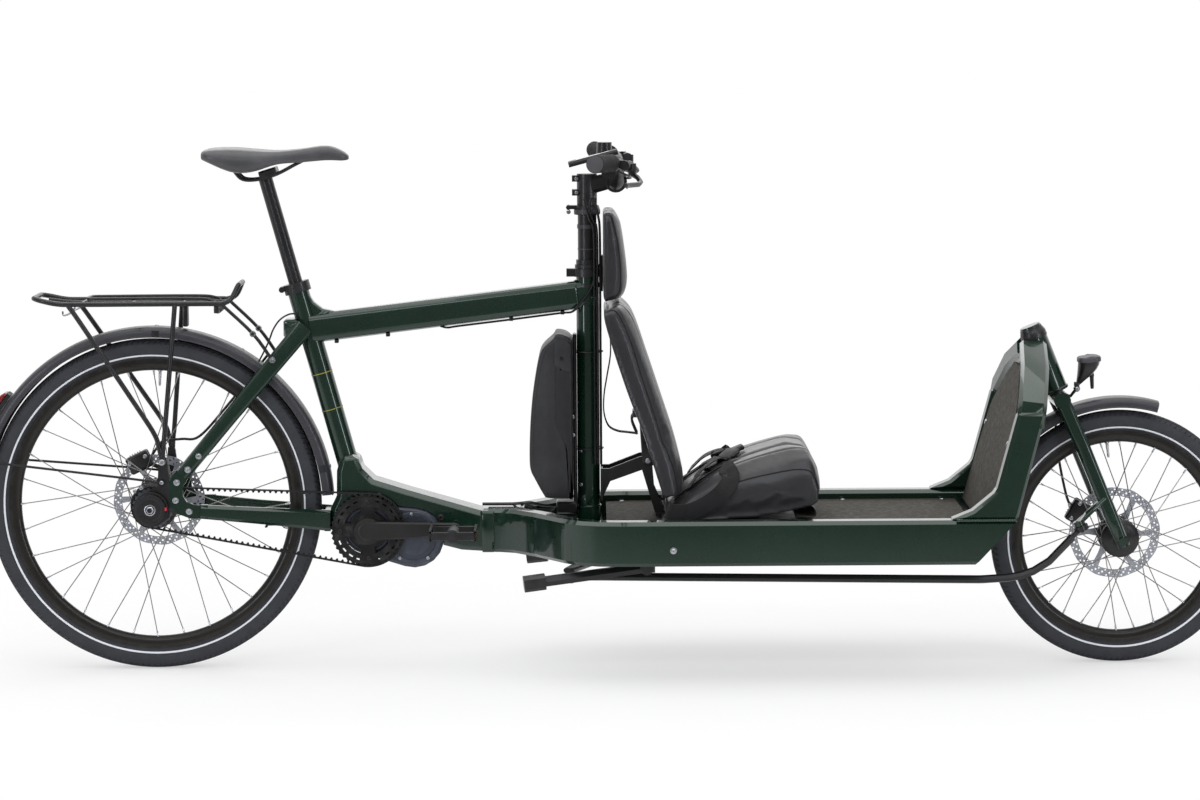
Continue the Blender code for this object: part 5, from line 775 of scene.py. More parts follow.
def fitted(obj, pairs, half, axes):
    """Stretches a pad so that it reaches as far as its solid along each axis."""
    target = [seat_at(x, z, y) for pair in pairs for x, z in pair for y in (-half, half)]
    spots = [v.co.copy() for v in obj.data.vertices]
    moves = [Vector() for _ in spots]
    for axis in axes:
        low, high = (pick(p.dot(axis) for p in target) for pick in (min, max))
        start, end = (pick(p.dot(axis) for p in spots) for pick in (min, max))
        for move, spot in zip(moves, spots):
            reach = spot.dot(axis)
            move += axis * (low + (reach - start) * (high - low) / (end - start) - reach)
    for vertex, spot, move in zip(obj.data.vertices, spots, moves):
        vertex.co = spot + move


def pad_end(obj, top, channels, body, node):
    """Evens the swollen skin, presses its sewn channels in and hands the pad over."""
    fine = obj.modifiers.new("fine", "SUBSURF")
    fine.levels = fine.render_levels = 1
    ease = obj.modifiers.new("ease", "SMOOTH")
    ease.factor = 0.5
    ease.iterations = 3
    settle(obj)
    mesh = obj.data
    normals = [v.normal.copy() for v in mesh.vertices]
    for vertex, normal in zip(mesh.vertices, normals):
        facing = max(0.0, min(1.0, (normal.dot(top) - 0.05) / 0.35))
        dip = max(exp(-((abs(vertex.co.y) - y) / CHANNEL_WIDTH) ** 2) for y in channels)
        vertex.co -= normal * dip * facing * CHANNEL_DEPTH
    mesh.materials.clear()
    mesh.materials.append(LEATHER)
    mesh.shade_smooth()
    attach(obj, body)
    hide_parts(node)
    return tree_of(mesh)


def tree_of(*meshes):
    """A searchable surface of some meshes."""
    spots, faces = [], []
    for mesh in meshes:
        base = len(spots)
        spots += [v.co.copy() for v in mesh.vertices]
        faces += [[base + i for i in p.vertices] for p in mesh.polygons]
    return BVHTree.FromPolygons(spots, faces)


def laid(tree, spots, way, lift):
    """The spots moved onto the surface that they meet along a way."""
    out = []
    for spot in spots:
        hit = tree.ray_cast(spot - way * 0.25, way)[0]
        out.append((hit or spot) - way * lift)
    return out


seat_pad = pad_start("seat_cushion_dressed", SEAT_PAIRS, 0.16)
back_pad = pad_start("backrest_dressed", BACK_PAIRS, 0.145)
head_pad = pad_start("headrest_dressed", HEAD_PAIRS, 0.105)
back_way = vec(-0.93, 0, -0.37)
blow_up([(seat_pad, 0.007, -UP), (back_pad, 0.0065, back_way), (head_pad, 0.006, -AHEAD)])

# The slot behind the head pad that slides on the bracket's rail
room = Form()
room.block((0.83, -0.0135, 0.7), (0.8805, 0.0135, 0.93))
room_mesh = bpy.data.meshes.new("rail_room")
room.bm.to_mesh(room_mesh)
room.bm.free()
room_obj = bpy.data.objects.new("rail_room", room_mesh)
scene.collection.objects.link(room_obj)

back_long = vec(-0.37, 0, 0.93).normalized()
fitted(seat_pad, SEAT_PAIRS, 0.16, (AHEAD, LEFT, UP))
fitted(back_pad, BACK_PAIRS, 0.145, (back_long, LEFT, back_long.cross(LEFT)))
fitted(head_pad, HEAD_PAIRS, 0.105, (AHEAD, LEFT, UP))
seat_tree = pad_end(seat_pad, UP, (0.052, 0.104), "frame", "seat_cushion")
back_tree = pad_end(back_pad, -back_way, (0.048, 0.098), "backrest", "backrest")
cut = head_pad.modifiers.new("slot", "BOOLEAN")
cut.operation = "DIFFERENCE"
cut.solver = "EXACT"
cut.object = room_obj
settle(head_pad)
head_tree = pad_end(head_pad, AHEAD, (0.036,), "headrest", "headrest")
bpy.data.objects.remove(room_obj)


def piping(name, tree, pairs, half, share, body):
    """A cord sewn round a pad's edge: along the upper side of each flank."""
    f = Form()
    lows, highs = pad_sides(pairs)
    for side in (-1, 1):
        spots = []
        for low, high in zip(lows, highs):
            way = (low - high).normalized()
            start = high + LEFT * side * half * share
            hit = tree.ray_cast(start - way * 0.05, way)[0]
            if hit:
                spots.append(hit)
        f.tube(spots, 0.0013, 8, smooth=2)
    f.done(name, STITCH, body)


piping("seat_piping", seat_tree, SEAT_PAIRS, 0.16, 0.93, "frame")
piping("back_piping", back_tree, BACK_PAIRS, 0.145, 0.93, "backrest")
piping("head_piping", head_tree, HEAD_PAIRS, 0.105, 0.92, "headrest")

# Hinge ears, pin, slotted plate and wire handle behind the back pad
f = Form()
for side in (-1, 1):
    low, high = sorted((side * 0.0345, side * 0.0405))
    ear = [(0.106, 0.104), (0.104, 0.12), (0.098, 0.212), (0.106, 0.216), (0.12, 0.212), (0.145, 0.12),
           (0.14, 0.104), (0.116, 0.1)]
    slit = [(0.109, 0.15), (0.106, 0.185), (0.109, 0.188), (0.113, 0.186), (0.117, 0.153), (0.113, 0.147)]
    f.plate([[seat_at(x, z).xz for x, z in outline] for outline in (ear, slit)], low, high, edge=0.0006)
f.lathe([(0.00001, -0.04), (0.0042, -0.04), (0.0045, -0.0396), (0.0045, 0.0396), (0.0042, 0.04),
         (0.00001, 0.04)], vec(0.965, 0, 0.408), LEFT, 24)
for side in (-1, 1):
    f.tube([vec(x, side * 0.016, z) for x, z in (
        (0.944, 0.458), (0.934, 0.484), (0.938, 0.496), (0.948, 0.498), (0.966, 0.466))], 0.0024, 10, 4)
f.tube([vec(0.94, -0.016, 0.4975), vec(0.94, 0.016, 0.4975)], 0.0024, 10)
f.block(seat_at(0.086, 0.193, -0.0195), seat_at(0.11, 0.207, 0.0195), 0.002)
f.look = 1
for side in (-1, 1):
    f.bolt(vec(0.965, side * 0.0405, 0.408), LEFT * side, 0.0062, 0.0028, 20)
    f.bolt(seat_at(0.108, 0.205, side * 0.0405), LEFT * side, 0.0045, 0.0022, 16)
f.done("back_hinge", [SATIN, BOLT], "backrest")

# Pull strap from the top of the back pad down to the wire handle
f = Form()
f.strip([(0.886, 0, 0.69), (0.89, 0, 0.664), (0.893, 0, 0.64), (0.8925, 0, 0.61), (0.886, 0, 0.572),
         (0.88, 0, 0.535), (0.8795, 0, 0.5), (0.888, 0, 0.474), (0.905, 0, 0.4635), (0.925, 0, 0.4605),
         (0.944, 0, 0.458)], 0.018, 0.0026, smooth=4)
f.done("pull_strap", WEBBING, "backrest")

# Belts round the seat's rear, with their ends heaped between the buckles
BELT_WIDE = 0.0165
BELT_THICK = 0.0013
f = Form()
for side in (-1, 1):
    over = [(1.1385, 0.1, 0.46), (1.118, 0.112, 0.46), (1.1, 0.126, 0.44), (1.084, 0.138, 0.42)]
    top = laid(seat_tree, [vec(x, side * y, z) for x, y, z in over], -UP, 0.0022)
    flank = [vec(1.1215, side * 0.15, 0.3885), vec(1.106, side * 0.1635, 0.366),
             vec(1.085, side * 0.164, 0.3475), vec(1.06, side * 0.164, 0.333),
             vec(1.034, side * 0.164, 0.3245), vec(1.012, side * 0.16, 0.324)]
    spots, _ = curved([vec(1.11, side * 0.11, top[1].z + 0.004), vec(1.118, side * 0.134, 0.4015)]
                      + flank + [vec(1.0, side * 0.14, 0.326), vec(0.999, side * 0.1, 0.328)], 6)
    rings = []
    for i, spot in enumerate(spots):
        along = (spots[min(i + 1, len(spots) - 1)] - spots[max(i - 1, 0)]).normalized()
        if abs(spot.y) > 0.14:
            outward = LEFT * side
        else:
            outward = vec(-0.5, side * 0.6, 0.6) if spot.z > 0.37 else vec(-1, side * 0.5, 0)
        wide = along.cross(outward).normalized()
        out = wide.cross(along).normalized()
        if out.dot(outward) < 0:
            out = -out
        rings.append([spot + wide * BELT_WIDE * w + out * BELT_THICK * t
                      for w, t in ((-1, -1), (-1, 1), (-0.5, 1.6), (0.5, 1.6), (1, 1), (1, -1))])
    f.skin(rings)
for side in (-1, 1):
    route = [(1.005, 0.08), (1.03, 0.08), (1.062, 0.079), (1.095, 0.074), (1.125, 0.066), (1.146, 0.06)]
    spots = laid(seat_tree, [vec(x, side * y, 0.5) for x, y in route], -UP, 0.0016)
    f.strip([spots[0] + vec(-0.004, 0, 0.004)] + spots, 0.025, 0.0022, smooth=4)
for fold, lift, rises, width, steps in (
        (((1.06, -0.01), (1.085, -0.03), (1.112, -0.034), (1.128, -0.015), (1.118, 0.012), (1.092, 0.03),
          (1.07, 0.04)), 0.005, [0.004 * sin(1.3 * i) for i in range(7)], 0.026, 5),
        (((1.04, -0.105), (1.066, -0.085), (1.094, -0.06), (1.11, -0.04)), 0.0075,
         (0.0, 0.01, 0.012, 0.002), 0.03, 6),
        (((1.05, 0.11), (1.076, 0.086), (1.1, 0.06), (1.112, 0.036)), 0.007,
         (0.0, 0.008, 0.01, 0.002), 0.03, 6)):
    base = laid(seat_tree, [vec(x, y, 0.5) for x, y in fold], -UP, lift)
    f.strip([p + UP * h for p, h in zip(base, rises)], width, 0.0022, smooth=steps)
f.look = 1
for x, y, turn in ((1.094, -0.056, 0.5), (1.122, -0.03, 0.9), (1.112, 0.03, -0.6), (1.134, 0.004, 0.1)):
    spot = laid(seat_tree, [vec(x, y, 0.5)], -UP, 0.008)[0]
    place = Matrix.Translation(spot) @ Matrix.Rotation(turn, 4, "Z") @ Matrix.Rotation(-0.38, 4, "Y")
    f.block((-0.02, -0.015, -0.004), (0.02, 0.015, 0.005), 0.0032, 3, place)
    for y in (-0.0175, 0.0135):
        f.block((-0.009, y, -0.0025), (0.012, y + 0.004, 0.0035), 0.0015, 2, place)
f.done("harness_dressed", [WEBBING, PLASTIC], "frame", "harness")

# The grey flap below the seat's front edge
f = Form()
flap = [seat_at(0.425, 0.034), seat_at(0.435, 0.026), seat_at(0.4385, 0.017), seat_at(0.434, 0.0095),
        seat_at(0.4, 0.0088)]
f.strip(flap, 0.23, 0.002, smooth=4)
f.done("seat_flap", look("grey_felt", (112, 110, 104), 0.9, grain=500, depth=0.0003), "frame")


# Drive
BELT_Y = -0.052
BELT_HALF = 0.0055
BELT_BACK = 0.0022
BELT_TOOTH = 0.00378
BELT_PITCH = 0.011


def belt():
    """The toothed belt: two straight runs between the rings, teeth inward."""
    near, far = 0.0411 - 0.0019, 0.0726 - 0.0019
    gap = CRANK - REAR
    lean = atan2(gap.z, gap.x)
    tilt = asin((far - near) / gap.length)
    spots = [CRANK + polar(lean - pi / 2 - tilt + (pi + 2 * tilt) * k / 60, far) for k in range(61)]
    spots += [REAR + polar(lean + pi / 2 + tilt + (pi - 2 * tilt) * k / 40, near) for k in range(41)]
    full = []
    for a, b in zip(spots, spots[1:] + spots[:1]):
        steps = max(1, round((b - a).length / 0.0055))
        full += [a.lerp(b, k / steps) for k in range(steps)]
    length = 0.0
    marks = [0.0]
    for a, b in zip(full, full[1:] + full[:1]):
        length += (b - a).length
        marks.append(length)
    teeth = round(length / BELT_PITCH)
    pitch = length / teeth
    f = Form()
    rings = []
    at = 0
    for tooth in range(teeth):
        for share, deep in ((0.0, 0.0), (0.22, 0.0), (0.4, BELT_TOOTH), (0.6, BELT_TOOTH), (0.78, 0.0)):
            reach = (tooth + share) * pitch
            while marks[at + 1] < reach:
                at += 1
            a, b = full[at], full[(at + 1) % len(full)]
            spot = a.lerp(b, (reach - marks[at]) / max(marks[at + 1] - marks[at], 1e-9))
            along = (b - a).normalized()
            out = vec(along.z, 0, -along.x)
            rings.append([spot + LEFT * (BELT_Y + side * BELT_HALF) + out * rise
                          for side, rise in ((-1, BELT_BACK), (1, BELT_BACK), (1, -deep), (-1, -deep))])
    f.skin(rings, loop=True)
    f.done("belt_dressed", RUBBER, "frame", "belt", angle=30)


belt()


def pedal(side, centre, node):
    """A cage pedal: two rails with teeth, ends, a centre barrel with its cap and reflectors."""
    f = Form()
    width, length, height = 0.085, 0.091, 0.024
    inner = side * 0.0935
    low, high = sorted((inner, inner + side * (width - 0.002)))
    x, z = centre
    step = (high - low) / 9
    crest, root = height / 2, height / 2 - 0.0025
    teeth = []
    for k in range(9):
        y = low + step * k
        teeth += [(y, root), (y + step * 0.25, crest), (y + step * 0.6, crest), (y + step * 0.8, root)]
    outline = ([(y, z + rise) for y, rise in teeth] + [(high, z + root)]
               + [(y, z - rise) for y, rise in reversed([(high, root)] + teeth)])
    holes = []
    for k in range(3):
        middle = low + (high - low) * (k + 0.5) / 3
        holes.append([(middle + y, z + rise) for y, rise in (
            (-0.01, -0.0045), (-0.006, -0.0068), (0.006, -0.0068), (0.01, -0.0045),
            (0.01, 0.0045), (0.006, 0.0068), (-0.006, 0.0068), (-0.01, 0.0045))])
    for rail in (x - length / 2, x + length / 2 - 0.005):
        f.plate([outline, *holes], rail, rail + 0.005, "front", 0.0006)
    reach = length / 2 - 0.004
    for y in (low, high - 0.006):
        f.block((x - reach, y, z - 0.008), (x + reach, y + 0.006, z + 0.008), 0.0018)
    f.lathe([(0.0075, low), (0.0125, low + 0.002), (0.013, low + 0.03), (0.0115, high - 0.014),
             (0.0095, high - 0.004), (0.008, high), (0.00001, high)], vec(x, 0, z), LEFT, 32)
    a, b = sorted((side * 0.075, inner))
    f.look = 1
    f.lathe([(0.00001, a), (0.0072, a), (0.0075, a + 0.001), (0.0075, b), (0.006, b + 0.002)], vec(x, 0, z),
            LEFT, 24)
    f.look = 2
    middle = (low + high) / 2
    for rail in (x - length / 2 - 0.0006, x + length / 2 - 0.0012):
        f.block((rail, middle - 0.018, z - 0.0052), (rail + 0.0018, middle + 0.018, z + 0.0052), 0.0005, 1)
    amber = look("amber_reflector_" + node, (120, 74, 20), 0.3, grain=300, depth=0.0003, kind="cells",
                 coat_weight=0.5)
    f.done(node + "_dressed", [PLASTIC, STEEL, amber], node, node)


pedal(-1, (0.588, 0.283), "pedal_right")
pedal(1, (0.2486, 0.273), "pedal_left")

# Crank: its cap and bolt, four ring bolts, the slotted spider
CRANK_TURN = 1.7
f = Form()
f.bolt(CRANK + LEFT * -0.0665, -LEFT, 0.0125, 0.0042, 32, 0.55, look=1)
f.lathe([(0.016, -0.001), (0.0185, 0.0), (0.0185, 0.0012), (0.016, 0.0022), (0.013, 0.0022)],
        CRANK + LEFT * -0.075, -LEFT, 40)
for index in range(4):
    spot = CRANK + polar(radians(90 * index + CRANK_TURN), 0.0545, -0.0592)
    f.bolt(spot, -LEFT, 0.0046, 0.0018, 16, look=2)
f.look = 3
x, z = CRANK.xz
outlines = [ring_of(x, z, 0.066, 96)]
for index in range(4):
    start = 90 * index + CRANK_TURN
    outlines.append(arc(x, z, 0.047, start + 14, start + 76, 8)
                    + arc(x, z, 0.032, start + 70, start + 20, 5))
    for turn in (22, 38, 54, 70):
        first, last = start + turn - 4, start + turn + 4
        outlines.append(arc(x, z, 0.061, first, last, 3) + arc(x, z, 0.058, last, first, 3))
outlines.append(ring_of(x, z, 0.02, 32))
f.plate(outlines, -0.0592, -0.0574, "side", 0.0)
f.done("crank_bolts", [CRANK_GREY, BOLT, SATIN, ANODISED], "cranks")

# Motor cover: raised rings round the crank, and a ring with five screws at the front end
f = Form()
f.lathe([(0.0455, 0.0), (0.0455, 0.0014), (0.044, 0.0022), (0.04, 0.0022), (0.039, 0.0012), (0.039, 0.0)],
        CRANK + LEFT * -0.0457, -LEFT, 64, ring=True)
f.lathe([(0.03, 0.0), (0.03, 0.0016), (0.027, 0.0026), (0.024, 0.0026)], CRANK + LEFT * -0.0457, -LEFT, 48)
far = vec(0.507, -0.0445, 0.26)
f.lathe([(0.052, 0.0), (0.052, 0.0012), (0.05, 0.0022), (0.0445, 0.0022), (0.043, 0.001), (0.043, 0.0)],
        far, -LEFT, 64, ring=True)
for angle in (25, 95, 165, 235, 305):
    f.bolt(far + polar(radians(angle), 0.0475, -0.002), -LEFT, 0.0034, 0.0018, 16, look=1)
f.done("motor_cover", [MOTOR_GREY, BOLT], "frame")

# Rear hub's right end: cap rings, axle nut, two screws and the small red mark
f = Form()
f.lathe([(0.03, 0.0), (0.03, 0.0006), (0.0285, 0.0012), (0.0215, 0.0012), (0.02, 0.0004)],
        REAR + LEFT * -0.0935, -LEFT, 48)
f.lathe([(0.0335, 0.0), (0.034, 0.0035), (0.0325, 0.0042), (0.03, 0.0042)], REAR + LEFT * -0.079, -LEFT, 48)
f.look = 1
f.bolt(REAR + LEFT * -0.0935, -LEFT, 0.0085, 0.0042, 6, 0.6)
f.lathe([(0.011, 0.0), (0.011, 0.001), (0.009, 0.0014)], REAR + LEFT * -0.0935, -LEFT, 32)
for x, z in ((-0.031, 0.36), (-0.018, 0.366)):
    f.bolt(vec(x, -0.0745, z), -LEFT, 0.0042, 0.0024, 16)
f.look = 2
f.block((0.0255, -0.0945, 0.3235), (0.0325, -0.0925, 0.3305), 0.0008, 1)
f.done("shifter_trim", [PLASTIC, BOLT, RED_MARK], "frame")


# Saddle and its rails
SADDLE = ((0.105, 0.052, 1.0, 1.014), (0.12, 0.067, 0.993, 1.02), (0.165, 0.0725, 0.974, 1.021),
          (0.205, 0.064, 0.974, 1.018), (0.25, 0.045, 0.988, 1.015), (0.295, 0.031, 0.991, 1.018),
          (0.345, 0.025, 0.995, 1.024), (0.375, 0.019, 0.994, 1.014), (0.388, 0.011, 0.996, 1.004))


def saddle():
    """The padded cover and the two rails under it."""
    f = Form()
    stations, _ = curved([vec(x, half, low) for x, half, low, _ in SADDLE], 3)
    tops, _ = curved([vec(x, half, high) for x, half, _, high in SADDLE], 3)
    rings = []
    for spot, top in zip(stations, tops):
        x, half, low, high = spot.x, spot.y, spot.z, top.z
        tall = high - low
        valley = 0.0035 if 0.13 < x < 0.36 else 0.0015
        shape = ((0.0, low + 0.004), (0.45, low + 0.002), (0.8, low), (0.93, low + 0.1 * tall),
                 (0.99, low + 0.3 * tall), (1.0, low + 0.52 * tall), (0.95, low + 0.74 * tall),
                 (0.82, low + 0.9 * tall), (0.6, high - 0.0006), (0.32, high), (0.14, high - 0.0008))
        ring = [vec(x, half * s, z) for s, z in shape] + [vec(x, 0, high - valley)]
        ring += [vec(x, -half * s, z) for s, z in reversed(shape[1:])]
        rings.append(ring)
    f.skin(rings)
    body = f.done("saddle_dressed", SADDLE_SKIN, "seat", "saddle", levels=2, angle=180)
    g = Form()
    for side in (-1, 1):
        rail = [(0.16, 0.024, 0.992), (0.168, 0.024, 0.976), (0.184, 0.022, 0.96), (0.215, 0.022, 0.96),
                (0.25, 0.022, 0.97), (0.285, 0.021, 0.988), (0.307, 0.016, 0.998), (0.325, 0.01, 1.002)]
        g.tube([vec(x, side * y, z) for x, y, z in rail], 0.0035, 12, smooth=5)
    g.done("saddle_rails", SATIN, "seat")


saddle()


# Rack, its clamp and the guards
def mirrored(form, points, radius, sides=12, smooth=0):
    """A tube on the right and its mirror image on the left."""
    for side in (-1, 1):
        form.tube([vec(x, side * y, z) for x, y, z in points], radius, sides, smooth)


def eyelet(form, centre, inner, outer, half, along, across):
    """A ring across the bike, its outer corners cut by two lengths."""
    form.lathe([(inner, -half), (outer - across, -half), (outer, along - half), (outer, half - along),
                (outer - across, half), (inner, half)], centre, LEFT, 20, ring=True)


f = Form()
half_loop = [(0.174, 0.03, 0.757), (0.172, 0.042, 0.754), (0.16, 0.053, 0.731), (0.143, 0.06, 0.7225),
             (0.12, 0.06, 0.7225), (0.0, 0.06, 0.7225), (-0.14, 0.06, 0.7225), (-0.175, 0.06, 0.7235),
             (-0.205, 0.058, 0.7295), (-0.2205, 0.046, 0.733), (-0.2225, 0.03, 0.7332)]
loop = [vec(x, y, z) for x, y, z in half_loop] + [vec(x, -y, z) for x, y, z in reversed(half_loop)]
f.tube(loop, 0.005, 12, smooth=4, loop=True)
for x in (-0.13, -0.032, 0.066):
    f.tube([vec(x, -0.058, 0.7225), vec(x, 0.058, 0.7225)], 0.0032, 10)
f.tube([(-0.2, 0, 0.7285), (-0.13, 0, 0.7225), (0.132, 0, 0.7225), (0.15, 0, 0.725)], 0.003, 10, 3)
mirrored(f, [(-0.155, 0.06, 0.7215), (-0.128, 0.0635, 0.683), (-0.02, 0.0775, 0.52), (0.01, 0.0806, 0.472),
             (0.018, 0.0806, 0.448), (0.024, 0.0806, 0.4173)], 0.0048, 12, 4)
mirrored(f, [(0.052, 0.06, 0.7215), (0.0495, 0.064, 0.69), (0.0305, 0.0795, 0.48), (0.027, 0.0806, 0.45),
             (0.0245, 0.0806, 0.4173)], 0.0048, 12, 4)
for side in (-1, 1):
    f.lathe([(0.003, 0.0), (0.007, 0.0), (0.0072, 0.001), (0.0072, 0.0095), (0.0068, 0.0105),
             (0.003, 0.0105)], vec(0.024, side * 0.0748, 0.4173), LEFT * side, 24)
    low, high = sorted((side * 0.0455, side * 0.06))
    f.block((0.127, low, 0.7035), (0.137, high, 0.7215), 0.0015)
f.block((0.0612, -0.0118, 0.6737), (0.0708, 0.0118, 0.7218), 0.0022)
mirrored(f, [(0.142, 0.06, 0.7215), (0.15, 0.06, 0.714), (0.203, 0.058, 0.662), (0.238, 0.056, 0.612)],
         0.0034, 12, 4)
f.look = 1
for side in (-1, 1):
    f.bolt(vec(0.024, side * 0.0853, 0.4173), LEFT * side, 0.0062, 0.0026, 20)
    for x, z in ((0.238, 0.612), (0.2015, 0.6635)):
        eyelet(f, vec(x, side * (0.056 if x > 0.22 else 0.0582), z), 0.0032, 0.0062, 0.0035, 0.001, 0.0006)
    f.bolt(vec(0.238, side * 0.059, 0.612), LEFT * side, 0.0036, 0.003, 16)
mirrored(f, [(-0.14, 0.0595, 0.717), (-0.15, 0.0595, 0.706), (-0.163, 0.056, 0.701), (-0.166, 0.05, 0.708)],
         0.0019, 8, 4)
f.done("rack_dressed", [SATIN, BOLT], "frame", "rack")

f = Form()
f.tube([vec(0.132, 0, 0.7085) + polar(tau * k / 12, 0.0062, -0.044 + 0.088 * k / 96) for k in range(97)],
       0.0014, 8)
f.tube([vec(0.132, -0.0575, 0.7085), vec(0.132, 0.0575, 0.7085)], 0.0025, 12)
clip_half = [(0.1325, 0.044, 0.715), (0.128, 0.04, 0.722), (0.118, 0.035, 0.7275), (0.08, 0.034, 0.7306),
             (-0.1, 0.031, 0.7306), (-0.116, 0.026, 0.7306), (-0.122, 0.012, 0.7306)]
clip = [vec(x, y, z) for x, y, z in clip_half] + [vec(x, -y, z) for x, y, z in reversed(clip_half)]
f.tube(clip, 0.0032, 12, smooth=4)
f.done("rack_clamp_dressed", SATIN, "rack_clamp", "rack_clamp")

GUARD_HALF = ((0.0292, -0.0125), (0.029, -0.006), (0.0278, -0.0012), (0.0248, 0.0022), (0.019, 0.0046),
              (0.012, 0.006), (0.004, 0.0065))
GUARD_THICK = 0.002
GUARD_SECTION = tuple((-y, z) for y, z in GUARD_HALF) + GUARD_HALF[::-1]


def guard(form, centre, radius, start, end):
    """A mudguard: its folded section swept round the wheel, with rolled edges."""
    steps = round((end - start) / 2)
    angles = [radians(start + (end - start) * k / steps) for k in range(steps + 1)]
    section = [(y, radius + rise) for y, rise in GUARD_SECTION]
    section += [(y * 0.975, reach - GUARD_THICK) for y, reach in reversed(section)]
    form.skin([[centre + polar(a, reach, y) for y, reach in section] for a in angles])
    for side in (-1, 1):
        form.tube([centre + polar(a, radius - 0.0128, side * 0.0287) for a in angles], 0.0012, 8)


REAR_GUARD = 0.3435
f = Form()
guard(f, REAR, REAR_GUARD, 3, 188)
f.look = 1
for side in (-1, 1):
    f.tube([vec(x, side * y, z) for x, y, z in (
        (-0.334, 0.0292, 0.4138), (-0.327, 0.0312, 0.4134), (-0.302, 0.0365, 0.4116),
        (-0.04, 0.077, 0.385), (0.01, 0.0785, 0.378), (0.022, 0.078, 0.377))], 0.0024, 10, 3)
    eyelet(f, vec(0.022, side * 0.078, 0.377), 0.0022, 0.0056, 0.002, 0.0008, 0.0004)
for angle in (88.5, 176, 12, 165.1):
    out, along = polar(radians(angle)), polar(radians(angle + 90))
    for side in (-1, 1):
        place = Matrix((along, LEFT * side, out)).transposed().to_4x4()
        place = Matrix.Translation(REAR + out * (REAR_GUARD + 0.001)) @ place
        f.block((-0.007, 0.0262, -0.0145), (0.007, 0.0305, -0.0015), 0.0012, 2, place)
f.look = 2
for side in (-1, 1):
    f.bolt(vec(0.022, side * 0.08, 0.377), LEFT * side, 0.0042, 0.0022, 16)
for angle in (88.5, 60, 12):
    out = polar(radians(angle))
    f.bolt(REAR + out * (REAR_GUARD + 0.0062), out, 0.0045, 0.002, 16)
f.done("rear_mudguard_dressed", [GUARD, PLASTIC, BOLT], "frame", "rear_mudguard")

f = Form()
guard(f, FRONT, 0.2705, 74, 129)
f.done("front_mudguard_dressed", GUARD, "fork", "front_mudguard")

# Rear light: bulged red lens on a black base
f = Form()
for low, high, start, end, f.look in ((0.3518, 0.36, 142, 151, 0), (0.3595, 0.3706, 142.4, 150.6, 1)):
    rings = []
    for k in range(9):
        angle = radians(start + (end - start) * k / 8)
        top = low + (high - low) * (sin(pi * (0.12 + 0.76 * k / 8)) if f.look else 1.0)
        rings.append([REAR + polar(angle, r, y) for y, r in (
            (-0.0185, low), (-0.0185, top - 0.003), (-0.0155, top), (0.0155, top), (0.0185, top - 0.003),
            (0.0185, low))])
    f.skin(rings)
f.done("rear_light_dressed", [PLASTIC, RED_LENS], "frame", "rear_light")


# Handlebar, grips and what hangs between the bar and the frame
BAR = [(0.864, 0.335, 0.999), (0.886, 0.25, 0.9965), (0.905, 0.17, 0.993), (0.91, 0.11, 0.985),
       (0.908, 0.07, 0.966), (0.905, 0.04, 0.952)]
f = Form()
route = BAR + [(0.905, 0, 0.952)] + [(x, -y, z) for x, y, z in reversed(BAR)]
f.tube(route, 0.0111, 24, smooth=5, radii=[0.0111] * 4 + [0.0125] + [0.0159] * 3 + [0.0125] + [0.0111] * 4)
for side in (-1, 1):
    end = vec(0.864, side * 0.335, 0.999)
    way = (vec(0.886, side * 0.25, 0.9965) - end).normalized()
    start = end + way * 0.0005
    f.look = 1
    profile = [(0.01, 0.0), (0.016, 0.0005), (0.017, 0.002), (0.017, 0.008), (0.016, 0.009)]
    at = 0.01
    while at < 0.112:
        profile += [(0.016, at), (0.0168, at + 0.0012), (0.0168, at + 0.0036), (0.016, at + 0.0048)]
        at += 0.006
    profile += [(0.016, 0.1155), (0.0168, 0.1165), (0.0168, 0.124), (0.0158, 0.125), (0.0112, 0.125)]
    f.lathe(profile, start, way, 32)
    f.look = 2
    f.lathe([(0.00001, -0.0022), (0.006, -0.0022), (0.0075, -0.0014), (0.0135, -0.0012), (0.0158, -0.0004),
             (0.016, 0.001)], start, way, 32)
    f.look = 0
f.done("handlebar_dressed", [ANODISED, RUBBER, look("grip_cap", (74, 74, 76), 0.5, grain=600)], "cockpit",
       "handlebar")

f = Form()
cables = (
    ((0.864, -0.048, 0.9235), (0.859, -0.0465, 0.922), (0.855, -0.043, 0.912), (0.855, -0.037, 0.895),
     (0.861, -0.03, 0.875), (0.868, -0.0268, 0.85), (0.868, -0.0268, 0.7), (0.868, -0.0268, 0.4)),
    ((0.866, -0.043, 0.92), (0.8655, -0.04, 0.91), (0.87, -0.032, 0.888), (0.8735, -0.0225, 0.85),
     (0.8735, -0.0225, 0.7), (0.8735, -0.0225, 0.4)),
    ((0.844, -0.044, 0.92), (0.846, -0.04, 0.905), (0.854, -0.033, 0.878), (0.862, -0.029, 0.85),
     (0.862, -0.029, 0.7), (0.862, -0.029, 0.4)),
)
for route in cables:
    f.tube(route, 0.0024, 10, smooth=6)
for z in (0.62, 0.43):
    f.tube([(STEER_X + 0.0285 * cos(a), 0.0285 * sin(a), z) for a in turns(24)], 0.0016, 6, loop=True)
f.done("bar_cables_dressed", CABLE, "frame", "bar_cables")


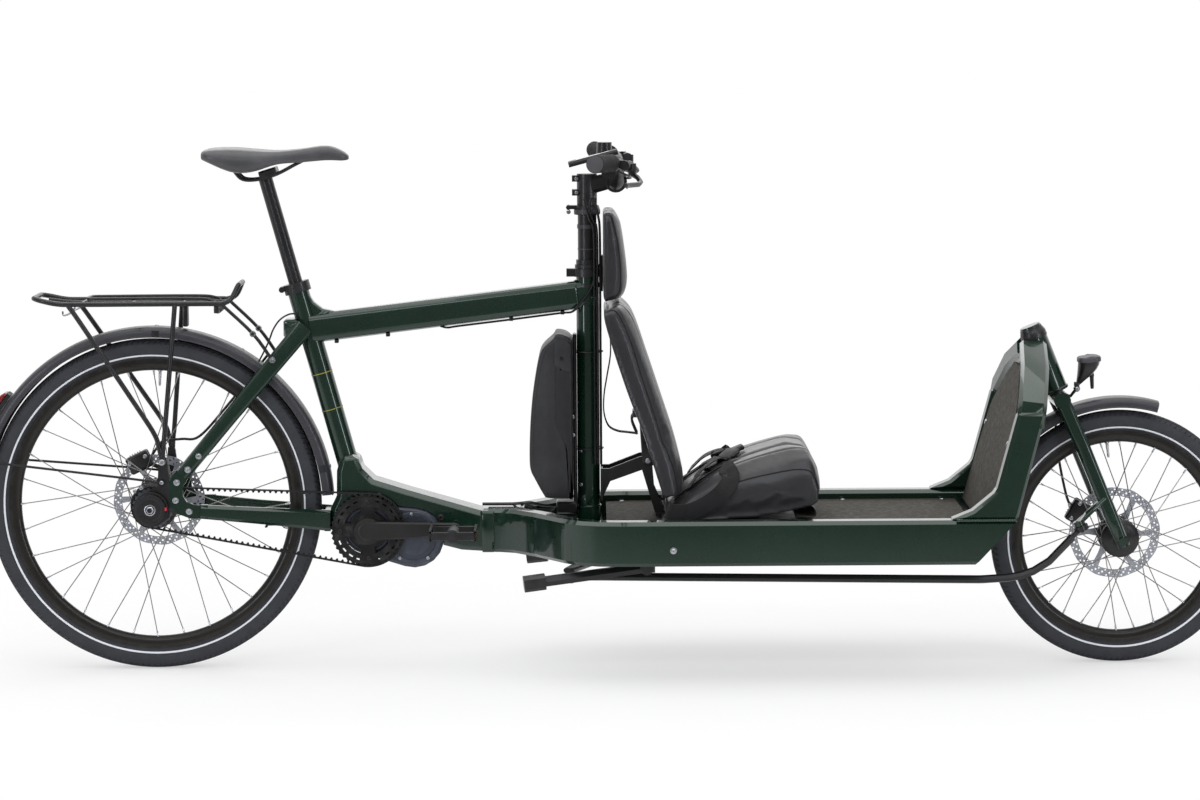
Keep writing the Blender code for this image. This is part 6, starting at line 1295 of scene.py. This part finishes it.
# Calipers with their hoses
def caliper(name, centre, turn, y0, y1, hose, body, carrier):
    """A disc caliper across the rotor's edge: finned halves, two bolts and the hose."""
    out, along = polar(radians(turn)), polar(radians(turn + 90))
    place = Matrix.Translation(centre + out * 0.084) @ Matrix((along, LEFT, out)).transposed().to_4x4()
    f = Form()
    middle = (y0 + y1) / 2
    f.block((-0.0236, y0 + 0.0005, -0.0175), (0.0236, middle - 0.0022, 0.0175), 0.0042, 3, place)
    f.block((-0.0236, middle + 0.0022, -0.0175), (0.0236, y1 - 0.0005, 0.0175), 0.0042, 3, place)
    f.block((-0.0225, middle - 0.004, 0.004), (0.0225, middle + 0.004, 0.0172), 0.002, 2, place)
    f.look = 1
    for k in range(5):
        x = -0.011 + 0.0055 * k
        f.block((x, middle - 0.003, 0.015), (x + 0.0018, middle + 0.003, 0.0205), 0.0005, 1, place)
    for x in (-0.0165, 0.0165):
        spot = place @ vec(x, y0 + 0.0005, 0.006)
        f.bolt(spot, -LEFT, 0.0045, 0.0026, 16)
    f.look = 0
    f.tube(carrier, 0.0045, 10)
    f.look = 2
    f.tube(hose, 0.0026, 10, smooth=6)
    f.look = 1
    start, following = Vector(hose[0]), Vector(hose[1])
    f.lathe([(0.0042, -0.004), (0.0042, 0.006), (0.003, 0.01)], start, following - start, 12)
    f.done(name + "_dressed", [SATIN, STEEL, CABLE], body, name)


caliper("rear_caliper", REAR, 116, 0.037, 0.0655,
        ((-0.02, 0.058, 0.404), (0.0, 0.06, 0.432), (0.012, 0.0595, 0.442), (0.045, 0.066, 0.444),
         (0.08, 0.069, 0.449), (0.136, 0.056, 0.5095), (0.219, 0.044, 0.611)), "frame",
        ((-0.012, 0.06, 0.394), (0.02, 0.066, 0.38)))
caliper("front_caliper", FRONT, 150, 0.0315, 0.05,
        ((1.801, 0.044, 0.3), (1.79, 0.04, 0.33), (1.775, 0.04, 0.405), (1.767, 0.04, 0.492)), "fork",
        ((1.826, 0.044, 0.3), (1.856, 0.053, 0.292)))


# Fasteners, bands, cables and trim that the solids leave out
def seated_bolt(form, nodes, spot, way, radius, height, washer, look=0):
    """A bolt on its washer where a line along the way meets the CAD nodes, square to their surface."""
    tree = tree_of(*(NODES[node].data for node in nodes.split()))
    hit, normal = tree.ray_cast(Vector(spot) - way * 0.3, way)[:2]
    if hit is None:
        raise SystemExit(f"no surface under the bolt at {tuple(spot)}")
    if normal.dot(way) > 0:
        normal = -normal
    form.look = look
    form.lathe([(radius, 0.0012), (washer, 0.001), (washer * 1.03, 0.0005), (washer * 1.03, -0.0004)],
               hit, normal, 28)
    form.bolt(hit + normal * 0.001, normal, radius, height, 20)


def ring_band(form, centre, axis, radius, half, thick):
    """A flat band round a tube."""
    form.lathe([(radius - 0.0003, -half), (radius + thick, -half * 0.96), (radius + thick, half * 0.96),
                (radius - 0.0003, half)], centre, axis)


f = Form()
for side in (-1, 1):
    for x, z in ((0.094, 0.428), (0.073, 0.402), (0.051, 0.377), (0.048, 0.342), (0.074, 0.32)):
        seated_bolt(f, "chainstays seatstays", (x, side * 0.07, z), LEFT * -side, 0.0046, 0.0026, 0.0062)
for side in (-1, 1):
    seated_bolt(f, "bed_frame", (1.009, side * 0.2, 0.2615), LEFT * -side, 0.0044, 0.0026, 0.0064)
for x, z in ((0.56, 0.3005), (0.44, 0.344)):
    for side in (-1, 1):
        seated_bolt(f, "motor_beam", (x, side * 0.02, z), LEFT * -side, 0.0052, 0.0028, 0.007, look=1)
for x in (0.915, 1.14, 1.36, 1.56):
    for side in (-1, 1):
        seated_bolt(f, "floor_board", (x, side * 0.176, 0.3), -UP, 0.0042, 0.0014, 0.0056)
for side in (-1, 1):
    seated_bolt(f, "front_panel", (1.6435, side * 0.178, 0.455), AHEAD, 0.0042, 0.0014, 0.0056)
seats = tree_of(NODES["seat_frame"].data, NODES["headrest_bracket"].data)
for side in (-1, 1):
    for x, z in ((0.884, 0.331), (0.963, 0.406)):
        hit = seats.ray_cast(vec(x, side * 0.3, z), LEFT * -side)[0]
        if hit:
            f.bolt(hit, LEFT * side, 0.0062, 0.003, 20)
for z in (0.494, 0.458):
    f.bolt(vec(0.819, -0.024, z), -LEFT, 0.0042, 0.0022, 16)
f.look = 1
f.block((1.578, -0.19, 0.283), (1.612, 0.19, 0.2895), 0.001)
f.done("frame_bolts", [BOLT, SATIN], "frame")

# Weld beads where the tubes meet
def bead(form, route, radius=0.0024, loop=True):
    """A weld: a rippled bead along a route."""
    route = [Vector(p) for p in route]
    dense = []
    for a, b in zip(route, route[1:] + route[:1] if loop else route[1:]):
        steps = max(1, round((b - a).length / 0.0016))
        dense += [a.lerp(b, k / steps) for k in range(steps)]
    if not loop:
        dense.append(route[-1])
    ripple = [radius * (1 + 0.16 * sin(k * 2.1)) for k in range(len(dense))]
    form.tube(dense, radius, 8, radii=ripple, loop=loop)


def rounded(half_y, low, high, corner, x):
    """A rounded rectangle across the bike at a place along it."""
    spots = []
    for cy, cz, start in ((half_y - corner, high - corner, 0), (-half_y + corner, high - corner, 90),
                          (-half_y + corner, low + corner, 180), (half_y - corner, low + corner, 270)):
        spots += [vec(x, y, z) for y, z in arc(cy, cz, corner, start, start + 90, 4)]
    return spots


f = Form()
f.skin([rounded(0.0418 + d, 0.2312 - d, 0.3113 + d, 0.008, x)
        for x, d in ((0.64, -0.002), (0.6404, 0.0008), (0.6416, 0.0016), (0.6628, 0.0016), (0.664, 0.0008),
                     (0.6644, -0.002))])
for side in (-1, 1):
    bead(f, [(1.546, side * 0.2295, 0.3158), (1.66, side * 0.2295, 0.3158)], 0.003, loop=False)
tube_axis = (vec(0.849, 0, 0.733) - vec(0.309, 0, 0.668)).normalized()
tube_rise = vec(-tube_axis.z, 0, tube_axis.x)
bead(f, [vec(0.8285, 0, 0.7305) + LEFT * (0.0215 * bulge(cos(a), 0.75))
         + tube_rise * (0.0275 * bulge(sin(a), 0.75)) for a in turns(40)])
bead(f, [(STEER_X + 0.0222 * cos(a), 0.0222 * sin(a), 0.3165) for a in turns(40)])
f.done("weld_beads", GREEN, "frame")

# Thin gold lines round the seat tube
f = Form()
for z in (0.581, 0.5105):
    ring_band(f, vec(0.283 + (0.75 - z) * tan(SEAT_LEAN), 0, z),
              vec(-sin(SEAT_LEAN), 0, cos(SEAT_LEAN)), 0.021, 0.0008, 0.0005)
f.done("seat_tube_lines", GOLD, "frame")

# Black cap and lower cup of the head tube, collars and screws of the steering tube
f = Form()
cap_base = HEAD_BOTTOM + HEAD_AXIS * 0.11
f.lathe([(0.0245, -0.001), (0.0264, -0.0006), (0.0268, 0.001), (0.0266, 0.01), (0.024, 0.016),
         (0.0224, 0.02), (0.0222, 0.0224), (0.014, 0.0236), (0.012, 0.0228), (0.00001, 0.0228)], cap_base,
        HEAD_AXIS, 10)
f.lathe([(0.024, -0.003), (0.0262, -0.0026), (0.0268, -0.001), (0.0268, 0.002), (0.025, 0.0034)],
        HEAD_BOTTOM + HEAD_AXIS * 0.0005, HEAD_AXIS, 40)
ring_band(f, vec(STEER_X, 0, 0.7865), UP, 0.0222, 0.0035, 0.0022)
ring_band(f, vec(STEER_X, 0, 0.75), UP, 0.0222, 0.0045, 0.0009)
ring_band(f, vec(STEER_X, 0, 0.28), UP, 0.0222, 0.0032, 0.0024)
f.look = 1
f.bolt(cap_base + HEAD_AXIS * 0.0226, HEAD_AXIS, 0.006, 0.0016, 20)
for z in (0.4257, 0.3591):
    out = vec(-0.015, -0.0161, 0).normalized()
    f.bolt(vec(STEER_X, 0, z) + out * 0.0219, out, 0.004, 0.0022, 16)
f.done("head_caps", [SATIN, BOLT], "frame")

# Cables and wires held by the frame
f = Form()
routes = (
    ([(0.286, -0.018, 0.6985), (0.27, -0.03, 0.6985), (0.253, -0.038, 0.689), (0.24, -0.042, 0.671),
      (0.231, -0.044, 0.648), (0.221, -0.047, 0.627), (0.211, -0.05, 0.608)], 0.0017),
    ([(0.866, -0.0262, 0.772), (0.856, -0.029, 0.745), (0.839, -0.03, 0.72), (0.82, -0.023, 0.7),
      (0.795, -0.012, 0.6958), (0.7, -0.012, 0.684), (0.6, -0.012, 0.6722), (0.576, -0.012, 0.669),
      (0.562, -0.011, 0.672)], 0.0022),
    ([(0.786, -0.016, 0.315), (0.774, -0.02, 0.306), (0.752, -0.022, 0.301), (0.73, -0.02, 0.304),
      (0.71, -0.016, 0.313), (0.702, -0.01, 0.319)], 0.0024),
    ([(0.79, 0.014, 0.315), (0.782, 0.016, 0.308), (0.76, 0.018, 0.305), (0.734, 0.016, 0.309),
      (0.715, 0.012, 0.317)], 0.002),
)
for route, radius in routes:
    f.tube(route, radius, 8, smooth=6)
for x in (0.8, 0.7, 0.46, 0.36):
    z = 0.668 + (x - 0.309) * 0.065 / 0.54 - 0.0285
    f.block((x - 0.004, -0.018, z - 0.0052), (x + 0.004, -0.004, z + 0.0015), 0.0014)
f.done("frame_cables", CABLE, "frame")

# Battery: a rounded shell, its raised covers with the groove between them, the lock
def shrunk(outline, depth):
    """A convex outline moved inward."""
    spots = []
    for i, spot in enumerate(outline):
        along = (outline[(i + 1) % len(outline)] - outline[i - 1]).normalized()
        spots.append(spot + Vector((-along.z, 0, along.x)) * depth)
    return spots


f = Form()
outline = [(0.8189, 0.345), (0.8189, 0.45), (0.8189, 0.55), (0.8189, 0.638), (0.816, 0.648),
           (0.806, 0.656), (0.794, 0.659), (0.7865, 0.658), (0.7815, 0.65), (0.76, 0.629),
           (0.7511, 0.6001), (0.7426, 0.5511), (0.7373, 0.4979), (0.7347, 0.4448), (0.7346, 0.4078),
           (0.7372, 0.3913), (0.7431, 0.3789), (0.761, 0.346), (0.769, 0.339), (0.7958, 0.3374),
           (0.813, 0.3378)]
outline, _ = curved([vec(x, 0, z) for x, z in outline], 4, loop=True)
outline = [vec(min(p.x, 0.8189), 0, p.z) for p in outline]
rim = [(0.0625, 0.0068), (0.0619, 0.004), (0.0604, 0.0018), (0.058, 0.0005), (0.055, 0.0)]
f.skin([[p + LEFT * y for p in shrunk(outline, depth)] for y, depth in rim]
       + [[p - LEFT * y for p in shrunk(outline, depth)] for y, depth in reversed(rim)])
covers = (
    [(0.7815, 0.64), (0.767, 0.6235), (0.759, 0.5985), (0.7505, 0.55), (0.7452, 0.4975), (0.7425, 0.4447),
     (0.7424, 0.41), (0.7445, 0.3935), (0.75, 0.382), (0.7658, 0.353), (0.7722, 0.3472), (0.796, 0.3452),
     (0.8079, 0.3455), (0.8078, 0.38), (0.8055, 0.43), (0.803, 0.444), (0.7984, 0.453), (0.7884, 0.4765),
     (0.785, 0.486), (0.7839, 0.4983), (0.7843, 0.595), (0.7815, 0.6)],
    [(0.7866, 0.5935), (0.786, 0.499), (0.7871, 0.487), (0.7906, 0.4774), (0.8006, 0.4539), (0.8052, 0.4445),
     (0.8076, 0.4304), (0.81, 0.38), (0.8102, 0.35), (0.814, 0.35), (0.814, 0.5845), (0.8006, 0.5872)],
    [(0.784, 0.6475), (0.784, 0.6005), (0.7935, 0.5942), (0.8012, 0.5894), (0.814, 0.5868), (0.814, 0.64),
     (0.8105, 0.6465), (0.802, 0.6515), (0.79, 0.6515)],
)
for side in (-1, 1):
    low, high = sorted((side * 0.0615, side * 0.0636))
    for f.look, cover in zip((0, 1, 0), covers):
        f.plate([cover], low, high, "side", 0.0007)
f.look = 2
f.lathe([(0.0062, -0.001), (0.0064, 0.001), (0.0052, 0.0016), (0.0024, 0.0016), (0.002, 0.0006),
         (0.00001, 0.0006)], vec(0.7985, -0.0634, 0.612), -LEFT, 28)
cover_look = look("battery_cover", (38, 38, 40), 0.42, grain=700)
f.done("battery_dressed", [BATTERY_SHELL, cover_look, SATIN], "battery", "battery")

# Headlight: bowl under a grey cap, clear front, plug below, two lugs with their bolts
f = Form()
rings = []
for z, x0, x1, half in ((0.548, 1.803, 1.81, 0.005), (0.557, 1.804, 1.82, 0.011),
                        (0.568, 1.8055, 1.832, 0.018), (0.579, 1.8065, 1.841, 0.0235),
                        (0.588, 1.807, 1.846, 0.0258), (0.5945, 1.807, 1.847, 0.0262)):
    middle, reach = (x0 + x1) / 2, (x1 - x0) / 2
    rings.append([vec(middle + reach * bulge(cos(a), 0.6), half * bulge(sin(a), 0.75), z) for a in turns(32)])
f.skin(rings)
f.look = 1
lens = []
for z, x, half in ((0.56, 1.8245, 0.011), (0.569, 1.8345, 0.017), (0.58, 1.8435, 0.0215),
                   (0.5895, 1.848, 0.024), (0.599, 1.85, 0.0246)):
    lens.append([vec(x - 0.012 * abs(s) ** 2.4, half * s, z)
                 for s in (-1, -0.8, -0.55, -0.3, 0, 0.3, 0.55, 0.8, 1)])
f.skin(lens + [[p - AHEAD * 0.0012 for p in ring] for ring in reversed(lens)], loop=True, closed=False)
f.look = 3
f.skin([[vec(1.8275 + (0.022 + grow) * bulge(cos(a), 0.5), (0.0262 + grow) * bulge(sin(a), 0.7),
             z + (0.0008 if cos(a) > 0 else -0.0018)) for a in turns(32)]
        for z, grow in ((0.5942, -0.0006), (0.595, 0.0006), (0.601, 0.0006), (0.604, -0.001),
                        (0.6052, -0.0045))])
f.look = 0
f.lathe([(0.0046, 0.0), (0.0048, 0.004), (0.004, 0.008), (0.0036, 0.024), (0.003, 0.03), (0.00001, 0.0305)],
        vec(1.833, 0, 0.57), vec(0.05, 0, -1), 20)
for side in (-1, 1):
    low, high = sorted((side * 0.0045, side * 0.0083))
    f.block((1.7995, low, 0.5355), (1.8085, high, 0.553), 0.0015)
f.look = 2
for side in (-1, 1):
    f.bolt(vec(1.804, side * 0.0085, 0.5405), LEFT * side, 0.0046, 0.0024, 16)
cap_look = look("lamp_cap", (70, 70, 74), 0.42, grain=600)
f.done("headlight_dressed", [SATIN, LENS, BOLT, cap_look], "headlight", "headlight")

# Front axle: a nut on its washer at each end
f = Form()
for side in (-1, 1):
    f.bolt(FRONT + LEFT * side * 0.07, LEFT * side, 0.0082, 0.0046, 6, 0.45, look=1)
    f.lathe([(0.006, 0.0), (0.0118, 0.0002), (0.012, 0.0016), (0.006, 0.0018)],
            FRONT + LEFT * side * 0.0682, LEFT * side, 28)
f.done("front_axle", [SATIN, BOLT], "fork")

# Cockpit: clamp bolts, two hoses, glass of the display, rim of the bell
f = Form()
for z in (0.964, 0.94):
    for y in (-0.018, 0.018):
        f.bolt(vec(0.9262, y, z), AHEAD, 0.0036, 0.0026, 14)
for z in (0.957, 0.93):
    for side in (-1, 1):
        f.bolt(vec(0.829, side * 0.013, z), LEFT * side, 0.004, 0.0028, 16)
for side in (-1, 1):
    f.look = 3
    f.tube([vec(x, side * y, z) for x, y, z in (
        (0.908, 0.134, 0.977), (0.926, 0.116, 0.968), (0.933, 0.09, 0.962), (0.93, 0.062, 0.96),
        (0.923, 0.04, 0.959), (0.916, 0.018, 0.957))], 0.0022, 8, smooth=5)
f.look = 1
tilt = Matrix.Translation((0.8615, 0, 0.9965)) @ Matrix.Rotation(-atan2(0.025, 0.095), 4, "Y")
f.block((-0.034, -0.0245, 0.004), (0.034, 0.0245, 0.0058), 0.0012, 2, tilt)
f.look = 2
bell_axis = vec(-0.024, -0.003, 0.0345).normalized()
f.lathe([(0.015, -0.001), (0.0164, -0.0006), (0.0166, 0.001), (0.0158, 0.002)],
        vec(0.8835, 0.072, 1.003) - bell_axis * 0.0105, bell_axis, 40)
f.done("cockpit_trim", [BOLT, SCREEN, CRANK_GREY, CABLE], "cockpit")

# Telescope of the steering column: the lighter clamp band with its bolt, and two rings
f = Form()
ring_band(f, vec(STEER_X, 0, 0.8925), UP, 0.025, 0.0042, 0.0006)
ring_band(f, vec(STEER_X, 0, 0.864), UP, 0.0182, 0.004, 0.0014)
ring_band(f, vec(STEER_X, 0, 0.82), UP, 0.0182, 0.0012, 0.0007)
f.look = 1
f.bolt(vec(0.813, -0.01, 0.8925), -LEFT, 0.0044, 0.003, 16)
band_look = look("clamp_band", (72, 72, 74), 0.4, metal=0.4)
f.done("column_trim", [band_look, BOLT], "column")

# Camera, light and floor
COOL = (0.88, 0.91, 1.0)
LAMPS = (
    ("overhead", (0.9, -0.2, 3.4), (0.9, 0, 0), (4.6, 2.6), 44, (1, 1, 1)),
    ("front_strip", (0.9, -3.3, 3.0), (0.9, 0, 0.5), (5.0, 0.5), 26, COOL),
    ("left_front", (-2.4, -3.6, 1.1), (0.6, 0, 1.1), (0.6, 2.1), 30, COOL),
    ("right_front", (4.2, -3.4, 1.1), (1.2, 0, 1.1), (0.6, 2.1), 28, COOL),
    ("back", (0.9, 3.4, 2.4), (0.9, 0, 0.5), (4.0, 1.2), 20, (1, 1, 1)),
)


def photographer():
    """The photo's camera, from its place, turn and focal length."""
    yaw, pitch, roll = 0.0025546, 0.114655, -0.0060388
    forward = vec(sin(yaw) * cos(pitch), cos(yaw) * cos(pitch), -sin(pitch))
    right = vec(cos(yaw), -sin(yaw), 0)
    up = right.cross(forward)
    side = right * cos(roll) + up * sin(roll)
    rise = up * cos(roll) - right * sin(roll)
    data = bpy.data.cameras.new("camera")
    data.lens = 101.3325
    data.sensor_width = 36.0
    data.clip_start = 0.05
    data.clip_end = 60.0
    camera = bpy.data.objects.new("camera", data)
    turn = Matrix((side, rise, -forward)).transposed().to_4x4()
    camera.matrix_world = Matrix.Translation((0.8552, -6.5608, 1.2793)) @ turn
    scene.collection.objects.link(camera)
    scene.camera = camera


def lamp(name, place, aim, size, power, tint):
    """A rectangular lamp that the camera doesn't see."""
    light = bpy.data.lights.new(name, "AREA")
    light.shape = "RECTANGLE"
    light.size, light.size_y = size
    light.energy = power
    light.color = tint
    obj = bpy.data.objects.new(name, light)
    way = Vector(aim) - Vector(place)
    obj.matrix_world = Matrix.Translation(place) @ way.to_track_quat("-Z", "Y").to_matrix().to_4x4()
    obj.visible_camera = False
    scene.collection.objects.link(obj)


def room_light():
    """White to the camera; reflections see a room that is bright behind and above."""
    world = bpy.data.worlds.new("studio")
    scene.world = world
    world.use_nodes = True
    nodes, links = world.node_tree.nodes, world.node_tree.links
    path = nodes.new("ShaderNodeLightPath")
    seen = nodes.new("ShaderNodeMath")
    seen.operation = "MAXIMUM"
    links.new(path.outputs["Is Camera Ray"], seen.inputs[0])
    links.new(path.outputs["Is Transmission Ray"], seen.inputs[1])
    way = nodes.new("ShaderNodeSeparateXYZ")
    links.new(nodes.new("ShaderNodeTexCoord").outputs["Generated"], way.inputs[0])

    def ramp(value, start, end, low, high):
        made = nodes.new("ShaderNodeMapRange")
        made.interpolation_type = "SMOOTHSTEP"
        for key, number in (("From Min", start), ("From Max", end), ("To Min", low), ("To Max", high)):
            made.inputs[key].default_value = number
        links.new(value, made.inputs["Value"])
        return made.outputs["Result"]

    def pair(first, second, operation):
        made = nodes.new("ShaderNodeMath")
        made.operation = operation
        links.new(first, made.inputs[0])
        links.new(second, made.inputs[1])
        return made.outputs[0]

    room = pair(ramp(way.outputs["Y"], -0.1, 0.5, 0.22, 1.0), ramp(way.outputs["Z"], 0.35, 0.75, 0.22, 1.0),
                "MAXIMUM")
    mirrored_room = pair(room, path.outputs["Is Glossy Ray"], "MULTIPLY")
    dim = ramp(path.outputs["Is Glossy Ray"], 0.0, 1.0, 0.64, 0.0)
    light = pair(pair(mirrored_room, dim, "ADD"), seen.outputs[0], "MAXIMUM")
    links.new(light, nodes["Background"].inputs["Strength"])
    nodes["Background"].inputs["Color"].default_value = (1, 1, 1, 1)


def pale_floor():
    """A white floor that fades into the white round it, and keeps the shadow near the bike."""
    mesh = bpy.data.meshes.new("floor")
    mesh.from_pydata([(-14, -9, 0), (16, -9, 0), (16, 24, 0), (-14, 24, 0)], [], [(0, 1, 2, 3)])
    floor = bpy.data.objects.new("floor", mesh)
    scene.collection.objects.link(floor)
    g = Graph("pale_floor")
    seen = g.node("LightPath")
    either = g.math(seen.outputs["Is Camera Ray"], seen.outputs["Is Transmission Ray"], "MAXIMUM")
    tone = g.mix(either, (0.92, 0.92, 0.92), (0.5, 0.5, 0.5))
    g.set(base_color=tone, roughness=0.9, specular_ior_level=0.1)
    g.bump(g.noise(4), 0.0001)
    long, deep = 2.6, 1.5
    place = g.node("Mapping", {"Vector": g.coords, "Location": (-0.9 / long, 0, 0),
                               "Scale": (1 / long, 1 / deep, 1)})
    away = g.node("VectorMath", {0: place.outputs["Vector"]}, operation="LENGTH").outputs["Value"]
    fade = g.spread(away, 0, 1, 0.55, 1.0)

    def glow(strength):
        return g.node("Emission", {"Color": (1, 1, 1, 1), "Strength": strength}).outputs[0]

    lit = g.node("AddShader", {0: g.shader.outputs[0], 1: glow(g.math(either, 0.5))})
    blend = g.node("MixShader", {0: g.math(fade, either), 1: lit.outputs[0], 2: glow(1.0)})
    across = g.node("SeparateXYZ", {0: g.coords}).outputs["Y"]
    reflected = g.math(g.spread(across, 1, 0, -2.2, -0.9), seen.outputs["Is Glossy Ray"])
    blend = g.node("MixShader", {0: reflected, 1: blend.outputs[0], 2: glow(0.2)})
    g.links.new(blend.outputs[0], g.nodes["Material Output"].inputs["Surface"])
    mesh.materials.append(g.material)


photographer()
for row in LAMPS:
    lamp(*row)
room_light()
pale_floor()
scene.view_settings.view_transform = "Standard"
